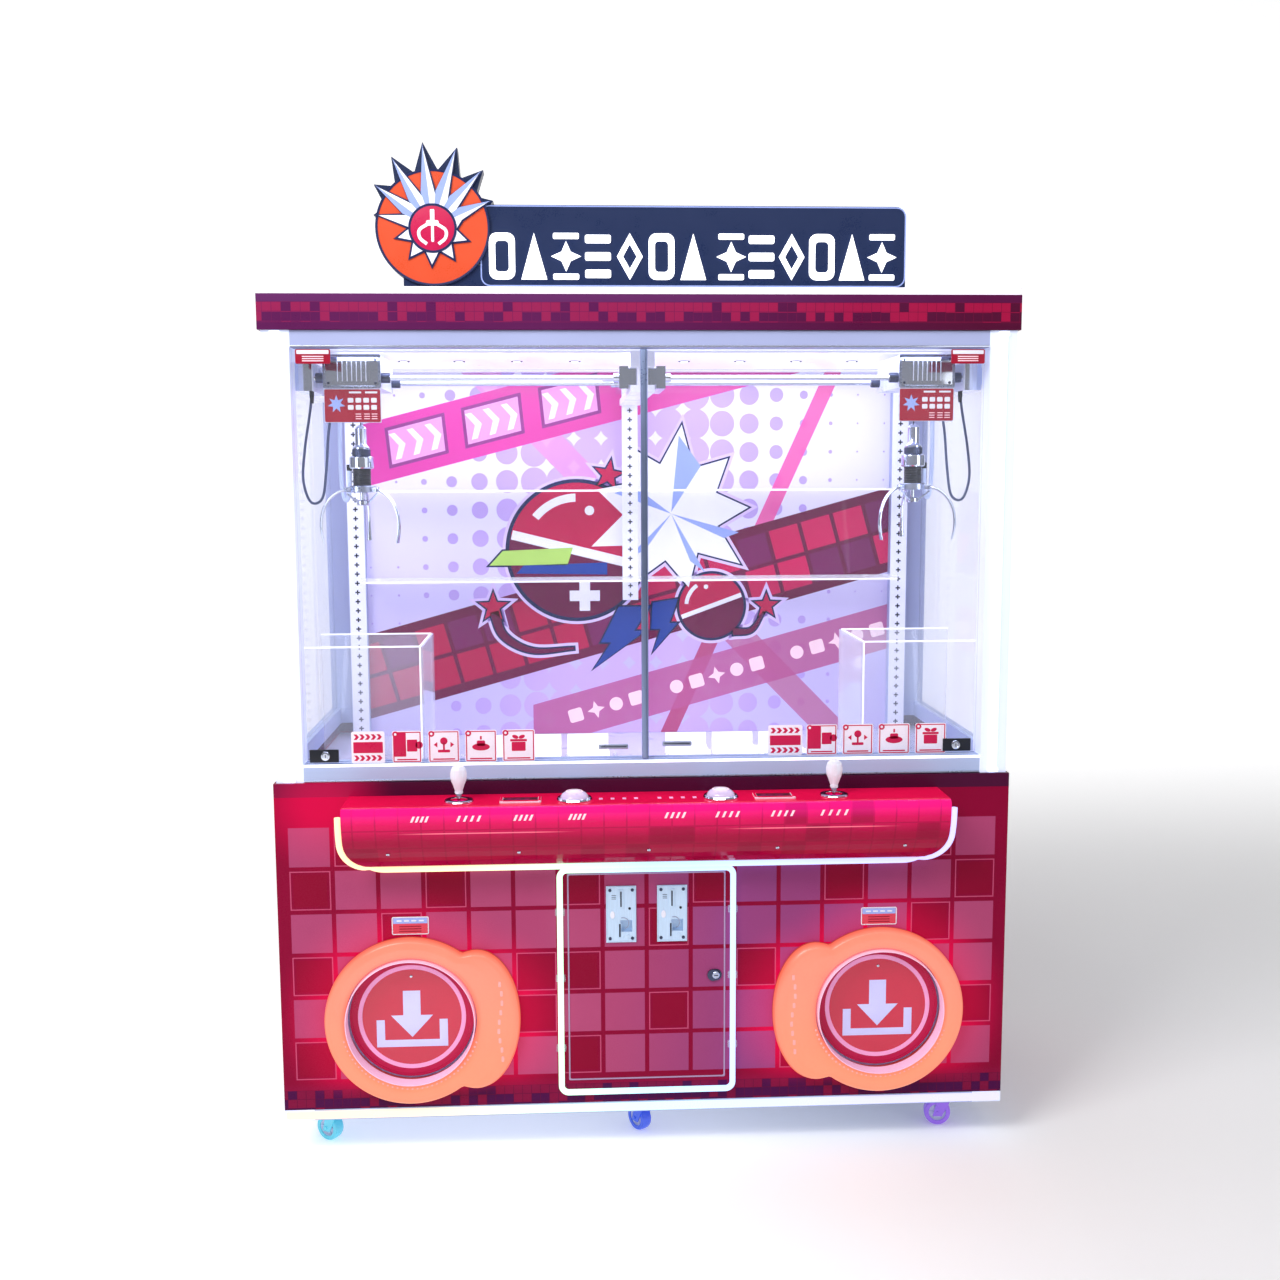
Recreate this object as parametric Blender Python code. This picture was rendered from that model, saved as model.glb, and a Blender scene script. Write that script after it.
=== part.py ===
"""Two-player claw machine, modelled as separate named pieces in metres with +Z up.

The origin is on the floor under the middle of the machine.  The players stand on the -Y side.
"left" and "right" are the sides that the players see, so left is -X.
"""
import math

import bmesh
import bpy
from mathutils import Matrix, Vector

# ---------------------------------------------------------------- driving dimensions (metres)
GAP = 0.0003                    # air between two pieces that touch
HALF_WIDTH = 0.800              # lower cabinet and canopy
FRONT = -0.340                  # front face of the lower cabinet
BACK = 0.460                    # rear face of the lower cabinet
PANEL = 0.018                   # lower cabinet board thickness

BASE_BOTTOM = 0.088
BASE_TOP = 0.112
CABINET_TOP = 0.845
DECK_BOTTOM = 0.795
DECK_TOP = 0.810
SILL_TOP = 0.885
HEADER_BOTTOM = 1.765
HEADER_TOP = 1.800
CANOPY_TOP = 1.888

FRAME_HALF_WIDTH = 0.794        # glazed upper part, slightly inside the cabinet
FRAME_FRONT = -0.334
FRAME_BACK = 0.454
POST = 0.0575                   # corner post width
RAIL_DEPTH = 0.050              # front sill and header, front to back
SIDE_RAIL = 0.024

CONSOLE_FRONT = -0.460
CONSOLE_HALF_WIDTH = 0.640
CONSOLE_BOTTOM = 0.6625
CONSOLE_SHOULDER = 0.800        # where the curved front meets the top edge
CONSOLE_TOP = 0.816
CONSOLE_WALL = 0.005
CONSOLE_CORNER = 0.075
CONTROL_Y = -0.400              # line of joysticks, displays and buttons
JOYSTICK_X = 0.400
DISPLAY_X = 0.270
BUTTON_X = 0.156
JOYSTICK_PIVOT_Z = 0.790

NEON_RADIUS = 0.0065
DOOR_HALF_WIDTH = 0.1732
DOOR_BOTTOM = 0.1650
DOOR_TOP = 0.6352
DOOR_DEPTH = 0.016

OUTLET_X = 0.518
OUTLET_Z = 0.315
OUTLET_BORE = 0.1413
OUTLET_RADIUS = 0.190
FLAP_RADIUS = 0.1365
FLAP_AXIS_Y = -0.325
FLAP_AXIS_RISE = 0.112          # hinge line above the outlet centre

CHUTE_INNER_X = 0.355           # prize duct, side towards the middle
CHUTE_OUTER_X = 0.750
CHUTE_BACK = -0.012
GUARD_INNER_X = 0.487
GUARD_OUTER_X = 0.745
GUARD_FRONT = -0.280
GUARD_BACK = -0.022
GUARD_TOP = 1.130

CRANE_X = 0.620
CRANE_Y = -0.150
ROD_Z = 1.708
ROD_OFFSET = 0.092              # bridge rods, each side of the crane's middle
ROD_RADIUS = 0.006
FINGER_PIVOT_RADIUS = 0.037
FINGER_PIVOT_Z = 1.469
FINGER_AZIMUTHS = (90.0, 210.0, 330.0)

WHEEL_RADIUS = 0.030
WHEEL_HALF_WIDTH = 0.012
CASTER_TRAIL = 0.022
FRONT_CASTERS = (("left", -0.700, 55.0), ("middle", 0.0, 35.0), ("right", 0.700, 80.0))
FRONT_CASTER_Y = -0.260
REAR_CASTER_Y = 0.380

SIDES = (("left", -1.0), ("right", 1.0))

# ---------------------------------------------------------------- colours
CRIMSON = (0.42, 0.008, 0.045)
DARK_CRIMSON = (0.16, 0.004, 0.022)
WHITE = (0.85, 0.86, 0.92)
PALE_BLUE = (0.62, 0.68, 0.82)
CLEAR = (0.86, 0.92, 0.98)
STEEL = (0.60, 0.61, 0.64)
DARK = (0.03, 0.03, 0.04)
NAVY = (0.02, 0.03, 0.12)
PEACH = (1.00, 0.36, 0.16)
NEON = (0.80, 0.95, 1.00)


# ---------------------------------------------------------------- modelling helpers
def new_object(name, bm):
    """Close a bmesh into an object whose faces point outward."""
    bmesh.ops.remove_doubles(bm, verts=bm.verts, dist=0.00002)
    bmesh.ops.recalc_face_normals(bm, faces=bm.faces)
    mesh = bpy.data.meshes.new(name)
    bm.to_mesh(mesh)
    bm.free()
    result = bpy.data.objects.new(name, mesh)
    bpy.context.scene.collection.objects.link(result)
    return result


def block(x_range, y_range, z_range):
    """A box between three pairs of limits, given in any order."""
    bm = bmesh.new()
    limits = [sorted(pair) for pair in (x_range, y_range, z_range)]
    size = [high - low for low, high in limits]
    middle = [(high + low) / 2 for low, high in limits]
    bmesh.ops.create_cube(bm, size=1.0)
    bmesh.ops.transform(bm, matrix=Matrix.Diagonal((*size, 1.0)), verts=bm.verts)
    bmesh.ops.translate(bm, vec=middle, verts=bm.verts)
    return new_object("block", bm)


def prism(outline, axis, low, high):
    """Extrude a flat outline along X, Y or Z.  The outline holds the two other coordinates in order."""
    place = {
        "X": lambda a, b, c: (c, a, b),
        "Y": lambda a, b, c: (a, c, b),
        "Z": lambda a, b, c: (a, b, c),
    }[axis]
    bm = bmesh.new()
    face = bm.faces.new([bm.verts.new(place(a, b, low)) for a, b in outline])
    extruded = bmesh.ops.extrude_face_region(bm, geom=[face])
    moved = [item for item in extruded["geom"] if isinstance(item, bmesh.types.BMVert)]
    bmesh.ops.translate(bm, vec=place(0.0, 0.0, high - low), verts=moved)
    return new_object("prism", bm)


def rod(start, end, radius, segments=16):
    """A round bar between two points."""
    start = Vector(start)
    end = Vector(end)
    bm = bmesh.new()
    bmesh.ops.create_cone(
        bm, cap_ends=True, segments=segments, radius1=radius, radius2=radius, depth=(end - start).length
    )
    turn = (end - start).to_track_quat("Z", "Y").to_matrix().to_4x4()
    bmesh.ops.transform(bm, matrix=Matrix.Translation((start + end) / 2) @ turn, verts=bm.verts)
    return new_object("rod", bm)


def turned(profile, centre, segments=24):
    """Turn an open (radius, height) profile about the vertical line through centre.

    A profile that starts and ends at radius zero makes a closed solid.
    """
    bm = bmesh.new()
    verts = [bm.verts.new((radius, 0.0, height)) for radius, height in profile]
    edges = [bm.edges.new(pair) for pair in zip(verts, verts[1:])]
    bmesh.ops.spin(
        bm, geom=verts + edges, cent=(0.0, 0.0, 0.0), axis=(0.0, 0.0, 1.0), angle=math.tau, steps=segments
    )
    bmesh.ops.translate(bm, vec=(centre[0], centre[1], 0.0), verts=bm.verts)
    return new_object("turned", bm)


def swept_tube(points, radius, sides, closed):
    """A round tube along a list of points, with its section carried along without twisting."""
    points = [Vector(point) for point in points]
    count = len(points)
    bm = bmesh.new()
    rings = []
    across = Vector((0.0, 1.0, 0.0))
    for index, point in enumerate(points):
        before = points[index - 1] if closed or index > 0 else point
        after = points[(index + 1) % count] if closed or index < count - 1 else point
        along = (after - before).normalized()
        across = (across - along * across.dot(along)).normalized()
        other = along.cross(across)
        angles = [math.tau * side / sides for side in range(sides)]
        rings.append(
            [bm.verts.new(point + radius * (across * math.cos(a) + other * math.sin(a))) for a in angles]
        )
    pairs = list(zip(rings, rings[1:]))
    if closed:
        pairs.append((rings[-1], rings[0]))
    for first, second in pairs:
        for side in range(sides):
            following = (side + 1) % sides
            bm.faces.new((first[side], first[following], second[following], second[side]))
    if not closed:
        bm.faces.new(rings[0])
        bm.faces.new(rings[-1])
    return new_object("swept_tube", bm)


def combine(target, tools, operation):
    """Apply an exact Boolean between target and each tool, and drop the tools."""
    for tool in tools:
        modifier = target.modifiers.new("combine", "BOOLEAN")
        modifier.operation = operation
        modifier.solver = "EXACT"
        modifier.object = tool
        evaluated = target.evaluated_get(bpy.context.evaluated_depsgraph_get())
        mesh = bpy.data.meshes.new_from_object(evaluated)
        target.modifiers.remove(modifier)
        target.data = mesh
        bpy.data.objects.remove(tool)
    return target


def union(target, *tools):
    return combine(target, tools, "UNION")


def cut(target, *tools):
    return combine(target, tools, "DIFFERENCE")


def intersect(target, *tools):
    return combine(target, tools, "INTERSECT")


def finish(node, name, colour, roughness, metallic=0.0, axis_point=(0.0, 0.0, 0.0), smooth=False):
    """Name a piece, put its origin on its joint and give it its own surface."""
    node.name = name
    node.data.name = name
    node.data.transform(Matrix.Translation(-Vector(axis_point)))
    node.location = axis_point
    if smooth:
        node.data.shade_smooth()
        node.data.set_sharp_from_angle(angle=math.radians(32.0))
    surface = bpy.data.materials.new(name + "_surface")
    surface.use_nodes = True
    shader = surface.node_tree.nodes["Principled BSDF"]
    shader.inputs["Base Color"].default_value = (*colour, 1.0)
    shader.inputs["Roughness"].default_value = roughness
    shader.inputs["Metallic"].default_value = metallic
    node.data.materials.clear()
    node.data.materials.append(surface)
    return node


def arc(centre, radius, start_degrees, end_degrees, steps):
    """Points along a circular arc, both ends included."""
    points = []
    for step in range(steps + 1):
        angle = math.radians(start_degrees + (end_degrees - start_degrees) * step / steps)
        points.append((centre[0] + radius * math.cos(angle), centre[1] + radius * math.sin(angle)))
    return points


def rounded_box_outline(half_width, bottom, top, radius, steps=6):
    """A rectangle with round corners, centred across the machine."""
    x = half_width - radius
    return (
        arc((x, bottom + radius), radius, -90.0, 0.0, steps)
        + arc((x, top - radius), radius, 0.0, 90.0, steps)
        + arc((-x, top - radius), radius, 90.0, 180.0, steps)
        + arc((-x, bottom + radius), radius, 180.0, 270.0, steps)
    )


def turn_about(node, centre, degrees):
    """Turn a piece's mesh about the vertical line through centre."""
    offset = Matrix.Translation((centre[0], centre[1], 0.0))
    node.data.transform(offset @ Matrix.Rotation(math.radians(degrees), 4, "Z") @ offset.inverted())
    return node


# ---------------------------------------------------------------- base and casters
def rear_caster_fork(x):
    """Fixed rear fork: top plate, two cheeks and the axle."""
    reach = WHEEL_HALF_WIDTH + 0.0005
    y_range = (REAR_CASTER_Y - 0.014, REAR_CASTER_Y + 0.014)
    fork = block((x - 0.030, x + 0.030), (REAR_CASTER_Y - 0.030, REAR_CASTER_Y + 0.030), (0.083, 0.090))
    cheeks = [
        block((x + side * reach, x + side * (reach + 0.003)), y_range, (0.020, 0.086)) for side in (-1, 1)
    ]
    tip = reach + 0.005
    axle = rod((x - tip, REAR_CASTER_Y, WHEEL_RADIUS), (x + tip, REAR_CASTER_Y, WHEEL_RADIUS), 0.004, 12)
    return union(fork, *cheeks, axle)


def build_base():
    base = block((-HALF_WIDTH, HALF_WIDTH), (FRONT, BACK), (BASE_BOTTOM, BASE_TOP))
    plates = []
    bores = []
    for _, x, _ in FRONT_CASTERS:
        y_range = (FRONT_CASTER_Y - 0.030, FRONT_CASTER_Y + 0.030)
        plates.append(block((x - 0.030, x + 0.030), y_range, (0.085, 0.090)))
        bores.append(rod((x, FRONT_CASTER_Y, 0.080), (x, FRONT_CASTER_Y, 0.104), 0.0063, 16))
    forks = [rear_caster_fork(side * 0.700) for _, side in SIDES]
    cut(union(base, *plates, *forks), *bores)
    finish(base, "base_frame", WHITE, 0.5)


def wheel_mesh(hub):
    """A wheel about an X axis through hub, with a bore for its axle."""
    half = WHEEL_HALF_WIDTH
    left = (hub[0] - half, hub[1], hub[2])
    right = (hub[0] + half, hub[1], hub[2])
    wheel = rod(left, right, WHEEL_RADIUS, 24)
    bore = rod((left[0] - 0.002, hub[1], hub[2]), (right[0] + 0.002, hub[1], hub[2]), 0.0044, 12)
    return cut(wheel, bore)


def build_front_caster(name, x, heading):
    """Swivel fork on a kingpin, with its wheel trailing behind the pin."""
    y = FRONT_CASTER_Y
    reach = WHEEL_HALF_WIDTH + 0.0005
    axle_y = y + CASTER_TRAIL
    fork = rod((x, y, 0.070), (x, y, 0.0846), 0.022, 20)
    pin = rod((x, y, 0.080), (x, y, 0.1030), 0.006, 16)
    cheek_outline = [(y - 0.016, 0.078), (y + 0.018, 0.078), (axle_y + 0.010, 0.022), (axle_y - 0.010, 0.022)]
    cheeks = [
        prism(cheek_outline, "X", x + side * reach, x + side * (reach + 0.0025)) for side in (-1, 1)
    ]
    tip = reach + 0.0045
    axle = rod((x - tip, axle_y, WHEEL_RADIUS), (x + tip, axle_y, WHEEL_RADIUS), 0.004, 12)
    union(fork, pin, *cheeks, axle)
    turn_about(fork, (x, y), heading)
    finish(fork, name + "_caster_fork", STEEL, 0.3, 1.0, (x, y, 0.0846), smooth=True)

    wheel = turn_about(wheel_mesh((x, axle_y, WHEEL_RADIUS)), (x, y), heading)
    turned_by = math.radians(heading)
    hub = (x - CASTER_TRAIL * math.sin(turned_by), y + CASTER_TRAIL * math.cos(turned_by), WHEEL_RADIUS)
    finish(wheel, name + "_caster_wheel", PALE_BLUE, 0.4, 0.0, hub, smooth=True)


def build_casters():
    for side_name, x, heading in FRONT_CASTERS:
        build_front_caster("front_" + side_name, x, heading)
    for side_name, side in SIDES:
        hub = (side * 0.700, REAR_CASTER_Y, WHEEL_RADIUS)
        finish(wheel_mesh(hub), "rear_" + side_name + "_caster_wheel", PALE_BLUE, 0.4, 0.0, hub, smooth=True)


# ---------------------------------------------------------------- lower cabinet
def build_cabinet_shell():
    """Two sides and the back, with ledges that carry the play deck."""
    z_range = (BASE_TOP + GAP, CABINET_TOP)
    inner = HALF_WIDTH - PANEL
    front = FRONT + PANEL + GAP
    shell = block((-HALF_WIDTH, HALF_WIDTH), (BACK - PANEL, BACK), z_range)
    pieces = []
    for _, side in SIDES:
        pieces.append(block((side * inner, side * HALF_WIDTH), (front, BACK), z_range))
        ledge_x = (side * (inner - 0.020), side * (inner + 0.004))
        pieces.append(block(ledge_x, (front, BACK - 0.010), (0.770, DECK_BOTTOM - GAP)))
    pieces.append(block((-0.779, 0.779), (BACK - PANEL - 0.020, BACK - 0.010), (0.770, DECK_BOTTOM - GAP)))
    union(shell, *pieces)
    inlet_hole = block((0.3250, 0.3750), (BACK - 0.030, BACK + 0.010), (0.2350, 0.2650))
    vents = [block((-0.45, -0.25), (BACK - 0.030, BACK + 0.010), (z, z + 0.012)) for z in (0.30, 0.34, 0.38)]
    cut(shell, inlet_hole, *vents)
    finish(shell, "cabinet_shell", CRIMSON, 0.4)


def build_front_panel():
    z_range = (BASE_TOP + GAP, CABINET_TOP)
    panel = block((-HALF_WIDTH, HALF_WIDTH), (FRONT, FRONT + PANEL), z_range)
    edge = DOOR_HALF_WIDTH + 2 * GAP
    door_opening = block((-edge, edge), (FRONT - 0.01, 0.0), (DOOR_BOTTOM - 2 * GAP, DOOR_TOP + 2 * GAP))
    outlets = [
        rod((side * OUTLET_X, FRONT - 0.01, OUTLET_Z), (side * OUTLET_X, FRONT + 0.03, OUTLET_Z), 0.1458, 48)
        for _, side in SIDES
    ]
    cut(panel, door_opening, *outlets)
    finish(panel, "front_panel", CRIMSON, 0.35)


def build_play_deck():
    inner = HALF_WIDTH - PANEL - 2 * GAP
    deck = block((-inner, inner), (FRONT + PANEL + 2 * GAP, BACK - PANEL - 2 * GAP), (DECK_BOTTOM, DECK_TOP))
    holes = [
        block((side * GUARD_INNER_X, side * GUARD_OUTER_X), (GUARD_FRONT, GUARD_BACK), (0.70, 0.90))
        for _, side in SIDES
    ]
    finish(cut(deck, *holes), "play_deck", WHITE, 0.3)


def build_prize_chute(name, side):
    """A sheet duct, open at the top and towards the outlet, with a ramp at the back of its floor."""
    sheet = 0.003
    front = FRONT + PANEL + 2 * GAP
    x_range = (side * CHUTE_INNER_X, side * CHUTE_OUTER_X)
    inner_x = (side * (CHUTE_INNER_X + sheet), side * (CHUTE_OUTER_X - sheet))
    chute = block(x_range, (front, CHUTE_BACK), (0.150, DECK_BOTTOM - GAP))
    hollow = block(inner_x, (front - 0.01, CHUTE_BACK - sheet), (0.160, DECK_TOP))
    flange_x = (side * (CHUTE_INNER_X - 0.020), side * (CHUTE_INNER_X + 0.001))
    flange = block(flange_x, (front, front + 0.003), (0.180, 0.640))
    cut(chute, hollow)
    ramp_outline = [(-0.140, 0.155), (CHUTE_BACK - 0.001, 0.155), (CHUTE_BACK - 0.001, 0.270)]
    ramp = prism(ramp_outline, "X", *sorted((inner_x[0] - side * 0.001, inner_x[1] + side * 0.001)))
    union(chute, flange, ramp)
    finish(chute, name + "_prize_chute", STEEL, 0.45, 0.8)


def build_chute_guard(name, side):
    """Clear L-shaped wall on the deck, behind and beside the chute hole."""
    sheet = 0.004
    back = GUARD_BACK + 0.001
    corner = GUARD_INNER_X - 0.001
    outline = [
        (side * (GUARD_OUTER_X - 0.001), back),
        (side * corner, back),
        (side * corner, GUARD_FRONT + 0.010),
        (side * (corner - sheet), GUARD_FRONT + 0.010),
        (side * (corner - sheet), back + sheet),
        (side * (GUARD_OUTER_X - 0.001), back + sheet),
    ]
    guard = prism(outline, "Z", DECK_TOP + GAP, GUARD_TOP)
    foot_x = (side * (corner - sheet - 0.018), side * (corner - sheet + 0.001))
    foot = block(foot_x, (GUARD_FRONT + 0.010, back + sheet), (DECK_TOP + GAP, DECK_TOP + 0.004))
    union(guard, foot)
    finish(guard, name + "_chute_guard", CLEAR, 0.05)


def build_cash_box():
    """Open-topped coin box on the cabinet floor behind the coin door."""
    box = block((-0.130, 0.130), (-0.300, -0.080), (BASE_TOP + GAP, 0.260))
    hollow = block((-0.128, 0.128), (-0.298, -0.082), (0.116, 0.300))
    grip = block((-0.045, 0.045), (-0.310, -0.290), (0.215, 0.240))
    finish(cut(box, hollow, grip), "cash_box", STEEL, 0.4, 1.0)


def build_control_unit():
    """Power supply and control box on the rear wall, with its recessed mains inlet."""
    inner_back = BACK - PANEL - GAP
    unit = block((0.200, 0.500), (0.350, inner_back), (0.200, 0.500))
    inlet = block((0.3255, 0.3745), (0.400, BACK - 0.0025), (0.2355, 0.2645))
    union(unit, inlet)
    recess = block((0.3360, 0.3640), (BACK - 0.0185, BACK + 0.010), (0.2410, 0.2590))
    cut(unit, recess)
    contacts = [
        block((0.350 + x - 0.002, 0.350 + x + 0.002), (BACK - 0.022, BACK - 0.006), (z - 0.001, z + 0.001))
        for x, z in ((-0.007, 0.2475), (0.0, 0.2535), (0.007, 0.2475))
    ]
    fins = [block((x, x + 0.006), (0.342, 0.352), (0.230, 0.470)) for x in (0.24, 0.28, 0.32, 0.36, 0.40, 0.44)]
    union(unit, *contacts, *fins)
    finish(unit, "control_unit", DARK, 0.5, 0.2)


# ---------------------------------------------------------------- coin door
def build_coin_door():
    door = block((-DOOR_HALF_WIDTH, DOOR_HALF_WIDTH), (FRONT, FRONT + DOOR_DEPTH), (DOOR_BOTTOM, DOOR_TOP))
    skin = 0.002
    inner = DOOR_HALF_WIDTH - skin
    pocket = block((-inner, inner), (FRONT + skin, 0.0), (DOOR_BOTTOM + skin, DOOR_TOP - skin))
    coin_holes = [
        block((side * 0.056 - 0.0275, side * 0.056 + 0.0275), (FRONT - 0.01, FRONT + 0.01), (0.492, 0.594))
        for _, side in SIDES
    ]
    lock_hole = rod((0.147, FRONT - 0.01, 0.400), (0.147, FRONT + 0.01, 0.400), 0.0098, 20)
    cut(door, pocket, *coin_holes, lock_hole)
    finish(door, "coin_door", CRIMSON, 0.35, 0.0, (-DOOR_HALF_WIDTH, FRONT, 0.400))


def build_coin_unit(name, side):
    """Coin acceptor: face plate with entry and return slots, and its body behind the door skin."""
    x = side * 0.056
    plate = block((x - 0.033, x + 0.033), (FRONT - 0.0030, FRONT - GAP), (0.4795, 0.6065))
    body = block((x - 0.027, x + 0.027), (FRONT - 0.0010, FRONT + 0.048), (0.4925, 0.5935))
    union(plate, body)
    entry = block((x - 0.0015, x + 0.0015), (FRONT - 0.010, FRONT + 0.020), (0.560, 0.590))
    cup = block((x - 0.002, x + 0.024), (FRONT - 0.010, FRONT + 0.014), (0.503, 0.530))
    exit_slot = block((x - 0.012, x + 0.012), (FRONT + 0.020, FRONT + 0.030), (0.480, 0.520))
    cut(plate, entry, cup, exit_slot)
    finish(plate, name + "_coin_unit", STEEL, 0.3, 0.9)


def build_door_lock():
    x = 0.147
    z = 0.400
    lock = rod((x, FRONT - 0.0040, z), (x, FRONT - GAP, z), 0.0130, 24)
    barrel = rod((x, FRONT - 0.0010, z), (x, -0.3190, z), 0.0095, 20)
    cam = block((x - 0.006, x + 0.025), (-0.3225, -0.3195), (z - 0.006, z + 0.006))
    union(lock, barrel, cam)
    keyway = block((x - 0.0012, x + 0.0012), (FRONT - 0.010, FRONT + 0.006), (z - 0.005, z + 0.005))
    cut(lock, keyway)
    finish(lock, "door_lock", STEEL, 0.25, 1.0, (x, FRONT, z), smooth=True)


# ---------------------------------------------------------------- prize outlets
def lobed_outline(side, shrink):
    """Circle joined to an upright oval on the side towards the machine's middle, read from its centre."""
    lobe_offset = 0.146
    lobe_across = 0.096
    lobe_up = 0.158
    points = []
    for step in range(48):
        angle = math.tau * step / 48
        across = math.cos(angle)
        up = math.sin(angle)
        a = (across / lobe_across) ** 2 + (up / lobe_up) ** 2
        b = -2 * across * lobe_offset / lobe_across ** 2
        c = (lobe_offset / lobe_across) ** 2 - 1
        under_root = b * b - 4 * a * c
        reach = (-b + math.sqrt(under_root)) / (2 * a) if under_root > 0 else 0.0
        radius = max(OUTLET_RADIUS, reach) - shrink
        points.append((side * (OUTLET_X - radius * across), OUTLET_Z + radius * up))
    return points


def build_outlet_ring(name, side):
    """Puffed light ring with a sleeve through the front panel and bearings for the flap."""
    x = side * OUTLET_X
    sections = ((FRONT - GAP, 0.0), (FRONT - 0.018, 0.0), (FRONT - 0.026, 0.006), (FRONT - 0.030, 0.018))
    bm = bmesh.new()
    loops = [[bm.verts.new((a, y, b)) for a, b in lobed_outline(side, shrink)] for y, shrink in sections]
    for first, second in zip(loops, loops[1:]):
        for index in range(len(first)):
            following = (index + 1) % len(first)
            bm.faces.new((first[index], first[following], second[following], second[index]))
    bm.faces.new(loops[0])
    bm.faces.new(loops[-1])
    ring = new_object("ring", bm)
    sleeve = rod((x, FRONT - 0.020, OUTLET_Z), (x, FRONT + PANEL + GAP, OUTLET_Z), 0.1450, 48)
    bore = rod((x, FRONT - 0.100, OUTLET_Z), (x, FRONT + 0.100, OUTLET_Z), OUTLET_BORE, 48)
    axis_z = OUTLET_Z + FLAP_AXIS_RISE
    pin_bore = rod((x - 0.120, FLAP_AXIS_Y, axis_z), (x + 0.120, FLAP_AXIS_Y, axis_z), 0.0028, 12)
    cut(union(ring, sleeve), bore, pin_bore)
    stop_z = (OUTLET_Z - OUTLET_BORE - 0.001, OUTLET_Z - FLAP_RADIUS + 0.003)
    stop = block((x - 0.015, x + 0.015), (-0.3325, -0.3278), stop_z)
    union(ring, stop)
    finish(ring, name + "_outlet_ring", PEACH, 0.45, smooth=True)


def build_prize_flap(name, side):
    """Round flap that hangs from two short pins in the outlet sleeve."""
    x = side * OUTLET_X
    flap = rod((x, FLAP_AXIS_Y - 0.0025, OUTLET_Z), (x, FLAP_AXIS_Y + 0.0025, OUTLET_Z), FLAP_RADIUS, 48)
    axis_z = OUTLET_Z + FLAP_AXIS_RISE
    pin = rod((x - 0.0865, FLAP_AXIS_Y, axis_z), (x + 0.0865, FLAP_AXIS_Y, axis_z), 0.0024, 12)
    union(flap, pin)
    finish(flap, name + "_prize_flap", CRIMSON, 0.2, 0.0, (x, FLAP_AXIS_Y, axis_z))


# ---------------------------------------------------------------- console
def console_profile(inset):
    """Curved front, rounded top edge and flat top, as (Y, Z) points."""
    middle_y = FRONT - GAP
    across = middle_y - CONSOLE_FRONT - inset
    up = CONSOLE_SHOULDER - CONSOLE_BOTTOM - inset
    edge = 0.014 - inset / 2
    points = []
    for step in range(13):
        angle = math.radians(90.0 * step / 12)
        points.append((middle_y - across * math.sin(angle), CONSOLE_SHOULDER - up * math.cos(angle)))
    front = middle_y - across
    points += arc((front + edge, CONSOLE_TOP - inset - edge), edge, 165.0, 90.0, 4)
    points.append((middle_y, CONSOLE_TOP - inset))
    return points


def console_outline(inset, top):
    """The console from the front: square top, round lower corners."""
    half = CONSOLE_HALF_WIDTH - inset
    radius = CONSOLE_CORNER - inset
    bottom = CONSOLE_BOTTOM + inset
    x = half - radius
    return (
        arc((x, bottom + radius), radius, -90.0, 0.0, 8)
        + [(half, top), (-half, top)]
        + arc((-x, bottom + radius), radius, 180.0, 270.0, 8)
    )


def ring_on_top(x, outer, inner, height):
    """Raised round collar on the console top."""
    collar = rod((x, CONTROL_Y, CONSOLE_TOP - 0.002), (x, CONTROL_Y, CONSOLE_TOP + height), outer, 32)
    return cut(collar, rod((x, CONTROL_Y, 0.70), (x, CONTROL_Y, 0.90), inner, 32))


def build_console():
    console = prism(console_profile(0.0), "X", -CONSOLE_HALF_WIDTH, CONSOLE_HALF_WIDTH)
    intersect(console, prism(console_outline(0.0, 0.9), "Y", -0.60, -0.30))
    hollow = prism(console_profile(CONSOLE_WALL), "X", -CONSOLE_HALF_WIDTH, CONSOLE_HALF_WIDTH)
    union(hollow, block((-0.630, 0.630), (FRONT - 0.010, FRONT + 0.010), (0.690, CONSOLE_TOP - CONSOLE_WALL)))
    intersect(hollow, prism(console_outline(CONSOLE_WALL, 0.9), "Y", -0.60, -0.30))
    cut(console, hollow)
    raised = []
    openings = []
    for _, side in SIDES:
        stick_x = side * JOYSTICK_X
        display_x = side * DISPLAY_X
        button_x = side * BUTTON_X
        openings.append(rod((stick_x, CONTROL_Y, 0.80), (stick_x, CONTROL_Y, 0.83), 0.017, 32))
        openings.append(rod((button_x, CONTROL_Y, 0.80), (button_x, CONTROL_Y, 0.83), 0.0303, 32))
        raised.append(ring_on_top(stick_x, 0.030, 0.017, 0.003))
        raised.append(ring_on_top(button_x, 0.0365, 0.0303, 0.004))
        frame_x = (display_x - 0.043, display_x + 0.043)
        frame = block(frame_x, (CONTROL_Y - 0.021, CONTROL_Y + 0.021), (CONSOLE_TOP - 0.002, CONSOLE_TOP + 0.004))
        window_x = (display_x - 0.038, display_x + 0.038)
        window = block(window_x, (CONTROL_Y - 0.016, CONTROL_Y + 0.016), (CONSOLE_TOP + 0.002, 0.90))
        raised.append(cut(frame, window))
        for lug_side in (-1, 1):
            lug_x = (stick_x + lug_side * 0.024, stick_x + lug_side * 0.029)
            lug_z = (JOYSTICK_PIVOT_Z - 0.008, CONSOLE_TOP - 0.002)
            lug = block(lug_x, (CONTROL_Y - 0.007, CONTROL_Y + 0.007), lug_z)
            bore_ends = [(x, CONTROL_Y, JOYSTICK_PIVOT_Z) for x in sorted((lug_x[0] - 0.01, lug_x[1] + 0.01))]
            raised.append(cut(lug, rod(*bore_ends, 0.0033, 12)))
    cut(console, *openings)
    union(console, *raised)
    finish(console, "console_housing", CRIMSON, 0.12, 0.0, smooth=True)


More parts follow.
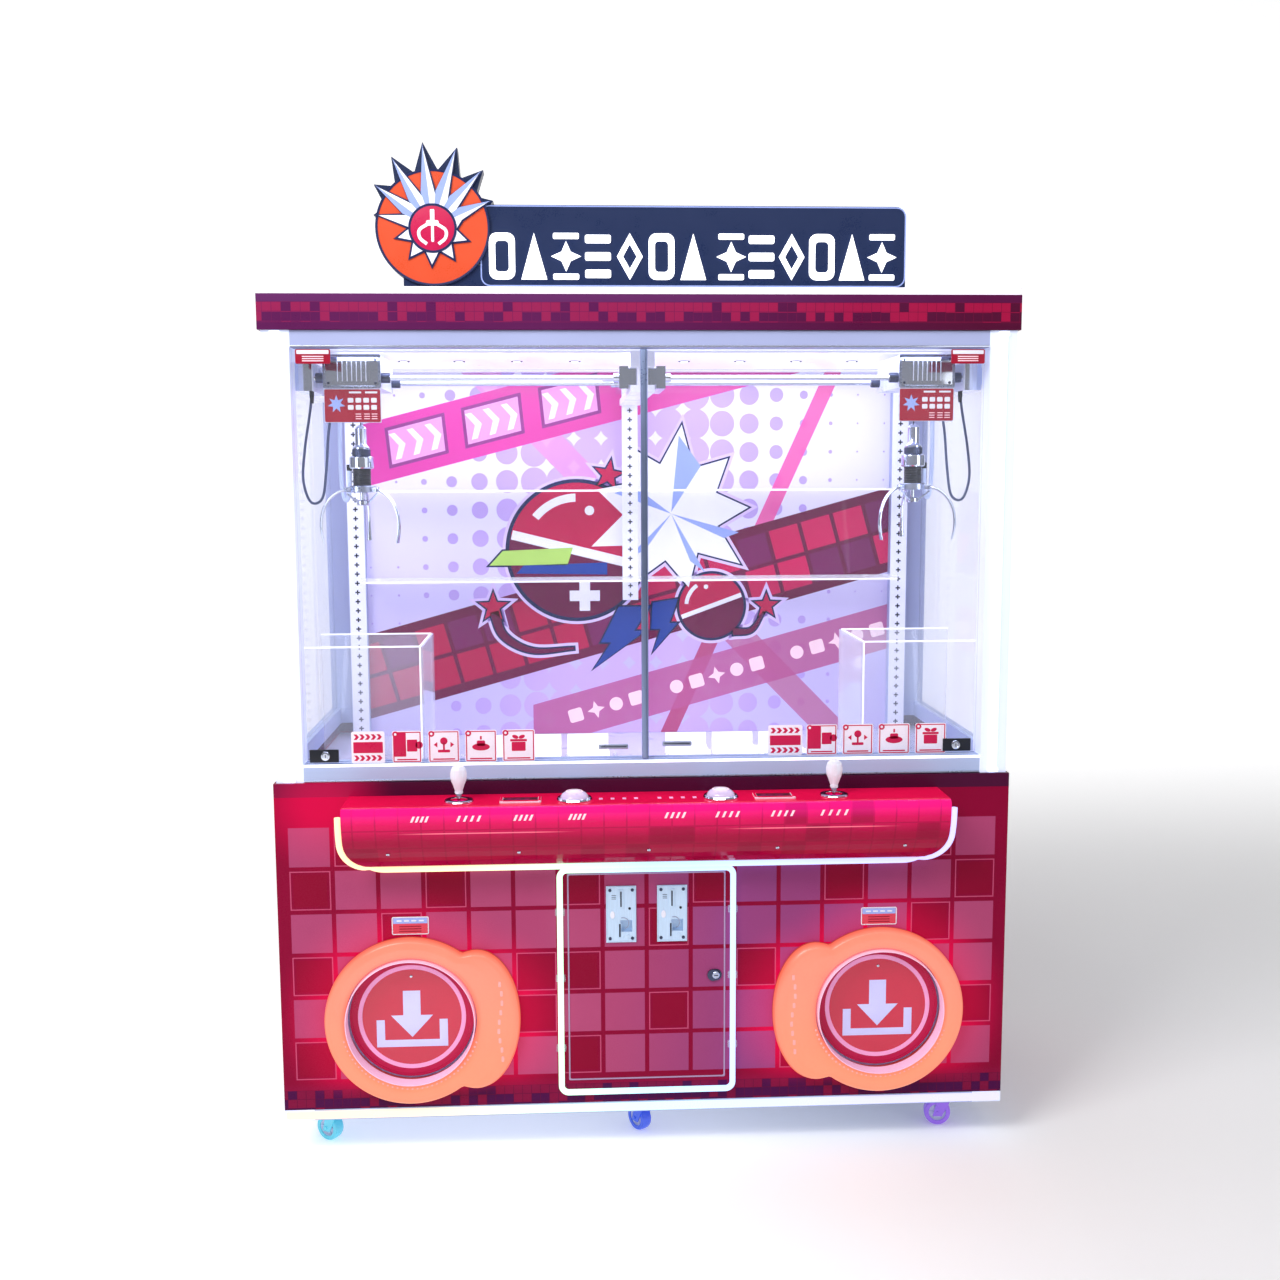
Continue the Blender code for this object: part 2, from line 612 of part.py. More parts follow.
def neon_depth(z):
    """Y of the neon tube where it follows the console's curved end."""
    middle_y = FRONT - GAP
    nearest = middle_y - NEON_RADIUS - GAP
    reach = middle_y - CONSOLE_FRONT - NEON_RADIUS
    drop = min(max((CONSOLE_SHOULDER - z) / (CONSOLE_SHOULDER - CONSOLE_BOTTOM), 0.0), 1.0)
    return min(middle_y - reach * math.sqrt(1.0 - drop * drop), nearest)


def build_neon_trim():
    """One light tube: a U around the console and a loop around the coin door, met under the console."""
    offset = NEON_RADIUS + 0.001
    half = CONSOLE_HALF_WIDTH + offset
    radius = CONSOLE_CORNER + offset
    bottom = CONSOLE_BOTTOM - offset
    x = half - radius
    left_corner = arc((-x, bottom + radius), radius, 180.0, 270.0, 12)
    right_corner = arc((x, bottom + radius), radius, 270.0, 360.0, 12)
    outline = [(-half, 0.797), (-half, 0.770)] + left_corner + right_corner + [(half, 0.770), (half, 0.797)]
    console_tube = swept_tube([(a, neon_depth(b), b) for a, b in outline], NEON_RADIUS, 8, closed=False)
    door_y = FRONT - GAP - NEON_RADIUS - 0.0002
    door_outline = rounded_box_outline(0.190, 0.1395, 0.6455, 0.016, 4)
    door_tube = swept_tube([(a, door_y, b) for a, b in door_outline], NEON_RADIUS, 8, closed=True)
    union(console_tube, door_tube)
    finish(console_tube, "neon_trim", NEON, 0.3, smooth=True)


def build_joystick(name, side):
    x = side * JOYSTICK_X
    y = CONTROL_Y
    z = JOYSTICK_PIVOT_Z
    gimbal = block((x - 0.018, x + 0.018), (y - 0.015, y + 0.015), (z - 0.004, z + 0.004))
    slot = block((x - 0.0095, x + 0.0095), (y - 0.0055, y + 0.0055), (z - 0.010, z + 0.010))
    pin_bore = rod((x, y - 0.020, z), (x, y + 0.020, z), 0.0023, 12)
    trunnions = [
        rod((x + end * 0.016, y, z), (x + end * 0.0285, y, z), 0.0029, 12) for end in (-1, 1)
    ]
    union(cut(gimbal, slot, pin_bore), *trunnions)
    finish(gimbal, name + "_joystick_gimbal", STEEL, 0.35, 1.0, (x, y, z))

    profile = [
        (0.0, 0.768), (0.004, 0.769), (0.004, 0.833), (0.0085, 0.835), (0.010, 0.845), (0.0135, 0.854),
        (0.0175, 0.863), (0.0185, 0.872), (0.0170, 0.881), (0.0130, 0.889), (0.0070, 0.894), (0.0, 0.8955),
    ]
    stick = turned(profile, (x, y), 16)
    union(stick, rod((x, y - 0.0140, z), (x, y + 0.0140, z), 0.0020, 12))
    finish(stick, name + "_joystick", CLEAR, 0.08, 0.0, (x, y, z), smooth=True)


def build_button(name, side):
    profile = [
        (0.0, 0.8020), (0.0340, 0.8020), (0.0340, 0.8055), (0.0297, 0.8065), (0.0297, 0.8215),
        (0.0270, 0.8265), (0.0215, 0.8315), (0.0135, 0.8350), (0.0, 0.8365),
    ]
    x = side * BUTTON_X
    button = turned(profile, (x, CONTROL_Y), 24)
    finish(button, name + "_button", WHITE, 0.15, 0.0, (x, CONTROL_Y, CONSOLE_TOP), smooth=True)


# ---------------------------------------------------------------- glazed upper part
def frame_ring(back_rail_front, z_range):
    """A flat rectangular ring of rails, a hair inside the faces of the corner posts."""
    inset = 0.0005
    half = FRAME_HALF_WIDTH - inset
    ring = block((-half, half), (FRAME_FRONT + inset, FRAME_BACK - inset), z_range)
    inner = FRAME_HALF_WIDTH - SIDE_RAIL
    return cut(ring, block((-inner, inner), (FRAME_FRONT + RAIL_DEPTH, back_rail_front), (0.5, 2.0)))


def build_upper_frame():
    """Corner posts, sill, header and side rails, with the slotted rear posts and door grooves."""
    full_z = (CABINET_TOP + GAP, HEADER_TOP)
    frame = frame_ring(0.3925, (CABINET_TOP + 0.0010, SILL_TOP))
    pieces = []
    for _, side in SIDES:
        post_x = (side * FRAME_HALF_WIDTH, side * (FRAME_HALF_WIDTH - POST))
        slotted_z = (DECK_TOP + GAP, HEADER_BOTTOM + 0.010)
        pieces += [
            block(post_x, (FRAME_FRONT, FRAME_FRONT + POST), full_z),
            block(post_x, (FRAME_BACK - POST, FRAME_BACK), full_z),
            block((side * 0.690, side * 0.735), (0.3604, 0.3850), slotted_z),
        ]
    union(frame, *pieces[:2], *pieces[3:5])
    union(frame, frame_ring(0.3600, (HEADER_BOTTOM, HEADER_TOP - 0.0005)), pieces[2], pieces[5])
    groove_x = (-0.7350, 0.7350)
    grooves = []
    for y_range in ((-0.3305, -0.3215), (-0.3055, -0.2965)):
        grooves.append(block(groove_x, y_range, (0.877, 0.900)))
        grooves.append(block(groove_x, y_range, (1.700, 1.785)))
    cut(frame, *grooves)
    finish(frame, "upper_frame", PALE_BLUE, 0.35, 0.3)


def build_side_glass(name, side):
    y_range = (FRAME_FRONT + POST + GAP, FRAME_BACK - POST - GAP)
    glass = block((side * 0.780, side * 0.786), y_range, (SILL_TOP + GAP, HEADER_BOTTOM - GAP))
    finish(glass, name + "_side_glass", CLEAR, 0.03)


def build_glass_door(name, side):
    """Sliding pane with its meeting stile, finger pull and lock plate."""
    y = -0.3290 if side < 0 else -0.3040
    outer = side * 0.7335
    meeting = side * -0.0060
    stile_end = meeting + side * 0.014
    pane = block((outer, meeting), (y, y + 0.006), (0.8780, 1.7780))
    stile = block((meeting, stile_end), (y - 0.0035, y + 0.0095), (0.8880, 1.7620))
    pull_x = (side * 0.038, side * 0.102)
    pull = block(pull_x, (y - 0.0045, y + 0.001), (0.909, 0.920))
    lock_x = (side * 0.660, side * 0.722)
    lock = block(lock_x, (y - 0.0048, y + 0.001), (0.889, 0.917))
    union(pane, stile, pull, lock)
    finish(pane, name + "_glass_door", CLEAR, 0.03)


def build_back_board():
    board = block((-0.7350, 0.7350), (0.3855, 0.3915), (DECK_TOP + 2 * GAP, HEADER_BOTTOM - GAP))
    finish(board, "back_board", (0.75, 0.55, 0.80), 0.4)


def build_display_rack():
    """Slotted middle upright with two clear shelves."""
    upright = block((-0.020, 0.020), (0.3580, 0.3850), (1.170, HEADER_BOTTOM - 2 * GAP))
    shelves = [block((-0.688, 0.688), (0.2600, 0.3700), (z, z + 0.005)) for z in (1.226, 1.456)]
    lip = block((-0.688, 0.688), (0.2600, 0.2640), (1.228, 1.240))
    union(upright, *shelves, lip)
    finish(upright, "display_rack", CLEAR, 0.1)


# ---------------------------------------------------------------- canopy and sign
def build_canopy():
    """Ceiling, fascia box and light rim, hollow with vent slots in its top."""
    canopy = block((-HALF_WIDTH, HALF_WIDTH), (FRONT, BACK), (HEADER_TOP + GAP, CANOPY_TOP))
    inner = FRAME_HALF_WIDTH - SIDE_RAIL - 2 * GAP
    ceiling_y = (FRAME_FRONT + POST + 2 * GAP, 0.3600 - 2 * GAP)
    union(canopy, block((-inner, inner), ceiling_y, (HEADER_BOTTOM + 0.003, HEADER_TOP + 0.005)))
    hollow = block((-0.760, 0.760), (-0.270, 0.345), (1.776, 1.880))
    vents = [block((x, x + 0.180), (0.250, 0.265), (1.870, 1.900)) for x in (-0.60, -0.20, 0.20)]
    cut(canopy, hollow, *vents)
    finish(canopy, "canopy", DARK_CRIMSON, 0.35)


def starburst(centre, spokes, start, end):
    """Pointed outline read round a centre: long rays at the top and short ones below."""
    points = []
    for index in range(2 * spokes):
        angle = math.radians(start + (end - start) * index / (2 * spokes - 1))
        lift = max(math.sin(angle), 0.0)
        radius = (0.112 + 0.062 * lift) if index % 2 else (0.098 + 0.020 * lift)
        points.append((centre[0] + radius * math.cos(angle), centre[1] + radius * math.sin(angle)))
    return points


def build_topper_sign():
    """Sign board with a round medallion and a starburst rising above it."""
    y_range = (-0.310, -0.270)
    bottom = CANOPY_TOP + GAP
    corner = 0.022
    board_outline = (
        [(-0.340, bottom), (0.556, bottom)]
        + arc((0.556 - corner, 2.058 - corner), corner, 0.0, 90.0, 5)
        + [(-0.340, 2.058)]
    )
    sign = prism(board_outline, "Y", *y_range)
    centre = (-0.437, 2.010)
    disc = rod((centre[0], y_range[0] - 0.004, centre[1]), (centre[0], y_range[1], centre[1]), 0.1185, 48)
    burst = prism(starburst(centre, 7, 12.0, 168.0) + [(centre[0], centre[1] - 0.05)], "Y", *y_range)
    foot = block((-0.500, -0.330), y_range, (bottom, 1.935))
    union(sign, disc, burst, foot)
    finish(sign, "topper_sign", NAVY, 0.4)


# ---------------------------------------------------------------- crane gear
def build_gantry_frame():
    """Three front-to-back rails under the ceiling, joined by two cross members."""
    y_range = (-0.270, 0.350)
    top = HEADER_BOTTOM - 2 * GAP
    frame = block((-0.026, 0.026), y_range, (1.676, top))
    pieces = [block((-0.7790, 0.7790), (y, y + 0.030), (1.7600, top)) for y in (-0.268, 0.315)]
    grooves = []
    for _, side in SIDES:
        pieces.append(block((side * 0.7450, side * 0.7790), y_range, (1.684, top)))
        grooves.append(block((side * 0.7440, side * 0.7690), (-0.30, 0.40), (1.691, 1.729)))
        grooves.append(block((side * 0.0110, side * 0.0300), (-0.30, 0.40), (1.691, 1.729)))
    cut(union(frame, *pieces), *grooves)
    finish(frame, "gantry_frame", WHITE, 0.4, 0.5)


def build_bridge(name, side):
    """End carriages in the rails, joined by the two cross rods."""
    outer = block(
        (side * 0.7400, side * 0.7050), (CRANE_Y - 0.108, CRANE_Y + 0.108), (1.680, 1.740)
    )
    outer_runner = block((side * 0.7380, side * 0.7660), (CRANE_Y - 0.100, CRANE_Y + 0.100), (1.6925, 1.7275))
    inner = block((side * 0.0300, side * 0.0500), (CRANE_Y - 0.108, CRANE_Y + 0.108), (1.684, 1.732))
    inner_runner = block((side * 0.0320, side * 0.0130), (CRANE_Y - 0.100, CRANE_Y + 0.100), (1.6925, 1.7275))
    rods = [
        rod((side * 0.7200, CRANE_Y + y, ROD_Z), (side * 0.0400, CRANE_Y + y, ROD_Z), ROD_RADIUS, 16)
        for y in (-ROD_OFFSET, ROD_OFFSET)
    ]
    motor = rod((side * 0.7220, CRANE_Y - 0.020, 1.7240), (side * 0.6900, CRANE_Y - 0.020, 1.7240), 0.012, 16)
    union(outer, outer_runner, *rods, inner, inner_runner, motor)
    finish(outer, name + "_crane_bridge", STEEL, 0.35, 0.8, (side * 0.380, CRANE_Y, ROD_Z), smooth=True)


def build_trolley(name, side):
    """Housing that slides on the bridge rods and holds the winch drum, with its front plate."""
    x = side * CRANE_X
    trolley = block((x - 0.060, x + 0.060), (CRANE_Y - 0.110, CRANE_Y + 0.110), (1.686, 1.756))
    pocket = block((x - 0.052, x + 0.052), (CRANE_Y - 0.074, CRANE_Y + 0.074), (1.600, 1.752))
    cut(trolley, pocket)
    plate = block((x - 0.060, x + 0.060), (CRANE_Y - 0.1100, CRANE_Y - 0.1070), (1.613, 1.690))
    drum = rod((x - 0.054, CRANE_Y + 0.022, 1.722), (x + 0.054, CRANE_Y + 0.022, 1.722), 0.020, 20)
    shelf = block((x - 0.054, x + 0.054), (CRANE_Y - 0.050, CRANE_Y + 0.076), (1.6860, 1.6890))
    union(trolley, plate, drum, shelf)
    bores = [
        rod((x - 0.080, CRANE_Y + y, ROD_Z), (x + 0.080, CRANE_Y + y, ROD_Z), ROD_RADIUS + 0.0004, 16)
        for y in (-ROD_OFFSET, ROD_OFFSET)
    ]
    string_hole = rod((x, CRANE_Y, 1.680), (x, CRANE_Y, 1.695), 0.006, 16)
    cut(trolley, *bores, string_hole)
    finish(trolley, name + "_trolley", WHITE, 0.35, 0.4, (x, CRANE_Y, ROD_Z), smooth=True)


def build_claw_head(name, side):
    """Turned solenoid body with a lower hub, and three forked lugs that hold the finger pins."""
    x = side * CRANE_X
    profile = [
        (0.0, 1.4340), (0.0135, 1.4350), (0.0135, 1.4450), (0.0050, 1.4470), (0.0050, 1.4620),
        (0.0300, 1.4630), (0.0300, 1.4750), (0.0200, 1.4770), (0.0200, 1.5130), (0.0270, 1.5150),
        (0.0270, 1.5400), (0.0200, 1.5440), (0.0200, 1.5600), (0.0130, 1.5640), (0.0130, 1.6050),
        (0.0060, 1.6100), (0.0015, 1.6120), (0.0015, 1.7000), (0.0, 1.7005),
    ]
    head = turned(profile, (x, CRANE_Y), 16)
    lugs = []
    for azimuth in FINGER_AZIMUTHS:
        for tangent in (-1, 1):
            lug = block(
                (x + 0.024, x + 0.0425), (CRANE_Y + tangent * 0.0034, CRANE_Y + tangent * 0.0060), (1.4635, 1.4745)
            )
            lugs.append(turn_about(lug, (x, CRANE_Y), azimuth))
        pin_ends = [(x + FINGER_PIVOT_RADIUS, CRANE_Y + reach, FINGER_PIVOT_Z) for reach in (-0.0070, 0.0070)]
        lugs.append(turn_about(rod(*pin_ends, 0.0019, 10), (x, CRANE_Y), azimuth))
    union(head, *lugs)
    finish(head, name + "_claw_head", STEEL, 0.25, 1.0, (x, CRANE_Y, 1.600), smooth=True)


def finger_outline():
    """A bowed bar, as (distance from the claw's axis, Z), with a constant width along its centre line."""
    centre_line = [
        (0.0370, 1.4690), (0.0560, 1.4640), (0.0730, 1.4530), (0.0860, 1.4370), (0.0945, 1.4180),
        (0.0980, 1.3970), (0.0975, 1.3760), (0.0930, 1.3520),
    ]
    half_width = 0.0035
    upper = []
    lower = []
    for index, point in enumerate(centre_line):
        before = Vector(centre_line[max(index - 1, 0)])
        after = Vector(centre_line[min(index + 1, len(centre_line) - 1)])
        along = (after - before).normalized()
        across = Vector((-along[1], along[0])) * half_width
        upper.append(tuple(Vector(point) + across))
        lower.append(tuple(Vector(point) - across))
    return upper + lower[::-1]


def build_finger(claw_name, side, number, azimuth):
    x = side * CRANE_X
    outline = [(x + radius, z) for radius, z in finger_outline()]
    finger = prism(outline, "Y", CRANE_Y - 0.0030, CRANE_Y + 0.0030)
    pivot_x = x + FINGER_PIVOT_RADIUS
    ends = [(pivot_x, CRANE_Y + reach, FINGER_PIVOT_Z) for reach in (-0.0030, 0.0030)]
    bore_ends = [(pivot_x, CRANE_Y + reach, FINGER_PIVOT_Z) for reach in (-0.0060, 0.0060)]
    scoop = block((x + 0.0890, x + 0.0945), (CRANE_Y - 0.0090, CRANE_Y + 0.0090), (1.3500, 1.3660))
    union(finger, rod(*ends, 0.0045, 16), scoop)
    cut(finger, rod(*bore_ends, 0.0023, 12))
    turn_about(finger, (x, CRANE_Y), azimuth)
    angle = math.radians(azimuth)
    pivot = (
        x + FINGER_PIVOT_RADIUS * math.cos(angle),
        CRANE_Y + FINGER_PIVOT_RADIUS * math.sin(angle),
        FINGER_PIVOT_Z,
    )
    finish(finger, f"{claw_name}_claw_finger_{number}", STEEL, 0.2, 1.0, pivot)


def smooth_route(points, count):
    """Even points along a Catmull-Rom curve through the route's own points."""
    points = [Vector(point) for point in points]
    points = [2 * points[0] - points[1]] + points + [2 * points[-1] - points[-2]]
    dense = []
    for index in range(1, len(points) - 2):
        a, b, c, d = points[index - 1:index + 3]
        for step in range(40):
            t = step / 40
            dense.append(
                0.5 * (2 * b + (c - a) * t + (2 * a - 5 * b + 4 * c - d) * t * t
                       + (3 * b - a - 3 * c + d) * t ** 3)
            )
    dense.append(points[-2])
    travelled = [0.0]
    for first, second in zip(dense, dense[1:]):
        travelled.append(travelled[-1] + (second - first).length)
    route = []
    index = 0
    for step in range(count):
        target = travelled[-1] * step / (count - 1)
        while index < len(dense) - 2 and travelled[index + 1] < target:
            index += 1
        share = (target - travelled[index]) / max(travelled[index + 1] - travelled[index], 1e-9)
        route.append(dense[index].lerp(dense[index + 1], min(share, 1.0)))
    return route


def build_cord(name, points, radius, count, colour):
    """A cable as a bevelled curve with filled caps."""
    curve = bpy.data.curves.new(name, "CURVE")
    curve.dimensions = "3D"
    curve.bevel_depth = radius
    curve.bevel_resolution = 2
    curve.use_fill_caps = True
    spline = curve.splines.new("POLY")
    route = smooth_route(points, count)
    spline.points.add(len(route) - 1)
    for target, point in zip(spline.points, route):
        target.co = (*point, 1.0)
    cord = bpy.data.objects.new(name, curve)
    bpy.context.scene.collection.objects.link(cord)
    surface = bpy.data.materials.new(name + "_surface")
    surface.use_nodes = True
    shader = surface.node_tree.nodes["Principled BSDF"]
    shader.inputs["Base Color"].default_value = (*colour, 1.0)
    shader.inputs["Roughness"].default_value = 0.5
    curve.materials.append(surface)


def build_crane_cords(name, side):
    """The trailing cable from bridge to trolley, and the coiled cord from trolley to claw."""
    y = CRANE_Y
    trailing = [
        (side * 0.7250, y, 1.6788), (side * 0.7300, y, 1.640), (side * 0.7430, y - 0.004, 1.560),
        (side * 0.7480, y - 0.008, 1.490), (side * 0.7330, y - 0.008, 1.442), (side * 0.7080, y - 0.006, 1.450),
        (side * 0.6980, y - 0.003, 1.510), (side * 0.6900, y, 1.600), (side * 0.6740, y, 1.6840),
    ]
    build_cord(name + "_trailing_cable", trailing, 0.0030, 36, DARK)
    azimuth = math.radians(150.0 if side < 0 else 30.0)
    centre_x = side * CRANE_X

    def around(radius, z):
        return (centre_x + radius * math.cos(azimuth), y + radius * math.sin(azimuth), z)

    coiled = [
        around(0.0550, 1.6845), around(0.0570, 1.640), around(0.0590, 1.560), around(0.0570, 1.480),
        around(0.0490, 1.447), around(0.0395, 1.452), around(0.0350, 1.480), around(0.0345, 1.514),
    ]
    build_cord(name + "_claw_cord", coiled, 0.0050, 22, WHITE)


def main():
    for existing in list(bpy.data.objects):
        bpy.data.objects.remove(existing)
    build_base()
    build_casters()
    build_cabinet_shell()
    build_front_panel()
    build_play_deck()
    build_cash_box()
    build_control_unit()
    build_coin_door()
    build_door_lock()
    build_console()
    build_neon_trim()
    build_upper_frame()
    build_back_board()
    build_display_rack()
    build_canopy()
    build_topper_sign()
    build_gantry_frame()
    for name, side in SIDES:
        build_prize_chute(name, side)
        build_chute_guard(name, side)
        build_coin_unit(name, side)
        build_outlet_ring(name, side)
        build_prize_flap(name, side)
        build_joystick(name, side)
        build_button(name, side)
        build_side_glass(name, side)
        build_glass_door(name, side)
        build_bridge(name, side)
        build_trolley(name, side)
        build_claw_head(name, side)
        for number, azimuth in enumerate(FINGER_AZIMUTHS, start=1):
            build_finger(name, side, number, azimuth)
        build_crane_cords(name, side)


main()
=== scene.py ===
"""Two-player claw crane machine: the finished surfaces, lights, controls and cranes around the packed model."""
import math

import bpy
import numpy as np
from mathutils import Matrix, Vector


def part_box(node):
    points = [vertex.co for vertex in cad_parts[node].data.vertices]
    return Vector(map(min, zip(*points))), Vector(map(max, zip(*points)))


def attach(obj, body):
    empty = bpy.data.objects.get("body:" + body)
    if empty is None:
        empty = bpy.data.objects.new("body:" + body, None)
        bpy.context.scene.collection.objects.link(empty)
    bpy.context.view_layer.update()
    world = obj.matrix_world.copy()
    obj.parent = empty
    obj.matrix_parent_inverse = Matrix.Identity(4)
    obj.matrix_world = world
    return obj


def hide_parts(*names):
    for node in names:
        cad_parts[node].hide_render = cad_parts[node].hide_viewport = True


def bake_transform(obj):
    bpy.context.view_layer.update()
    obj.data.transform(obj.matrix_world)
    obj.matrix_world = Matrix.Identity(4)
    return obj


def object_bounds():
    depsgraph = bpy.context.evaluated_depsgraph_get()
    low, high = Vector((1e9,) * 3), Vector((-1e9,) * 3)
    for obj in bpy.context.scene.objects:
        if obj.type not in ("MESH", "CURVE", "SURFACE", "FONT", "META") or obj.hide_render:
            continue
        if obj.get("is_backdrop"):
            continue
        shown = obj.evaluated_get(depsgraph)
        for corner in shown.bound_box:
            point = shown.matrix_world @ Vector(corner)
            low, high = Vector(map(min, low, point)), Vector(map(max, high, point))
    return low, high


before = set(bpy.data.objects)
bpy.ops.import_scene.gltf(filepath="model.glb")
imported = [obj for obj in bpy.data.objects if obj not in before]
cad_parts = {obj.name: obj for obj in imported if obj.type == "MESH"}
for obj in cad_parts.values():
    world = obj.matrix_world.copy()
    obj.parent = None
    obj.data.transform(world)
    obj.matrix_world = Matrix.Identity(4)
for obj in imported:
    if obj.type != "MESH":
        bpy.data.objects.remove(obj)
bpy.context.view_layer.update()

bl_info = {"name": "Two-Player Claw Crane Machine", "version": (1, 0, 0), "blender": (4, 5, 0),
    "location": "View3D > Sidebar > Claw Crane",
    "description": "Adds the finishes, lights and fine pieces of a two-player claw crane machine",
    "category": "Object"}

SIDES = (("left", -1.0), ("right", 1.0))
CRANE_X = 0.62
CRANE_Y = -0.15
CONTROL_Y = -0.4
CONSOLE_TOP = 0.816
JOYSTICK_X = 0.4
DISPLAY_X = 0.27
BUTTON_X = 0.156
OUTLET_X = 0.518
OUTLET_Z = 0.315
PANEL_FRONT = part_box("front_panel")[0].y
BOARD_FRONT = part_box("back_board")[0].y
TILE_PITCH_X = 0.0971
TILE_PITCH_Z = 0.0961
TILE_START_Z = 0.1762
CHECK_PITCH = 0.0198


# ---------------------------------------------------------------- shapes
def unit(vectors):
    """Each vector divided by its own length."""
    return vectors / np.maximum(np.linalg.norm(vectors, axis=-1, keepdims=True), 1e-12)


def grid_faces(rows, columns, closed_rows, closed_columns):
    """Four-cornered faces of a grid numbered row by row; a closed direction runs back into its first line."""
    i = np.arange(rows if closed_rows else rows - 1)[:, None]
    j = np.arange(columns if closed_columns else columns - 1)[None, :]
    below, beside = (i + 1) % rows, (j + 1) % columns
    corners = [i * columns + j, i * columns + beside, below * columns + beside, below * columns + j]
    return np.stack(corners, -1).reshape(-1, 4)


def outward(shape):
    """Turns a closed shape's faces over when the volume under them, a sixth of the sum of every fan triangle's
    triple product, comes out negative."""
    points, faces = shape
    centred = points - points.mean(0)
    volume = 0.0
    for group in faces:
        a, b, c = centred[group[:, :1]], centred[group[:, 1:-1]], centred[group[:, 2:]]
        volume += np.sum(a * np.cross(b, c)) / 6.0
    return (points, [group[:, ::-1] for group in faces]) if volume < 0 else shape


def skin(rings, closed=False, flat_ends=False, poles=None):
    """A surface through rings of points, one ring a row. It runs back into itself, or it ends in flat faces, or in
    fans of triangles that meet at a pole, which is the end ring's middle where none is given."""
    rings = np.asarray(rings, float)
    rows, columns = rings.shape[:2]
    points = rings.reshape(-1, 3)
    faces = [grid_faces(rows, columns, closed, True)]
    if not closed:
        first = np.arange(columns)[::-1]
        last = np.arange(columns) + (rows - 1) * columns
        if flat_ends:
            faces += [first[None], last[None]]
        else:
            poles = (rings[0].mean(0), rings[-1].mean(0)) if poles is None else poles
            points = np.vstack([points, poles])
            for pole, ring in ((rows * columns, first), (rows * columns + 1, last)):
                faces.append(np.stack([np.full(columns, pole), ring, np.roll(ring, -1)], 1))
    return outward((points, faces))


def placed(outline, depth, plane):
    """Flat points put into space: the plane's name says which two directions they are, and depth is the third."""
    a, b = outline[:, 0], outline[:, 1]
    c = np.broadcast_to(np.asarray(depth, float), a.shape)
    order = {"XZ": (a, c, b), "XY": (a, b, c), "YZ": (c, a, b)}[plane]
    return np.stack(order, 1)


def anticlockwise(outline):
    """The outline in the order whose signed area, half the sum of its corners' cross products, is positive."""
    outline = np.asarray(outline, float)
    after = np.roll(outline, -1, 0)
    area = np.sum(outline[:, 0] * after[:, 1] - outline[:, 1] * after[:, 0])
    return outline if area > 0 else outline[::-1]


def inset(outline, distance):
    """An outline drawn in by a distance: a corner moves along the mean of its two sides' normals, and further by
    one over the cosine of half its turn, up to a limit."""
    ahead = unit(np.roll(outline, -1, 0) - outline)
    mean = unit(ahead + np.roll(ahead, 1, 0))
    normal = np.stack([-mean[:, 1], mean[:, 0]], 1)
    side = np.stack([-ahead[:, 1], ahead[:, 0]], 1)
    stretch = 1.0 / np.clip(np.sum(normal * side, 1), 0.4, None)
    return outline + normal * stretch[:, None] * distance


def slab(outline, back, front, bevel=0.0006, plane="XZ", both=False, steps=3):
    """A flat piece: its outline stands square on the back, turns in over a quarter-round edge of the bevel's radius,
    and ends in a flat face. With both, the back has the same edge."""
    outline = anticlockwise(outline)
    step = math.copysign(1.0, front - back)
    turn = np.radians(np.linspace(0.0, 90.0, steps + 1))
    drawn = bevel * (1.0 - np.cos(turn))
    depths = front - step * bevel * (1.0 - np.sin(turn))
    if both:
        drawn = np.concatenate([drawn[::-1], drawn])
        depths = np.concatenate([(back + step * bevel * (1.0 - np.sin(turn)))[::-1], depths])
    else:
        drawn = np.concatenate([[0.0], drawn])
        depths = np.concatenate([[back], depths])
    rings = [placed(inset(outline, d), y, plane) for d, y in zip(drawn, depths)]
    return skin(rings, flat_ends=True)


def band(outer, inner, back, front, bevel=0.0006, plane="XZ"):
    """A flat ring between two outlines of equally many points, with both front edges chamfered by the bevel."""
    outer, inner = anticlockwise(outer), anticlockwise(inner)
    step = math.copysign(1.0, front - back)
    rows = [(outer, 0.0, back), (outer, 0.0, front - step * bevel), (outer, bevel, front), (inner, -bevel, front),
        (inner, 0.0, front - step * bevel), (inner, 0.0, back)]
    return skin([placed(inset(o, d), y, plane) for o, d, y in rows], closed=True)


def bar(x_range, y_range, z_range, bevel=0.0015):
    """A straight bar with all its edges along the front and back rounded."""
    outline = rounded(*x_range, *z_range, bevel, 2)
    return slab(outline, y_range[1], y_range[0], bevel, both=True)


def rounded(a0, a1, b0, b1, radius, steps=5):
    """A rectangle whose corners are quarter circles."""
    a0, a1, b0, b1 = min(a0, a1), max(a0, a1), min(b0, b1), max(b0, b1)
    turn = np.radians(np.linspace(0.0, 90.0, steps + 1))
    corners = [(a1, b1, 0.0), (a0, b1, 90.0), (a0, b0, 180.0), (a1, b0, 270.0)]
    points = []
    for a, b, start in corners:
        centre = np.array([a - math.copysign(radius, a - (a0 + a1) / 2), b - math.copysign(radius,
            b - (b0 + b1) / 2)])
        angle = turn + math.radians(start)
        points.append(centre + radius * np.stack([np.cos(angle), np.sin(angle)], 1))
    return np.vstack(points)


def circle(a, b, radius, count=32):
    """Even points on a circle."""
    angle = np.linspace(0.0, 2.0 * math.pi, count, endpoint=False)
    return np.stack([a + radius * np.cos(angle), b + radius * np.sin(angle)], 1)


def ellipse(a, b, across, up, count=40, tilt=0.0):
    """Even steps of angle round an ellipse, turned by a tilt in degrees."""
    points = circle(0.0, 0.0, 1.0, count) * (across, up)
    c, s = math.cos(math.radians(tilt)), math.sin(math.radians(tilt))
    return points @ np.array([[c, s], [-s, c]]) + (a, b)


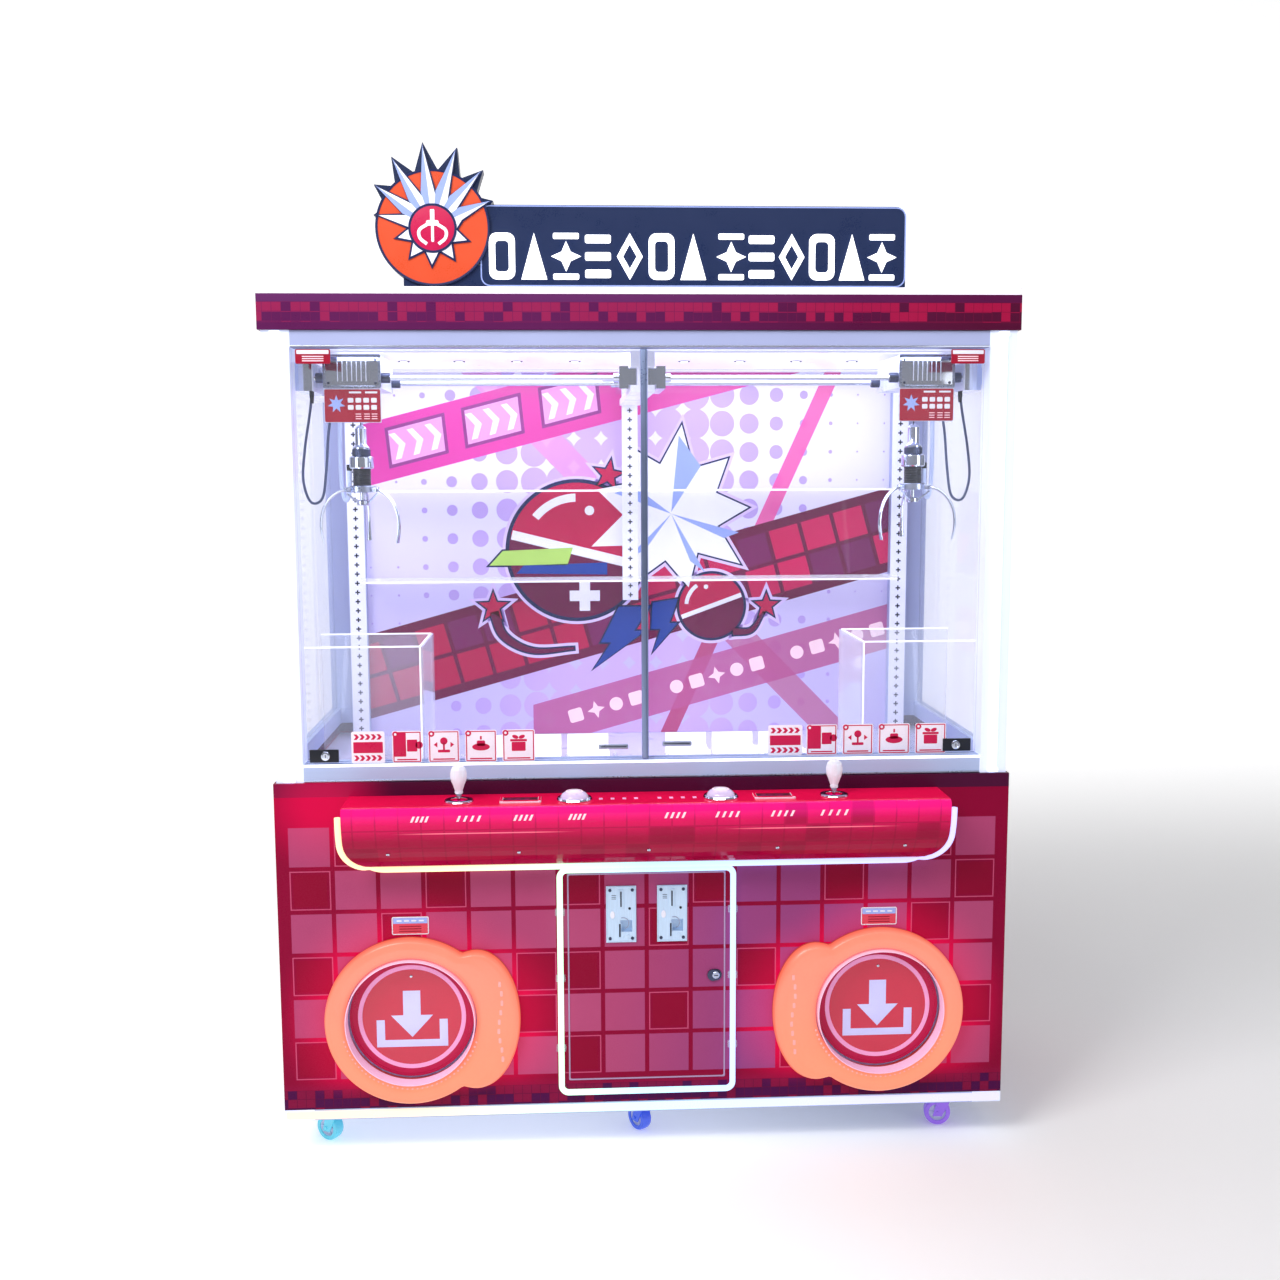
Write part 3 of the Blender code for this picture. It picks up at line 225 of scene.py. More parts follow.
def cross(a, b, arm, half):
    """A plus sign, from its arm's length and half its width."""
    quarter = np.array([(arm, -half), (arm, half), (half, half)])
    turns = [np.array([[0, 1], [-1, 0]]), np.array([[-1, 0], [0, -1]]), np.array([[0, -1], [1, 0]])]
    return np.vstack([quarter] + [quarter @ t for t in turns]) + (a, b)


def star(a, b, long, short, points, start=90.0, wobble=0.0):
    """Rays of alternating radius round a centre; wobble makes every third ray longer."""
    number = np.arange(2 * points)
    angle = np.radians(start + 180.0 * number / points)
    radius = np.where(number % 2, short, long * (1.0 + wobble * (number % 3 == 0)))
    return np.stack([a + radius * np.cos(angle), b + radius * np.sin(angle)], 1)


def turned(profile, segments, centre, axis="Z", closed=False):
    """A profile of (radius, height) turned about an axis: radius times the cosine and sine of the angle, and the
    height along the axis. An end on the axis closes in a pole, and any other end in a flat fan."""
    profile = np.asarray(profile, float)
    angle = np.linspace(0.0, 2.0 * math.pi, segments, endpoint=False)
    heights = (profile[0, 1], profile[-1, 1])
    if not closed:
        profile = profile[profile[:, 0] > 1e-7]
    radius, height = profile[:, :1], np.broadcast_to(profile[:, 1:], (len(profile), segments))
    order = {"Z": (0, 1, 2), "Y": (0, 2, 1), "X": (2, 0, 1)}[axis]
    parts = (radius * np.cos(angle), radius * np.sin(angle), height)
    rings = np.stack([parts[k] for k in order], -1) + np.asarray(centre, float)
    spot = [np.zeros(3), np.zeros(3)]
    for pole, h in zip(spot, heights):
        pole["XYZ".index(axis)] = h
    return skin(rings, closed=closed, poles=[pole + np.asarray(centre, float) for pole in spot])


def sweep(path, section, reference=(0.0, 1.0, 0.0), closed=False):
    """A section carried along a path. Sideways is the path's direction crossed with the reference, and upwards is
    square to both, so each ring is the point plus the section's two numbers along these."""
    path, section = np.asarray(path, float), np.asarray(section, float)
    ahead = np.roll(path, -1, 0) - np.roll(path, 1, 0) if closed else np.gradient(path, axis=0)
    ahead = unit(ahead)
    side = unit(np.cross(ahead, np.asarray(reference, float)))
    up = np.cross(side, ahead)
    section = np.broadcast_to(section, (len(path),) + section.shape[-2:])
    rings = path[:, None] + side[:, None] * section[..., :1] + up[:, None] * section[..., 1:]
    return skin(rings, closed=closed)


def smooth_route(points, count):
    """Even points along a Catmull-Rom curve. A span from b to c is half of 2b + (c-a)t + (2a-5b+4c-d)t² +
    (3b-a-3c+d)t³, and the points are spaced by the curve's summed length."""
    p = np.asarray(points, float)
    p = np.vstack([2 * p[0] - p[1], p, 2 * p[-1] - p[-2]])
    t = np.linspace(0.0, 1.0, 40, endpoint=False)[None, :, None]
    a, b, c, d = (p[k:len(p) - 3 + k, None, :] for k in range(4))
    curve = 0.5 * (2 * b + (c - a) * t + (2 * a - 5 * b + 4 * c - d) * t**2 + (3 * b - a - 3 * c + d) * t**3)
    dense = np.vstack([curve.reshape(-1, p.shape[1]), p[-2]])
    gone = np.concatenate([[0.0], np.cumsum(np.linalg.norm(np.diff(dense, axis=0), axis=1))])
    at = np.linspace(0.0, gone[-1], count)
    return np.stack([np.interp(at, gone, dense[:, k]) for k in range(p.shape[1])], 1)


def merged(*shapes):
    """Several shapes as one."""
    points, faces, count = [], [], 0
    for shape_points, shape_faces in shapes:
        points.append(shape_points)
        faces += [group + count for group in shape_faces]
        count += len(shape_points)
    return np.vstack(points), faces


def repeated(shape, offsets):
    """The same shape at several offsets."""
    points, faces = shape
    offsets = np.asarray(offsets, float)
    start = np.arange(len(offsets)) * len(points)
    copies = (points[None] + offsets[:, None]).reshape(-1, 3)
    return copies, [(group[None] + start[:, None, None]).reshape(-1, group.shape[1]) for group in faces]


def rotated(shape, degrees, axis, centre):
    """A shape turned about a line through centre."""
    turn = np.array(Matrix.Rotation(math.radians(degrees), 3, axis))
    centre = np.asarray(centre, float)
    return (shape[0] - centre) @ turn.T + centre, shape[1]


def screw(a, depth, b, radius, towards=-1.0, plane="XZ"):
    """A pan-head screw on a flat face: a shallow dome with a cross recess cut as a dip in its middle rings."""
    profile = [(radius, 0.0), (radius, 0.35 * radius), (0.82 * radius, 0.62 * radius), (0.45 * radius, 0.72 * radius),
        (0.4 * radius, 0.45 * radius), (0.0, 0.4 * radius)]
    axis = {"XZ": "Y", "XY": "Z", "YZ": "X"}[plane]
    profile = [(r, h * towards) for r, h in profile]
    centre = {"XZ": (a, depth, b), "XY": (a, b, depth), "YZ": (depth, a, b)}[plane]
    return turned(profile, 12, centre, axis)


def make_mesh(name, parts, sharp):
    """One mesh from pairs of a shape, or a list of shapes, and a material or its name. It is shaded smooth except
    where faces meet at more than the sharp angle."""
    mesh = bpy.data.meshes.new(name)
    points, faces, indices, count, materials = [], [], [], 0, []
    for shape, material in parts:
        shape = merged(*shape) if isinstance(shape, list) else shape
        material = FINISHES[material] if isinstance(material, str) else material
        if material not in materials:
            materials.append(material)
        points.append(shape[0])
        for group in shape[1]:
            faces += (group + count).tolist()
            indices += [materials.index(material)] * len(group)
        count += len(shape[0])
    mesh.from_pydata(np.vstack(points), [], faces)
    for material in materials:
        mesh.materials.append(material)
    mesh.polygons.foreach_set("material_index", indices)
    mesh.polygons.foreach_set("use_smooth", np.ones(len(faces), bool))
    mesh.set_sharp_from_angle(angle=math.radians(sharp))
    mesh.update()
    thing = bpy.data.objects.new(name, mesh)
    bpy.context.scene.collection.objects.link(thing)
    return thing


def piece(name, body, slot, *parts, sharp=32.0, instead_of=()):
    """A finished piece that moves with a body and takes its finish from a slot."""
    thing = make_mesh(name, parts, sharp)
    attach(thing, body)
    if instead_of:
        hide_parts(*instead_of)
    return thing


# ---------------------------------------------------------------- shader groups and finishes
def hue(code):
    """Linear colour of a six-figure screen colour: below 0.04045 it is divided by 12.92, and above it is raised to
    the power of 2.4 after an offset of 0.055."""
    parts = [int(code[k:k + 2], 16) / 255.0 for k in (0, 2, 4)]
    return tuple(v / 12.92 if v <= 0.04045 else ((v + 0.055) / 1.055) ** 2.4 for v in parts)


def add(tree, kind, inputs=None, **settings):
    """A node with its settings, whose inputs are joined to sockets or set to values."""
    node = tree.nodes.new(kind)
    for key, value in settings.items():
        setattr(node, key, value)
    for key, value in (inputs or {}).items():
        feed(tree, node.inputs[key], value)
    return node


def feed(tree, socket, value):
    if isinstance(value, bpy.types.NodeSocket):
        tree.links.new(value, socket)
    else:
        socket.default_value = value


def calc(tree, operation, a, b=0.0, c=0.0, clamp=False):
    """The result of a Math node."""
    return add(tree, "ShaderNodeMath", {0: a, 1: b, 2: c}, operation=operation, use_clamp=clamp).outputs[0]


def blend_colour(tree, factor, a, b, mode="MIX"):
    """The result of a colour Mix node."""
    a = (*a, 1.0) if isinstance(a, tuple) and len(a) == 3 else a
    b = (*b, 1.0) if isinstance(b, tuple) and len(b) == 3 else b
    node = add(tree, "ShaderNodeMix", {0: factor, 6: a, 7: b}, data_type="RGBA", blend_type=mode)
    return node.outputs[2]


def colour_ramp(tree, factor, stops, interpolation="LINEAR"):
    """The colour of a ramp with (place, colour) stops."""
    node = add(tree, "ShaderNodeValToRGB", {"Fac": factor})
    node.color_ramp.interpolation = interpolation
    while len(node.color_ramp.elements) < len(stops):
        node.color_ramp.elements.new(0.5)
    for element, (place, colour) in zip(node.color_ramp.elements, stops):
        element.position = place
        element.color = (*colour, 1.0)
    return node.outputs["Color"]


def shader_group(name, inputs, outputs):
    """An empty node group with its sockets: name to default value in, name to socket kind out."""
    tree = bpy.data.node_groups.new(name, "ShaderNodeTree")
    for key, value in inputs.items():
        kind = "NodeSocketVector" if isinstance(value, tuple) else "NodeSocketFloat"
        socket = tree.interface.new_socket(name=key, in_out="INPUT", socket_type=kind)
        socket.default_value = value
    for key, kind in outputs.items():
        tree.interface.new_socket(name=key, in_out="OUTPUT", socket_type=kind)
    source = tree.nodes.new("NodeGroupInput")
    sink = tree.nodes.new("NodeGroupOutput")
    return tree, source.outputs, sink.inputs


def make_grain_group():
    """Fine grain and broad patches: a roughness between two limits, a shade near one, and a height."""
    tree, given, out = shader_group("surface_grain", {"Vector": (0.0, 0.0, 0.0), "Scale": 300.0, "Patch": 7.0,
        "Low": 0.2, "High": 0.35, "Tone": 0.05}, {"Roughness": "NodeSocketFloat", "Shade": "NodeSocketFloat",
        "Height": "NodeSocketFloat"})
    fine = add(tree, "ShaderNodeTexNoise", {"Vector": given["Vector"], "Scale": given["Scale"], "Detail": 2.0})
    broad = add(tree, "ShaderNodeTexNoise", {"Vector": given["Vector"], "Scale": given["Patch"], "Detail": 4.0})
    both = calc(tree, "MULTIPLY_ADD", fine.outputs["Fac"], 0.35, calc(tree, "MULTIPLY", broad.outputs["Fac"], 0.65))
    spread = add(tree, "ShaderNodeMapRange", {"Value": both, "From Min": 0.35, "From Max": 0.65,
        "To Min": given["Low"], "To Max": given["High"]})
    feed(tree, out["Roughness"], spread.outputs["Result"])
    offset = calc(tree, "SUBTRACT", both, 0.5)
    feed(tree, out["Shade"], calc(tree, "MULTIPLY_ADD", offset, calc(tree, "MULTIPLY", given["Tone"], 4.0), 1.0))
    feed(tree, out["Height"], fine.outputs["Fac"])
    return tree


def make_grid_group():
    """Squares in X and Z of pitch one: a mask of each square's face, its rim, its own random number and its place."""
    tree, given, out = shader_group("square_grid", {"Vector": (0.0, 0.0, 0.0), "Half": 0.45, "Rim": 0.03},
        {"Tile": "NodeSocketFloat", "Rim": "NodeSocketFloat", "Random": "NodeSocketFloat",
        "Cell": "NodeSocketVector"})
    split = add(tree, "ShaderNodeSeparateXYZ", {0: given["Vector"]})
    flat = add(tree, "ShaderNodeCombineXYZ", {"X": split.outputs["X"], "Z": split.outputs["Z"]}).outputs[0]
    cell = add(tree, "ShaderNodeVectorMath", {0: flat}, operation="FLOOR").outputs[0]
    local = add(tree, "ShaderNodeVectorMath", {0: flat, 1: cell}, operation="SUBTRACT").outputs[0]
    parts = add(tree, "ShaderNodeSeparateXYZ", {0: local})
    away = [calc(tree, "ABSOLUTE", calc(tree, "SUBTRACT", parts.outputs[k], 0.5)) for k in ("X", "Z")]
    far = calc(tree, "MAXIMUM", *away)
    tile = calc(tree, "LESS_THAN", far, given["Half"])
    inner = calc(tree, "LESS_THAN", far, calc(tree, "SUBTRACT", given["Half"], given["Rim"]))
    feed(tree, out["Tile"], tile)
    feed(tree, out["Rim"], calc(tree, "SUBTRACT", tile, inner))
    feed(tree, out["Random"], add(tree, "ShaderNodeTexWhiteNoise", {"Vector": cell}).outputs["Value"])
    feed(tree, out["Cell"], cell)
    return tree


def make_wash_group():
    """The colour of the light tube along X: cream at the left, then cyan, white and violet at the right."""
    tree, given, out = shader_group("light_wash", {"X": 0.0}, {"Color": "NodeSocketColor"})
    place = calc(tree, "MULTIPLY_ADD", given["X"], 0.62, 0.5, clamp=True)
    stops = [(0.08, (1.0, 0.5, 0.2)), (0.24, (1.0, 0.82, 0.34)), (0.38, (0.5, 1.0, 0.62)), (0.5, (0.3, 0.8, 1.0)),
        (0.64, (0.33, 0.5, 1.0)), (0.93, (0.37, 0.33, 1.0))]
    feed(tree, out["Color"], colour_ramp(tree, place, stops))
    return tree


def make_scratch_group():
    """Long fine lines left by brushing: noise drawn out along X, as a shade and a height."""
    tree, given, out = shader_group("brushed_lines", {"Vector": (0.0, 0.0, 0.0), "Scale": 40.0, "Stretch": (1.0, 30.0,
        30.0)}, {"Shade": "NodeSocketFloat", "Height": "NodeSocketFloat"})
    drawn = add(tree, "ShaderNodeVectorMath", {0: given["Vector"], 1: given["Stretch"]}, operation="MULTIPLY")
    lines = add(tree, "ShaderNodeTexNoise", {"Vector": drawn.outputs[0], "Scale": given["Scale"], "Detail": 3.0})
    feed(tree, out["Height"], lines.outputs["Fac"])
    feed(tree, out["Shade"], calc(tree, "MULTIPLY_ADD", calc(tree, "SUBTRACT", lines.outputs["Fac"], 0.5), 0.5, 1.0))
    return tree


def make_band_group():
    """One slanting band in X and Z: inside where the distance along the band's normal is within half its width."""
    tree, given, out = shader_group("slanting_band", {"Vector": (0.0, 0.0, 0.0), "Normal": (0.0, 0.0, 1.0),
        "Middle": 0.0, "Half": 0.1}, {"Mask": "NodeSocketFloat", "Along": "NodeSocketFloat",
        "Across": "NodeSocketFloat"})
    split = add(tree, "ShaderNodeSeparateXYZ", {0: given["Vector"]})
    flat = add(tree, "ShaderNodeCombineXYZ", {"X": split.outputs["X"], "Z": split.outputs["Z"]}).outputs[0]
    dot = add(tree, "ShaderNodeVectorMath", {0: flat, 1: given["Normal"]}, operation="DOT_PRODUCT").outputs["Value"]
    side = add(tree, "ShaderNodeVectorMath", {0: given["Normal"], 1: (0.0, 1.0, 0.0)}, operation="CROSS_PRODUCT")
    along = add(tree, "ShaderNodeVectorMath", {0: flat, 1: side.outputs[0]}, operation="DOT_PRODUCT").outputs["Value"]
    across = calc(tree, "SUBTRACT", dot, given["Middle"])
    feed(tree, out["Mask"], calc(tree, "LESS_THAN", calc(tree, "ABSOLUTE", across), given["Half"]))
    feed(tree, out["Across"], across)
    feed(tree, out["Along"], along)
    return tree


class Finish:
    """A material whose Principled shader is fed by the grain group and whatever pattern is added to it."""

    def __init__(self, name, colour, low, high, tone=0.04, scale=300.0, patch=7.0, bump=0.03, constants=None):
        self.material = bpy.data.materials.new(name)
        self.material.use_nodes = True
        self.tree = self.material.node_tree
        self.shader = self.tree.nodes["Principled BSDF"]
        for key, value in (constants or {}).items():
            self.shader.inputs[key].default_value = value
        self.point = add(self.tree, "ShaderNodeTexCoord").outputs["Object"]
        split = add(self.tree, "ShaderNodeSeparateXYZ", {0: self.point})
        self.x, self.y, self.z = (split.outputs[k] for k in "XYZ")
        self.grain = self.group("surface_grain", {"Vector": self.point, "Scale": scale, "Patch": patch, "Low": low,
            "High": high, "Tone": tone})
        self.feed("Roughness", self.grain["Roughness"])
        if bump:
            self.bump(self.grain["Height"], bump, 0.0004)
        self.paint(colour)

    def group(self, name, inputs):
        node = add(self.tree, "ShaderNodeGroup", None, node_tree=bpy.data.node_groups[name])
        for key, value in inputs.items():
            feed(self.tree, node.inputs[key], value)
        return node.outputs

    def feed(self, socket, value):
        feed(self.tree, self.shader.inputs[socket], value)

    def calc(self, *arguments, **settings):
        return calc(self.tree, *arguments, **settings)

    def mix(self, *arguments, **settings):
        return blend_colour(self.tree, *arguments, **settings)

    def within(self, value, low, high):
        """One where a value lies between two limits."""
        return self.calc("MULTIPLY", self.calc("GREATER_THAN", value, low), self.calc("LESS_THAN", value, high))

    def near(self, value, start, end):
        """Falls smoothly from one at start to zero at end."""
        node = add(self.tree, "ShaderNodeMapRange", {"Value": value, "From Min": start, "From Max": end,
            "To Min": 1.0, "To Max": 0.0}, interpolation_type="SMOOTHSTEP")
        return node.outputs["Result"]

    def distance(self, vector, place):
        node = add(self.tree, "ShaderNodeVectorMath", {0: vector, 1: place}, operation="DISTANCE")
        return node.outputs["Value"]

    def paint(self, colour):
        """The base colour, shaded by the grain."""
        shade = add(self.tree, "ShaderNodeCombineXYZ", {k: self.grain["Shade"] for k in "XYZ"}).outputs[0]
        self.feed("Base Color", self.mix(1.0, colour, shade, mode="MULTIPLY"))

    def bump(self, height, strength, distance):
        node = add(self.tree, "ShaderNodeBump", {"Height": height, "Strength": strength, "Distance": distance})
        self.feed("Normal", node.outputs["Normal"])

    def glow(self, colour, strength):
        """Light given off, with a colour that may vary and one strength for the whole surface."""
        shade = add(self.tree, "ShaderNodeCombineXYZ", {k: self.grain["Shade"] for k in "XYZ"}).outputs[0]
        self.feed("Emission Color", self.mix(1.0, colour, shade, mode="MULTIPLY"))
        self.shader.inputs["Emission Strength"].default_value = strength


FINISHES = {}


def keep(name, made):
    FINISHES[name] = made.material
    return made


def clear_sheet(name, tint, low_alpha, high_alpha, glow=0.0):
    """Clear sheet seen mostly through: more of it shows at a glancing angle and where it is smudged."""
    made = Finish(name, tint, 0.02, 0.07, 0.02, 60.0, 3.0, 0.01, {"IOR": 1.49, "Specular IOR Level": 0.6})
    facing = add(made.tree, "ShaderNodeLayerWeight", {"Blend": 0.35}).outputs["Facing"]
    smudge = made.calc("MULTIPLY", made.calc("SUBTRACT", made.grain["Shade"], 0.98), 0.25)
    alpha = made.calc("MULTIPLY_ADD", facing, high_alpha - low_alpha, low_alpha)
    made.feed("Alpha", made.calc("ADD", alpha, smudge, clamp=True))
    # Painted light: the sheet glows faintly in its tint, strongest on the acrylic edges.
    if glow:
        made.glow(tint, glow)
    return keep(name, made)


def printed_panel(name, settings, across):
    """Printed squares in two reds between a crimson margin, a dark top strip and a band of small checks."""
    made = Finish(name, settings.panel_red[:], 0.24, 0.36, 0.05, 420.0, 5.0, 0.02, {"Coat Weight": 0.02,
        "Coat Roughness": 0.12, "Specular IOR Level": 0.07})
    sideways = made.x if across == "X" else made.y
    place = add(made.tree, "ShaderNodeCombineXYZ", {"X": made.calc("DIVIDE", sideways, TILE_PITCH_X),
        "Z": made.calc("DIVIDE", made.calc("SUBTRACT", made.z, TILE_START_Z), TILE_PITCH_Z)}).outputs[0]
    grid = made.group("square_grid", {"Vector": place, "Half": 0.451, "Rim": 0.026})
    inner = made.group("square_grid", {"Vector": place, "Half": 0.372, "Rim": 0.03})["Tile"]
    dark = made.calc("GREATER_THAN", grid["Random"], 0.9)
    if across == "X":
        marks = [(-2, 4), (1, 4), (0, 3), (-2, 2), (0, 1), (-2, 0), (-8, 4), (-5, 4), (-6, 3), (-8, 2), (-8, 0), (-3,
            1), (-3, 2), (2, 2), (4, 4), (7, 4), (6, 3), (3, 0), (-4, 5), (3, 5), (-7, 5), (6, 5), (7, 1)]
        nearest = 9.0
        for column, row in marks:
            nearest = made.calc("MINIMUM", nearest, made.distance(grid["Cell"], (column, 0.0, row)))
        dark = made.calc("LESS_THAN", nearest, 0.5)
    half = TILE_PITCH_X * 8 if across == "X" else 0.388
    area = made.calc("MULTIPLY", made.within(sideways, -half, half), made.within(made.z, TILE_START_Z, 0.753))
    tile = made.calc("MULTIPLY", grid["Tile"], area)
    # Painted light: the squares right of the middle turn violet, the tube's violet light painted into their colour.
    cool = made.near(made.calc("ABSOLUTE", made.calc("SUBTRACT", made.x, 0.3)), 0.05, 0.42)
    face = made.mix(cool, settings.tile_rose[:], hue("8E4480"))
    face = made.mix(made.calc("MULTIPLY", grid["Random"], 0.5), face, hue("A03A66"))
    face = made.mix(dark, face, settings.panel_red[:])
    face = made.mix(made.calc("MULTIPLY", dark, grid["Rim"]), face, hue("BE4C72"))
    face = made.mix(made.calc("MULTIPLY", dark, inner), face, settings.tile_dark[:])
    colour = made.mix(tile, settings.panel_red[:], face)
    check_place = add(made.tree, "ShaderNodeCombineXYZ", {"X": made.calc("DIVIDE", sideways, CHECK_PITCH),
        "Z": made.calc("DIVIDE", made.calc("SUBTRACT", made.z, 0.1165), CHECK_PITCH)}).outputs[0]
    checks = made.group("square_grid", {"Vector": check_place, "Half": 0.47, "Rim": 0.1})
    lower = made.calc("LESS_THAN", made.z, 0.1363)
    share = made.calc("MULTIPLY_ADD", lower, 0.45, 0.25)
    check_colour = made.mix(made.calc("LESS_THAN", checks["Random"], share), hue("7E0E3C"), hue("4A0A44"))
    check_colour = made.mix(checks["Tile"], hue("5E0A38"), check_colour)
    strip = made.within(made.z, 0.0, 0.1562)
    colour = made.mix(made.near(made.z, 0.158, 0.176), colour, hue("8A0A3A"))
    colour = made.mix(strip, colour, check_colour)
    colour = made.mix(made.calc("GREATER_THAN", made.z, 0.815), colour, hue("4A0F34"))
    made.paint(colour)
    # Painted light: the front panel glows red round the soft rings and in its upper left corner by the console,
    # standing in for the light the rings and the tube's red end throw on it.
    if across == "X":
        flat = add(made.tree, "ShaderNodeCombineXYZ", {"X": made.calc("ABSOLUTE", made.x), "Z": made.z}).outputs[0]
        rim = made.calc("SUBTRACT", made.distance(flat, (OUTLET_X, 0.0, OUTLET_Z)), 0.19)
        lobe = made.calc("SUBTRACT", made.distance(flat, (OUTLET_X - 0.138, 0.0, OUTLET_Z)), 0.122)
        gap = made.calc("MINIMUM", rim, lobe)
        halo = made.calc("MULTIPLY", made.near(gap, -0.03, 0.115), made.calc("SUBTRACT", 1.0, made.near(made.z, 0.13,
            0.2)))
        corner = made.near(made.distance(flat, (0.7, 0.0, 0.8)), 0.02, 0.17)
        corner = made.calc("MULTIPLY", corner, made.near(made.x, -0.2, 0.3))
        halo = made.calc("MAXIMUM", halo, made.calc("MULTIPLY", corner, 0.75))
        painted_red_glow = made.mix(halo, (0.0, 0.0, 0.0), (0.8, 0.0, 0.055))
        made.glow(made.mix(made.calc("MULTIPLY", tile, 0.55), painted_red_glow, (0.0, 0.0, 0.0)), settings.halo_strength)
    return keep(name, made)


def fascia_print(settings):
    """Canopy skin: dark and red checks in two rows on its band, white above as the light rim and below as ceiling."""
    made = Finish("canopy_print", settings.panel_red[:], 0.26, 0.4, 0.05, 400.0, 6.0, 0.02, {"Coat Weight": 0.03,
        "Coat Roughness": 0.15, "Specular IOR Level": 0.1})
    place = add(made.tree, "ShaderNodeCombineXYZ", {"X": made.calc("DIVIDE", made.calc("ADD", made.x, made.y),
        CHECK_PITCH), "Z": made.calc("DIVIDE", made.calc("SUBTRACT", made.z, 0.8 * CHECK_PITCH),
        CHECK_PITCH)}).outputs[0]
    checks = made.group("square_grid", {"Vector": place, "Half": 0.475, "Rim": 0.1})
    upper = made.calc("GREATER_THAN", made.z, 1.836)
    share = made.calc("MULTIPLY_ADD", upper, -0.5, 0.68)
    dark = made.calc("LESS_THAN", checks["Random"], share)
    right = made.near(made.x, 0.8, -0.2)
    deep = made.mix(right, hue("59194F"), hue("500A30"))
    bright = made.mix(right, hue("902050"), hue("A01040"))
    rows = made.calc("MULTIPLY", checks["Tile"], made.within(made.z, 1.8163, 1.856))
    colour = made.mix(rows, made.mix(0.25, deep, bright), made.mix(dark, bright, deep))
    colour = made.mix(made.calc("GREATER_THAN", made.z, 1.857), colour, made.mix(right, hue("60285E"), hue("561040")))
    colour = made.mix(made.calc("LESS_THAN", made.z, 1.815), colour, deep)
    colour = made.mix(made.calc("LESS_THAN", made.z, 1.8002), colour, hue("F0F2FF"))
    colour = made.mix(made.calc("GREATER_THAN", made.z, 1.8735), colour, hue("F4F0FA"))
    made.paint(colour)
    inside = made.calc("LESS_THAN", made.z, 1.79)
    made.glow(made.mix(inside, (0.0, 0.0, 0.0), (0.82, 0.84, 1.0)), 0.2)
    return keep("canopy_print", made)


def board_art(settings):
    """Printed backdrop: lilac halftone dots on white, slanting magenta, pink and crimson bands of squares."""
    made = Finish("board_art", hue("E8DCFA"), 0.3, 0.42, 0.03, 350.0, 4.0, 0.015, {"Coat Weight": 0.1,
        "Specular IOR Level": 0.3})
    flat = add(made.tree, "ShaderNodeCombineXYZ", {"X": made.x, "Z": made.z}).outputs[0]
    colour = made.mix(made.near(made.z, 1.6, 0.95), hue("CFC4F4"), hue("F2EEFF"))
    dots_at = add(made.tree, "ShaderNodeCombineXYZ", {"X": made.calc("DIVIDE", made.calc("ADD", made.x, 0.4305),
        0.0713), "Z": made.calc("DIVIDE", made.calc("SUBTRACT", made.z, 0.9995), 0.0742)}).outputs[0]
    cell = add(made.tree, "ShaderNodeVectorMath", {0: dots_at}, operation="FLOOR").outputs[0]
    local = add(made.tree, "ShaderNodeVectorMath", {0: dots_at, 1: cell}, operation="SUBTRACT").outputs[0]
    to_dot = made.distance(local, (0.5, 0.0, 0.5))
    reach = made.calc("ABSOLUTE", made.calc("SUBTRACT", made.x, -0.02))
    size = made.calc("MULTIPLY_ADD", made.near(reach, 0.12, 0.64), 0.52, 0.03)
    dots = made.calc("LESS_THAN", to_dot, size)
    colour = made.mix(dots, colour, made.mix(made.near(reach, 0.1, 0.5), hue("BDA4E8"), hue("D4B6F0")))

    def layer(colour, normal, middle, half, ink, strength=1.0, extra=None):
        found = made.group("slanting_band", {"Vector": flat, "Normal": (normal[0], 0.0, normal[1]), "Middle": middle,
            "Half": half})
        mask = made.calc("MULTIPLY", found["Mask"], strength)
        if extra is not None:
            mask = made.calc("MULTIPLY", mask, extra)
        return made.mix(mask, colour, ink), found

    colour, _ = layer(colour, (0.716, 0.698), 0.955, 0.036, hue("E69AD6"), 0.85, made.calc("GREATER_THAN", made.z,
        1.36))
    colour, _ = layer(colour, (0.716, 0.698), 0.955, 0.036, hue("C0608E"), 0.8, made.calc("LESS_THAN", made.z, 1.1))
    colour, _ = layer(colour, (0.91, -0.4147), -0.243, 0.02, hue("EE5CA6"), 0.95, made.calc("GREATER_THAN", made.z,
        1.34))
    colour, _ = layer(colour, (0.91, -0.4147), -0.243, 0.02, hue("B8306A"), 0.9, made.calc("LESS_THAN", made.z, 1.06))
    colour, _ = layer(colour, (-0.2653, 0.9642), 0.868, 0.058, hue("BE5490"), 0.88, made.calc("GREATER_THAN", made.x,
        -0.26))
    colour, found = layer(colour, (-0.2653, 0.9642), 1.118, 0.108, hue("6E0A42"))
    squares_at = add(made.tree, "ShaderNodeCombineXYZ", {"X": made.calc("DIVIDE", found["Along"], 0.0885),
        "Z": made.calc("DIVIDE", made.calc("ADD", found["Across"], 0.0885), 0.0885)}).outputs[0]
    squares = made.group("square_grid", {"Vector": squares_at, "Half": 0.44, "Rim": 0.05})
    inside = made.calc("MULTIPLY", squares["Tile"], made.calc("LESS_THAN", made.calc("ABSOLUTE", found["Across"]),
        0.0885))
    bright = made.mix(made.near(made.x, 0.75, -0.3), hue("B8104C"), hue("D81660"))
    square_ink = made.mix(made.calc("GREATER_THAN", squares["Random"], 0.62), bright, hue("7A1C5C"))
    colour = made.mix(inside, colour, square_ink)
    colour, found = layer(colour, (-0.2495, 0.9684), 1.6733, 0.0784, hue("E452A6"))
    colour = made.mix(made.calc("MULTIPLY", found["Mask"], made.near(found["Along"], 0.2, -0.7)), colour,
        hue("E23CA4"))
    made.paint(colour)
    # Painted light: the printed board gives off a faint glow in its own colour.
    made.glow(colour, settings.board_glow)
    return keep("board_art", made)


def ink(name, colour, glow=0.0, low=0.25, high=0.4):
    """A printed or moulded patch in one hue, with its grain."""
    made = Finish(name, colour, low, high, 0.06, 380.0, 18.0, 0.03, {"Specular IOR Level": 0.22})
    if glow:
        made.glow(colour, glow)
    return keep(name, made)


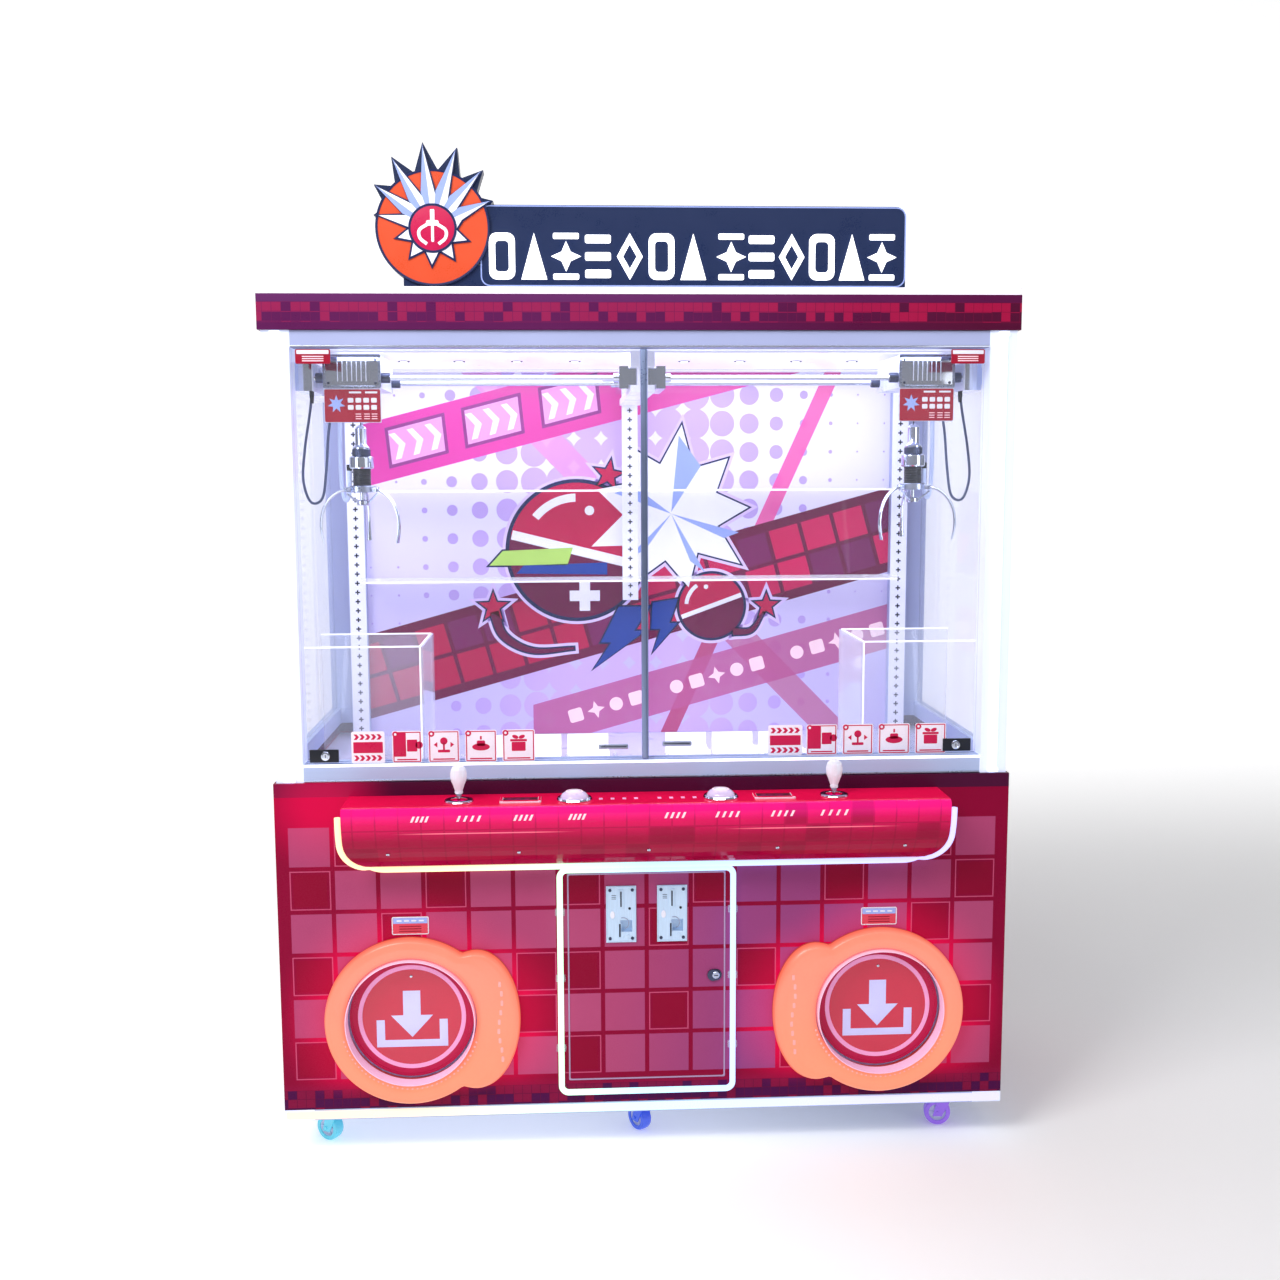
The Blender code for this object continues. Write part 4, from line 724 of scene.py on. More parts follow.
def metal(name, colour, low, high, stretch=(1.0, 30.0, 30.0), scale=40.0, bump=0.05, constants=None):
    """Plated or brushed metal with fine lines in one direction."""
    made = Finish(name, colour, low, high, 0.05, 250.0, 12.0, 0.0, dict({"Metallic": 1.0}, **(constants or {})))
    lines = made.group("brushed_lines", {"Vector": made.point, "Scale": scale, "Stretch": stretch})
    made.bump(lines["Height"], bump, 0.0003)
    shade = add(made.tree, "ShaderNodeCombineXYZ", {k: lines["Shade"] for k in "XYZ"}).outputs[0]
    made.feed("Base Color", made.mix(0.6, colour, made.mix(1.0, colour, shade, mode="MULTIPLY")))
    return keep(name, made)


def make_finishes(colours, lights):
    for build in (make_grain_group, make_grid_group, make_wash_group, make_scratch_group, make_band_group):
        build()
    printed_panel("panel_print", lights, "X")
    printed_panel("side_print", lights, "Y")
    fascia_print(colours)
    board_art(lights)
    clear_sheet("door_glass", (0.86, 0.9, 1.0), 0.015, 0.22)
    clear_sheet("side_glass", (0.7, 0.78, 1.0), 0.04, 0.45)
    clear_sheet("acrylic", (0.8, 0.84, 1.0), 0.14, 0.75, 0.05)
    clear_sheet("acrylic_edge", (0.95, 0.96, 1.0), 0.55, 0.95, 0.45)
    clear_sheet("shelf_sheet", (0.9, 0.91, 1.0), 0.22, 0.55, 0.1)
    clear_sheet("crystal", (0.88, 0.9, 1.0), 0.62, 1.0, 0.1)
    metal("chrome", hue("D4DAEA"), 0.05, 0.14, bump=0.02)
    metal("brushed_steel", hue("AEB6CE"), 0.22, 0.38)
    metal("dark_steel", hue("4A5068"), 0.28, 0.45)
    metal("frame_metal", hue("8C9AC0"), 0.25, 0.4, (30.0, 30.0, 1.0), 30.0, 0.03)
    metal("zinc_plate", hue("C4DCF6"), 0.3, 0.44, (30.0, 30.0, 1.0), 30.0, 0.05, {"Metallic": 0.35})
    paint = Finish("frame_paint", hue("B4C2E2"), 0.3, 0.44, 0.03, 500.0, 6.0, 0.05)
    post = paint.calc("MULTIPLY", paint.calc("GREATER_THAN", paint.calc("ABSOLUTE", paint.x), 0.735),
        paint.calc("LESS_THAN", paint.y, -0.27))
    body = paint.mix(paint.near(paint.z, 1.2, 0.85), hue("AEBFE4"), hue("A8B0DA"))
    paint.paint(paint.mix(post, body, hue("DCE4FA")))
    # Painted light: the front posts glow faintly blue, the light of their tubes painted on.
    paint.glow(paint.mix(post, (0.0, 0.0, 0.0), (0.62, 0.7, 1.0)), 0.28)
    keep("frame_paint", paint)
    # The third number is a glow. On lit_white, ceiling_glow, downlight, post_light, rim_light, sign_white and
    # ring_mark it is the light of lit pieces; on every other ink it is painted light, a faint glow in the ink's own
    # colour.
    for name, code, glow in (("white_enamel", "D2D8EE", 0.05), ("lit_white", "F4F6FF", 1.2), ("post_white", "E6E8FA",
            0.22), ("slot_black", "26283A", 0.0), ("label_red", "9A1430", 0.1), ("label_white", "E6E6F4", 0.04),
            ("label_field", "D64258", 0.1), ("card_red", "C0184A", 0.1), ("card_white", "ECE4F2", 0.06), ("navy_ink",
            "232C58", 0.0), ("pale_blue_ink", "96A8E4", 0.15), ("art_white", "F4F4FF", 0.1), ("art_red", "C41A50",
            0.06), ("art_wine", "6A1444", 0.1), ("art_pink", "F0A0DC", 0.1), ("art_plum", "96408A", 0.05),
            ("art_green", "B4DC6C", 0.08), ("art_blue", "24449A", 0.05), ("art_lilac", "DCC8F6", 0.1), ("deck_white",
            "D6D8F6", 0.04), ("black_plastic", "25272F", 0.0), ("grey_hose", "BCC8EA", 0.08), ("cable_grey", "4C5674",
            0.0), ("sign_orange", "DE5230", 0.05), ("sign_navy", "1E2C52", 0.02), ("sign_white", "FAFCFF", 1.5),
            ("medallion_white", "F0F2FF", 0.2), ("back_grey", "8E9098", 0.0), ("galvanised", "A2A6AC", 0.0),
            ("display_window", "2A2230", 0.0), ("display_frame", "E8B8CC", 0.08), ("dash_pink", "F6D2DE", 0.2),
            ("flap_pink", "EFA6D4", 0.12), ("flap_icon", "CCCCFA", 0.1), ("flap_wine", "B8184A", 0.1), ("seam_lilac",
            "A88CB0", 0.05), ("ceiling_glow", "F4F4FF", 0.35), ("downlight", "FFFFFF", lights.downlight_strength),
            ("post_light", "D8E4FF", lights.post_strength), ("rim_light", "F4F0FA", lights.rim_strength),
            ("liner_pink", "F2C4E2", 0.15), ("ring_mark", "EE9C98", 0.35)):
        ink(name, hue(code), glow)
    for name, strength, share in (("tube_light", lights.tube_strength, 0.16), ("base_light", lights.base_strength,
            0.45)):
        made = Finish(name, (0.16, 0.16, 0.18), 0.2, 0.3)
        wash = made.group("light_wash", {"X": made.x})["Color"]
        made.glow(made.mix(share, wash, (1.0, 1.0, 1.0)), strength)
        keep(name, made)
    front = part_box("left_outlet_ring")[0].y
    peach = Finish("peach_ring", hue("9A3C24"), 0.28, 0.4, 0.05, 160.0, 14.0, 0.06, {"Coat Weight": 0.15})
    # Painted shade on the glowing ring: dark red where it meets the panel, deeper orange down the sides of its bulge
    # and peach on its front.
    edge = peach.near(peach.y, -0.35, -0.3408)
    painted_bulge_shade = peach.near(peach.y, front, front + 0.02)
    tint = peach.mix(peach.near(peach.z, 0.17, 0.44), hue("F49C84"), hue("FAA07C"))
    tint = peach.mix(painted_bulge_shade, hue("F0745A"), tint)
    peach.glow(peach.mix(edge, hue("780A1C"), tint), lights.ring_strength)
    keep("peach_ring", peach)
    red = Finish("console_red", colours.console_red[:], 0.06, 0.13, 0.08, 500.0, 9.0, 0.01, {"Coat Weight": 0.06,
        "Coat Roughness": 0.04, "Specular IOR Level": 0.14})
    spot = add(red.tree, "ShaderNodeCombineXYZ", {"X": red.calc("DIVIDE", red.x, 0.0475), "Z": red.calc("DIVIDE",
        red.calc("SUBTRACT", red.z, red.calc("MULTIPLY", red.y, 0.4)), 0.0475)}).outputs[0]
    faint = red.group("square_grid", {"Vector": spot, "Half": 0.465, "Rim": 0.04})
    dim = red.calc("MULTIPLY", faint["Tile"], red.calc("GREATER_THAN", faint["Random"], 0.8))
    # Painted highlight: the front is bright pink along its upper part and dark crimson lower down, the interior's
    # light reflecting off it painted in.
    tone = red.mix(red.near(red.z, 0.785, 0.735), hue("8C0230"), hue("D00A56"))
    tone = red.mix(red.calc("MULTIPLY_ADD", faint["Tile"], -0.35, 0.35), tone, hue("4E0020"))
    tone = red.mix(red.calc("MULTIPLY", dim, 0.55), tone, hue("640024"))
    top = red.calc("GREATER_THAN", red.z, 0.815)
    red.paint(red.mix(top, tone, hue("D41040")))
    # Painted light: a pink glow along the front's top edge, a thin bright streak across its upper front standing in
    # for a lamp's reflection, and a faint red glow over the rest of the console.
    painted_lip_glow = red.calc("MULTIPLY", red.near(red.z, 0.808, 0.776), red.calc("SUBTRACT", 1.0, top))
    painted_reflection_streak = red.near(red.calc("ABSOLUTE", red.calc("SUBTRACT", red.z, 0.76)), 0.0004, 0.002)
    reach = red.near(red.calc("ABSOLUTE", red.calc("SUBTRACT", red.calc("ABSOLUTE", red.x), 0.345)), 0.08, 0.2)
    light = red.mix(painted_lip_glow, (0.15, 0.0, 0.016), (0.58, 0.01, 0.2))
    front = red.calc("LESS_THAN", red.y, -0.43)
    light = red.mix(red.calc("MULTIPLY", red.calc("MULTIPLY", painted_reflection_streak, reach), front), light, (0.95, 0.28, 0.36))
    red.glow(red.mix(top, light, (0.22, 0.0, 0.02)), 0.8)
    keep("console_red", red)
    disc = Finish("flap_red", hue("B01A38"), 0.1, 0.2, 0.06, 300.0, 10.0, 0.01, {"Coat Weight": 0.3})
    # Painted light: the flap glows faintly in a brighter red.
    disc.glow(hue("D02848"), 0.28)
    keep("flap_red", disc)
    # Painted light: the casters take the base strip's light as their colour, cyan at the left through blue to violet
    # at the right, and glow with it.
    tint = Finish("caster_plastic", (0.3, 0.4, 0.8), 0.18, 0.32, 0.05, 300.0, 20.0, 0.02, {"Coat Weight": 0.4})
    wash = colour_ramp(tint.tree, tint.calc("MULTIPLY_ADD", tint.x, 0.62, 0.5, clamp=True), [(0.05, hue("5CC8DC")),
        (0.5, hue("3A5ADC")), (0.95, hue("9A68E4"))])
    tint.paint(wash)
    tint.glow(wash, 0.25)
    keep("caster_plastic", tint)
    lens = Finish("dome_lens", hue("DCDCF4"), 0.06, 0.12, 0.03, 200.0, 30.0, 0.01, {"Coat Weight": 0.6})
    off = add(lens.tree, "ShaderNodeCombineXYZ", {"X": lens.calc("SUBTRACT", lens.calc("ABSOLUTE", lens.x), BUTTON_X),
        "Y": lens.calc("ADD", lens.y, 0.4)}).outputs[0]
    ring = lens.distance(off, (0.0, 0.0, 0.0))
    lens.paint(lens.mix(lens.near(ring, 0.006, 0.022), hue("B8A4CC"), hue("F4E8F8")))
    lens.glow(hue("F0DCF0"), 0.3)
    keep("dome_lens", lens)


def cover(node, *names):
    """Gives a CAD node the named finish in each of its material slots."""
    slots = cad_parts[node].material_slots
    for index in range(max(len(slots), 1)):
        material = FINISHES[names[min(index, len(names) - 1)]]
        if len(slots):
            slots[index].material = material
        else:
            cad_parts[node].data.materials.append(material)


# ---------------------------------------------------------------- stage, cords
def build_stage(lights):
    floor_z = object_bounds()[0][2]
    turn = np.radians(np.linspace(0.0, 90.0, 13))
    y = np.concatenate([[-9.0], 4.5 + 3.0 * np.sin(turn), [7.5]])
    z = np.concatenate([[0.0], 3.0 * (1.0 - np.cos(turn)), [9.0]]) + floor_z
    x = np.linspace(-11.0, 11.0, 5)
    points = np.stack(np.broadcast_arrays(x[None], y[:, None], z[:, None]), -1).reshape(-1, 3)
    paper = Finish("studio_paper", (0.91, 0.91, 0.915), 0.85, 0.95, 0.01, 30.0, 0.6, 0.0)
    backdrop = make_mesh("studio_backdrop", [((points, [grid_faces(len(y), len(x), False, False)[:, ::-1]]),
        paper.material)], 60.0)
    # The backdrop glows evenly white far back; on the floor the glow is strong at the left and weak at the right, a
    # painted shadow to the right of the machine.
    far = paper.near(paper.y, 4.5, 0.6)
    left = paper.near(paper.x, -0.4, 1.0)
    painted_shadow_floor_glow = paper.mix(left, (0.16, 0.16, 0.16), (0.7, 0.7, 0.7))
    paper.glow(paper.mix(far, painted_shadow_floor_glow, (1.0, 1.0, 1.0)), lights.paper_glow)
    backdrop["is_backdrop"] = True
    bpy.context.scene.view_settings.view_transform = "Standard"
    world = bpy.context.scene.world or bpy.data.worlds.new("studio_world")
    bpy.context.scene.world = world
    world.use_nodes = True
    background = world.node_tree.nodes.get("Background") or world.node_tree.nodes.new("ShaderNodeBackground")
    background.inputs["Color"].default_value = (0.98, 0.98, 1.0, 1.0)
    background.inputs["Strength"].default_value = lights.sky_strength

    def lamp(name, place, target, size, power, colour):
        light = bpy.data.lights.new(name, "AREA")
        light.shape = "RECTANGLE"
        light.size, light.size_y = size
        light.energy = power
        light.color = colour
        thing = bpy.data.objects.new(name, light)
        bpy.context.scene.collection.objects.link(thing)
        aim = (Vector(target) - Vector(place)).to_track_quat("-Z", "Y")
        thing.matrix_world = Matrix.Translation(place) @ aim.to_matrix().to_4x4()

    key = lights.key_power
    lamp("key_softbox", (-2.6, -3.0, 4.2), (0.0, 0.0, 0.8), (2.2, 2.2), key, (1.0, 0.99, 0.98))
    lamp("fill_softbox", (3.4, -3.2, 2.2), (0.0, 0.0, 1.0), (2.4, 2.4), 0.14 * key, (0.98, 0.99, 1.0))
    lamp("strip_softbox", (0.0, -2.2, 2.9), (0.0, -0.45, 0.8), (2.6, 0.5), 0.12 * key, (1.0, 1.0, 1.0))
    cool = (0.8, 0.85, 1.0)
    power = lights.inside_power
    lamp("ceiling_panel_left", (-0.38, 0.06, 1.755), (-0.38, 0.06, 0.8), (0.6, 0.5), power, cool)
    lamp("ceiling_panel_right", (0.38, 0.06, 1.755), (0.38, 0.06, 0.8), (0.6, 0.5), power, cool)
    lamp("ceiling_front", (0.0, -0.255, 1.755), (0.0, 0.25, 1.2), (1.3, 0.03), 0.7 * power, cool)
    lamp("deck_wash_left", (-0.705, -0.25, 1.3), (0.3, 0.2, 1.2), (0.02, 0.8), 0.25 * power, cool)
    lamp("deck_wash_right", (0.705, -0.25, 1.3), (-0.3, 0.2, 1.2), (0.02, 0.8), 0.25 * power, cool)
    camera = bpy.data.objects.new("camera", bpy.data.cameras.new("camera"))
    bpy.context.scene.collection.objects.link(camera)
    camera.data.lens = 39.375
    camera.data.sensor_width = 36.0
    camera.matrix_world = (Matrix.Translation((-0.1676, -3.3157, 1.5072)) @ Matrix.Rotation(math.radians(-2.994), 4,
        "Z") @ Matrix.Rotation(math.radians(90.0 - 6.876), 4, "X") @ Matrix.Rotation(math.radians(-0.247), 4, "Z"))
    bpy.context.scene.camera = camera


def route_length(route):
    return float(np.sum(np.linalg.norm(np.diff(route, axis=0), axis=1)))


def free_cord(name, route, section, material, node):
    """A tube along its route that bends between two bodies, declared as a cord held at both ends."""
    cord = make_mesh(name, [(sweep(route, section), material)], 60.0)
    if node:
        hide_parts(node)
    route_length(route)
    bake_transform(cord)
    return cord


def build_cords():
    for name, side in SIDES:
        y = CRANE_Y
        trailing = smooth_route([(side * 0.725, y, 1.6788), (side * 0.73, y, 1.64), (side * 0.743, y - 0.004, 1.56),
            (side * 0.748, y - 0.008, 1.49), (side * 0.733, y - 0.008, 1.442), (side * 0.708, y - 0.006, 1.45),
            (side * 0.698, y - 0.003, 1.51), (side * 0.69, y, 1.6), (side * 0.674, y, 1.684)], 72)
        free_cord(name + "_power_cable", trailing, circle(0.0, 0.0, 0.003, 12), "cable_grey",
            name + "_trailing_cable")
        azimuth = math.radians(150.0 if side < 0 else 30.0)
        reach = np.array([(0.055, 1.6845), (0.057, 1.64), (0.059, 1.56), (0.057, 1.48), (0.049, 1.447), (0.0395,
            1.452), (0.035, 1.48), (0.0345, 1.514)])
        around = np.stack([side * CRANE_X + reach[:, 0] * math.cos(azimuth), y + reach[:, 0] * math.sin(azimuth),
            reach[:, 1]], 1)
        hose = smooth_route(around, 150)
        ribs = 1.0 - 0.03 * (np.arange(150) % 3 == 0)
        section = circle(0.0, 0.0, 0.005, 14)[None] * ribs[:, None, None]
        free_cord(name + "_claw_hose", hose, section, "grey_hose",
            name + "_claw_cord")
        string = np.stack([np.full(12, side * CRANE_X), np.full(12, y), np.linspace(1.7, 1.611, 12)], 1)
        free_cord(name + "_lift_string", string, circle(0.0, 0.0, 0.0014, 8), "black_plastic",
            None)
        for end, place in (("bridge", trailing[0]), ("trolley", trailing[-1])):
            boot = turned([(0.0, 0.002), (0.0052, 0.002), (0.0052, -0.004), (0.004, -0.016), (0.0036, -0.02), (0.0,
                -0.02)], 14, tuple(place))
            piece(f"{name}_cable_boot_{end}", f"{name}_{end}", name + "_trailing_cable", (boot, "black_plastic"))


# ---------------------------------------------------------------- lower cabinet
def build_lower_panels():
    cover("front_panel", "panel_print")
    cover("cabinet_shell", "side_print")
    cover("coin_door", "panel_print")
    cover("base_frame", "frame_paint")
    cover("cash_box", "galvanised")
    cover("control_unit", "back_grey")
    y = PANEL_FRONT
    seam = band(rounded(-0.1738, 0.1738, 0.1644, 0.6358, 0.003), rounded(-0.1705, 0.1705, 0.1677, 0.6325, 0.003),
        y + 0.001, y - 0.0012, 0.0004)
    piece("coin_door_edge_trim", "coin_door", "coin_door", (seam, "seam_lilac"))
    knuckle = turned([(0.0, -0.025), (0.0036, -0.025), (0.0036, 0.025), (0.0, 0.025)], 14, (0.0, 0.0, 0.0))
    hinges = repeated(knuckle, [(-0.1732, y + 0.006, z) for z in (0.23, 0.4, 0.57)])
    piece("coin_door_hinge_knuckles", "coin_door", "coin_door", (hinges, "brushed_steel"))
    for name, side in SIDES:
        middle = 0.5155 * side
        outline = rounded(middle - 0.04, middle + 0.04, 0.5065, 0.5465, 0.0035)
        plate = band(outline, inset(anticlockwise(outline), 0.0022), y, y - 0.0016)
        field = slab(inset(anticlockwise(outline), 0.0018), y, y - 0.0008, 0.0002)
        head = slab(rounded(middle - 0.037, middle + 0.037, 0.5315, 0.544, 0.001), y - 0.0008, y - 0.0013, 0.0002)
        lines = repeated(slab(rounded(-0.024, 0.024, -0.0011, 0.0011, 0.0005, 2), y - 0.0008, y - 0.0012, 0.0001),
            [(middle, 0.0, z) for z in (0.525, 0.5195, 0.514)])
        marks = repeated(slab(rounded(-0.0055, 0.0055, -0.0017, 0.0017, 0.0008, 2), y - 0.0013, y - 0.0016, 0.0001),
            [(middle + x, 0.0, 0.5378) for x in (-0.024, -0.008, 0.008, 0.024)])
        piece(name + "_outlet_label", "cabinet", "front_panel", (plate, "label_white"), (field, "label_field"), (head,
            "pale_blue_ink"), (lines, "label_red"), (marks, "label_white"))


def build_coin_units():
    lock_low, lock_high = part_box("door_lock")
    x, z = (lock_low.x + lock_high.x) / 2, (lock_low.z + lock_high.z) / 2
    y = lock_low.y
    cover("door_lock", "dark_steel")
    ring = turned([(0.0085, 0.002), (0.0125, 0.002), (0.0132, 0.0), (0.0125, -0.0022), (0.0098, -0.0028), (0.0085,
        -0.0012)], 32, (x, PANEL_FRONT, z), "Y", closed=True)
    piece("door_lock_collar", "coin_door", "coin_door", (ring, "dark_steel"))
    plug = turned([(0.0, 0.0), (0.0078, 0.0), (0.0082, -0.0006), (0.007, -0.0016), (0.0, -0.0018)], 28, (x,
        y + 0.0004, z), "Y")
    way = slab(rounded(x - 0.0045, x + 0.0045, z - 0.0009, z + 0.0009, 0.0006, 2), y - 0.001, y - 0.0018, 0.0001)
    piece("door_lock_plug", "door_lock", "door_lock", (plug, "brushed_steel"), (way, "slot_black"))
    for name, side in SIDES:
        cover(name + "_coin_unit", "zinc_plate")
        middle = 0.056 * side
        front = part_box(name + "_coin_unit")[0].y
        outline = rounded(middle - 0.032, middle + 0.032, 0.4805, 0.6055, 0.005)
        rim = band(outline, inset(anticlockwise(outline), 0.002), front + 0.001, front - 0.0012, 0.0005)
        corner_screws = merged(*(screw(middle + a, front, b, 0.0036) for a in (-0.0245, 0.0245) for b in (0.4885,
            0.5975)))
        slot_plate = slab(rounded(middle - 0.0075, middle + 0.0065, 0.556, 0.599, 0.0025), front, front - 0.0016)
        entry = slab(rounded(middle - 0.002, middle + 0.0012, 0.56, 0.595, 0.0014, 3), front - 0.0012, front - 0.002,
            0.0002)
        bead = slab(ellipse(middle - 0.019, 0.542, 0.0052, 0.0085, 24), front, front - 0.0022, 0.001)
        eye = turned([(0.0, 0.0), (0.003, 0.0), (0.003, -0.0008), (0.0018, -0.0014), (0.0, -0.001)], 16,
            (middle + 0.0185, front, 0.556), "Y")
        turn = np.radians(np.linspace(-70.0, 110.0, 16))
        scoop_path = np.stack([middle + 0.004 + 0.0125 * np.cos(turn), np.full(16, front - 0.0004),
            0.523 + 0.0125 * np.sin(turn)], 1)
        scoop = sweep(scoop_path, circle(0.0, 0.0, 0.001, 8), (0.0, 1.0, 0.0))
        lever = slab(ellipse(middle + 0.012, 0.493, 0.0075, 0.005, 24, 20.0), front, front - 0.0014, 0.0008)
        mouth = slab(rounded(middle - 0.0048, middle - 0.0012, 0.4915, 0.5215, 0.0017, 3), front + 0.0004,
            front - 0.0005, 0.0001)
        cup = band(rounded(middle - 0.0062, middle + 0.0002, 0.49, 0.523, 0.0028, 3), rounded(middle - 0.005,
            middle - 0.001, 0.4912, 0.5218, 0.0018, 3), front, front - 0.0009, 0.0003)
        text_marks = repeated(slab(rounded(-0.005, 0.005, -0.0006, 0.0006, 0.0003, 2), front, front - 0.0004, 0.0001),
            [(middle - 0.016, 0.0, b) for b in (0.586, 0.582, 0.578)])
        piece(name + "_coin_face", "coin_door", name + "_coin_unit", (rim, "zinc_plate"), (corner_screws,
            "dark_steel"), (slot_plate, "zinc_plate"), (entry, "slot_black"), (bead, "label_white"), (eye,
            "black_plastic"), (scoop, "brushed_steel"), (lever, "zinc_plate"), (cup, "zinc_plate"), (mouth,
            "slot_black"), (text_marks, "dark_steel"))


def outlet_outline(angle, side):
    """Distance from the outlet's centre to the ring's outer edge at each angle: the larger of the round rim's and
    the side lobe's, joined by a soft maximum. The lobe is an ellipse set towards the machine's middle, and a ray
    meets it where the quadratic in the distance has its larger root."""
    c, s = np.cos(angle) * -side, np.sin(angle)
    across, up, offset, rim = 0.096, 0.158, 0.146, 0.19
    a = (c / across) ** 2 + (s / up) ** 2
    b = -2.0 * offset * c / across**2
    k = (offset / across) ** 2 - 1.0
    root = b * b - 4.0 * a * k
    lobe = np.where(root > 0.0, (-b + np.sqrt(np.maximum(root, 0.0))) / (2.0 * a), 0.0)
    softness = 0.004
    high = np.maximum(lobe, rim)
    return high + softness * np.log(np.exp((lobe - high) / softness) + np.exp((rim - high) / softness)) - 0.002


def build_outlets():
    count = 192
    angle = np.linspace(0.0, 2.0 * math.pi, count, endpoint=False)
    for name, side in SIDES:
        low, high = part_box(name + "_outlet_ring")
        centre = np.array([side * OUTLET_X, 0.0, OUTLET_Z])
        outer = outlet_outline(angle, side) - 0.0005
        inner = np.full(count, 0.1425)
        back, front = high.y, low.y
        share = np.linspace(0.0, 1.0, 15)
        bulge = (1.0 - np.abs(2.0 * share - 1.0) ** 2.6) ** 0.55
        wide = np.clip((outer - inner) / 0.048, 1.0, 1.5)
        radius = outer[None] + (inner - outer)[None] * (0.5 - 0.5 * np.cos(math.pi * share))[:, None]
        seam = 0.0022 * np.exp(-(((outer[None] - radius) / np.maximum(outer - inner, 1e-6)[None] - 0.3) / 0.05) ** 2)
        depth = back + (front - back) * (0.3 + 0.7 * bulge[:, None]) * (0.97 + 0.03 * wide[None] / 1.5) + seam
        ring_x = centre[0] + radius * np.cos(angle)
        ring_z = centre[2] + radius * np.sin(angle)
        rings = np.stack([ring_x, depth, ring_z], -1)
        closing = [np.stack([centre[0] + r * np.cos(angle), np.full(count, back), centre[2] + r * np.sin(angle)],
            -1) for r in (inner, outer)]
        puffy = skin(np.concatenate([rings, np.stack(closing)]), closed=True)
        piece(name + "_glow_ring", "cabinet", name + "_outlet_ring", (puffy, "peach_ring"), sharp=50.0,
            instead_of=(name + "_outlet_ring",))
        bead_angle = np.radians(np.arange(195.0, 345.0, 4.2))
        bead = turned([(0.0, 0.0), (0.0026, -0.0004), (0.0022, -0.0018), (0.0, -0.0024)], 10, (0.0, 0.0, 0.0), "Y")
        spots = np.stack([centre[0] + 0.15 * np.cos(bead_angle), np.full(len(bead_angle), front + 0.005),
            centre[2] + 0.15 * np.sin(bead_angle)], 1)
        lobe_x = centre[0] - side * 0.196
        dash_rows = [(lobe_x + 0.004 * math.cos(k), b) for k, b in enumerate(np.linspace(-0.085, 0.085, 9))]
        dash = slab(rounded(-0.003, 0.003, -0.006, 0.006, 0.002, 3), front + 0.002, front - 0.0006, 0.0005)
        dashes = repeated(dash, [(a, 0.0, centre[2] + b) for a, b in dash_rows])
        piece(name + "_ring_marks", "cabinet", name + "_outlet_ring", (repeated(bead, spots), "ring_mark"), (dashes,
            "ring_mark"))
        liner = turned([(0.1412, 0.0), (0.1412, -0.031), (0.1404, -0.033), (0.139, -0.033), (0.1385, -0.031), (0.1385,
            0.0)], 96, (centre[0], -0.3395, centre[2]), "Y", closed=True)
        piece(name + "_outlet_liner", "cabinet", name + "_outlet_ring", (liner, "liner_pink"))
        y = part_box(name + "_prize_flap")[0].y

        def plate(inner, outer, rise):
            rows = [(inner, 0.0004), (outer, 0.0004), (outer - 0.0004, -rise), (inner + 0.0004, -rise)]
            return turned(rows, 96, (centre[0], y, centre[2]), "Y", closed=True)

        face = turned([(0.0, 0.0004), (0.1085, 0.0004), (0.108, -0.0008), (0.0, -0.0008)], 96, (centre[0], y,
            centre[2]), "Y")
        arrow = np.array([(0.0, -0.046), (0.046, 0.004), (0.019, 0.004), (0.019, 0.06), (-0.019, 0.06), (-0.019,
            0.004), (-0.046, 0.004)])
        tray = np.array([(-0.078, -0.006), (-0.078, -0.068), (0.078, -0.068), (0.078, -0.006), (0.06, -0.006), (0.06,
            -0.052), (-0.06, -0.052), (-0.06, -0.006)])
        shift = (centre[0], centre[2])
        icon = merged(slab(arrow + shift, y, y - 0.0014, 0.0003), slab(tray + shift, y, y - 0.0014, 0.0003))
        bolt = screw(centre[0], y - 0.0006, centre[2] + 0.093, 0.0034)
        piece(name + "_flap_face", name + "_flap", name + "_prize_flap", (face, "flap_red"), (plate(0.1085, 0.1185,
            0.0012), "flap_pink"), (plate(0.1185, 0.13, 0.0006), "flap_wine"), (plate(0.13, 0.1362, 0.0012),
            "flap_wine"), (icon, "flap_icon"), (bolt, "chrome"))
        cover(name + "_prize_flap", "flap_red")
        cover(name + "_prize_chute", "deck_white")


def neon_depth(z):
    """Y of the tube where it follows the console's curved end: a quarter ellipse in depth and height."""
    middle, reach, gap = -0.3403, 0.1132, 0.0003
    drop = np.clip((0.8 - z) / 0.1375, 0.0, 1.0)
    return np.minimum(middle - reach * np.sqrt(1.0 - drop**2), middle - 0.0065 - gap)


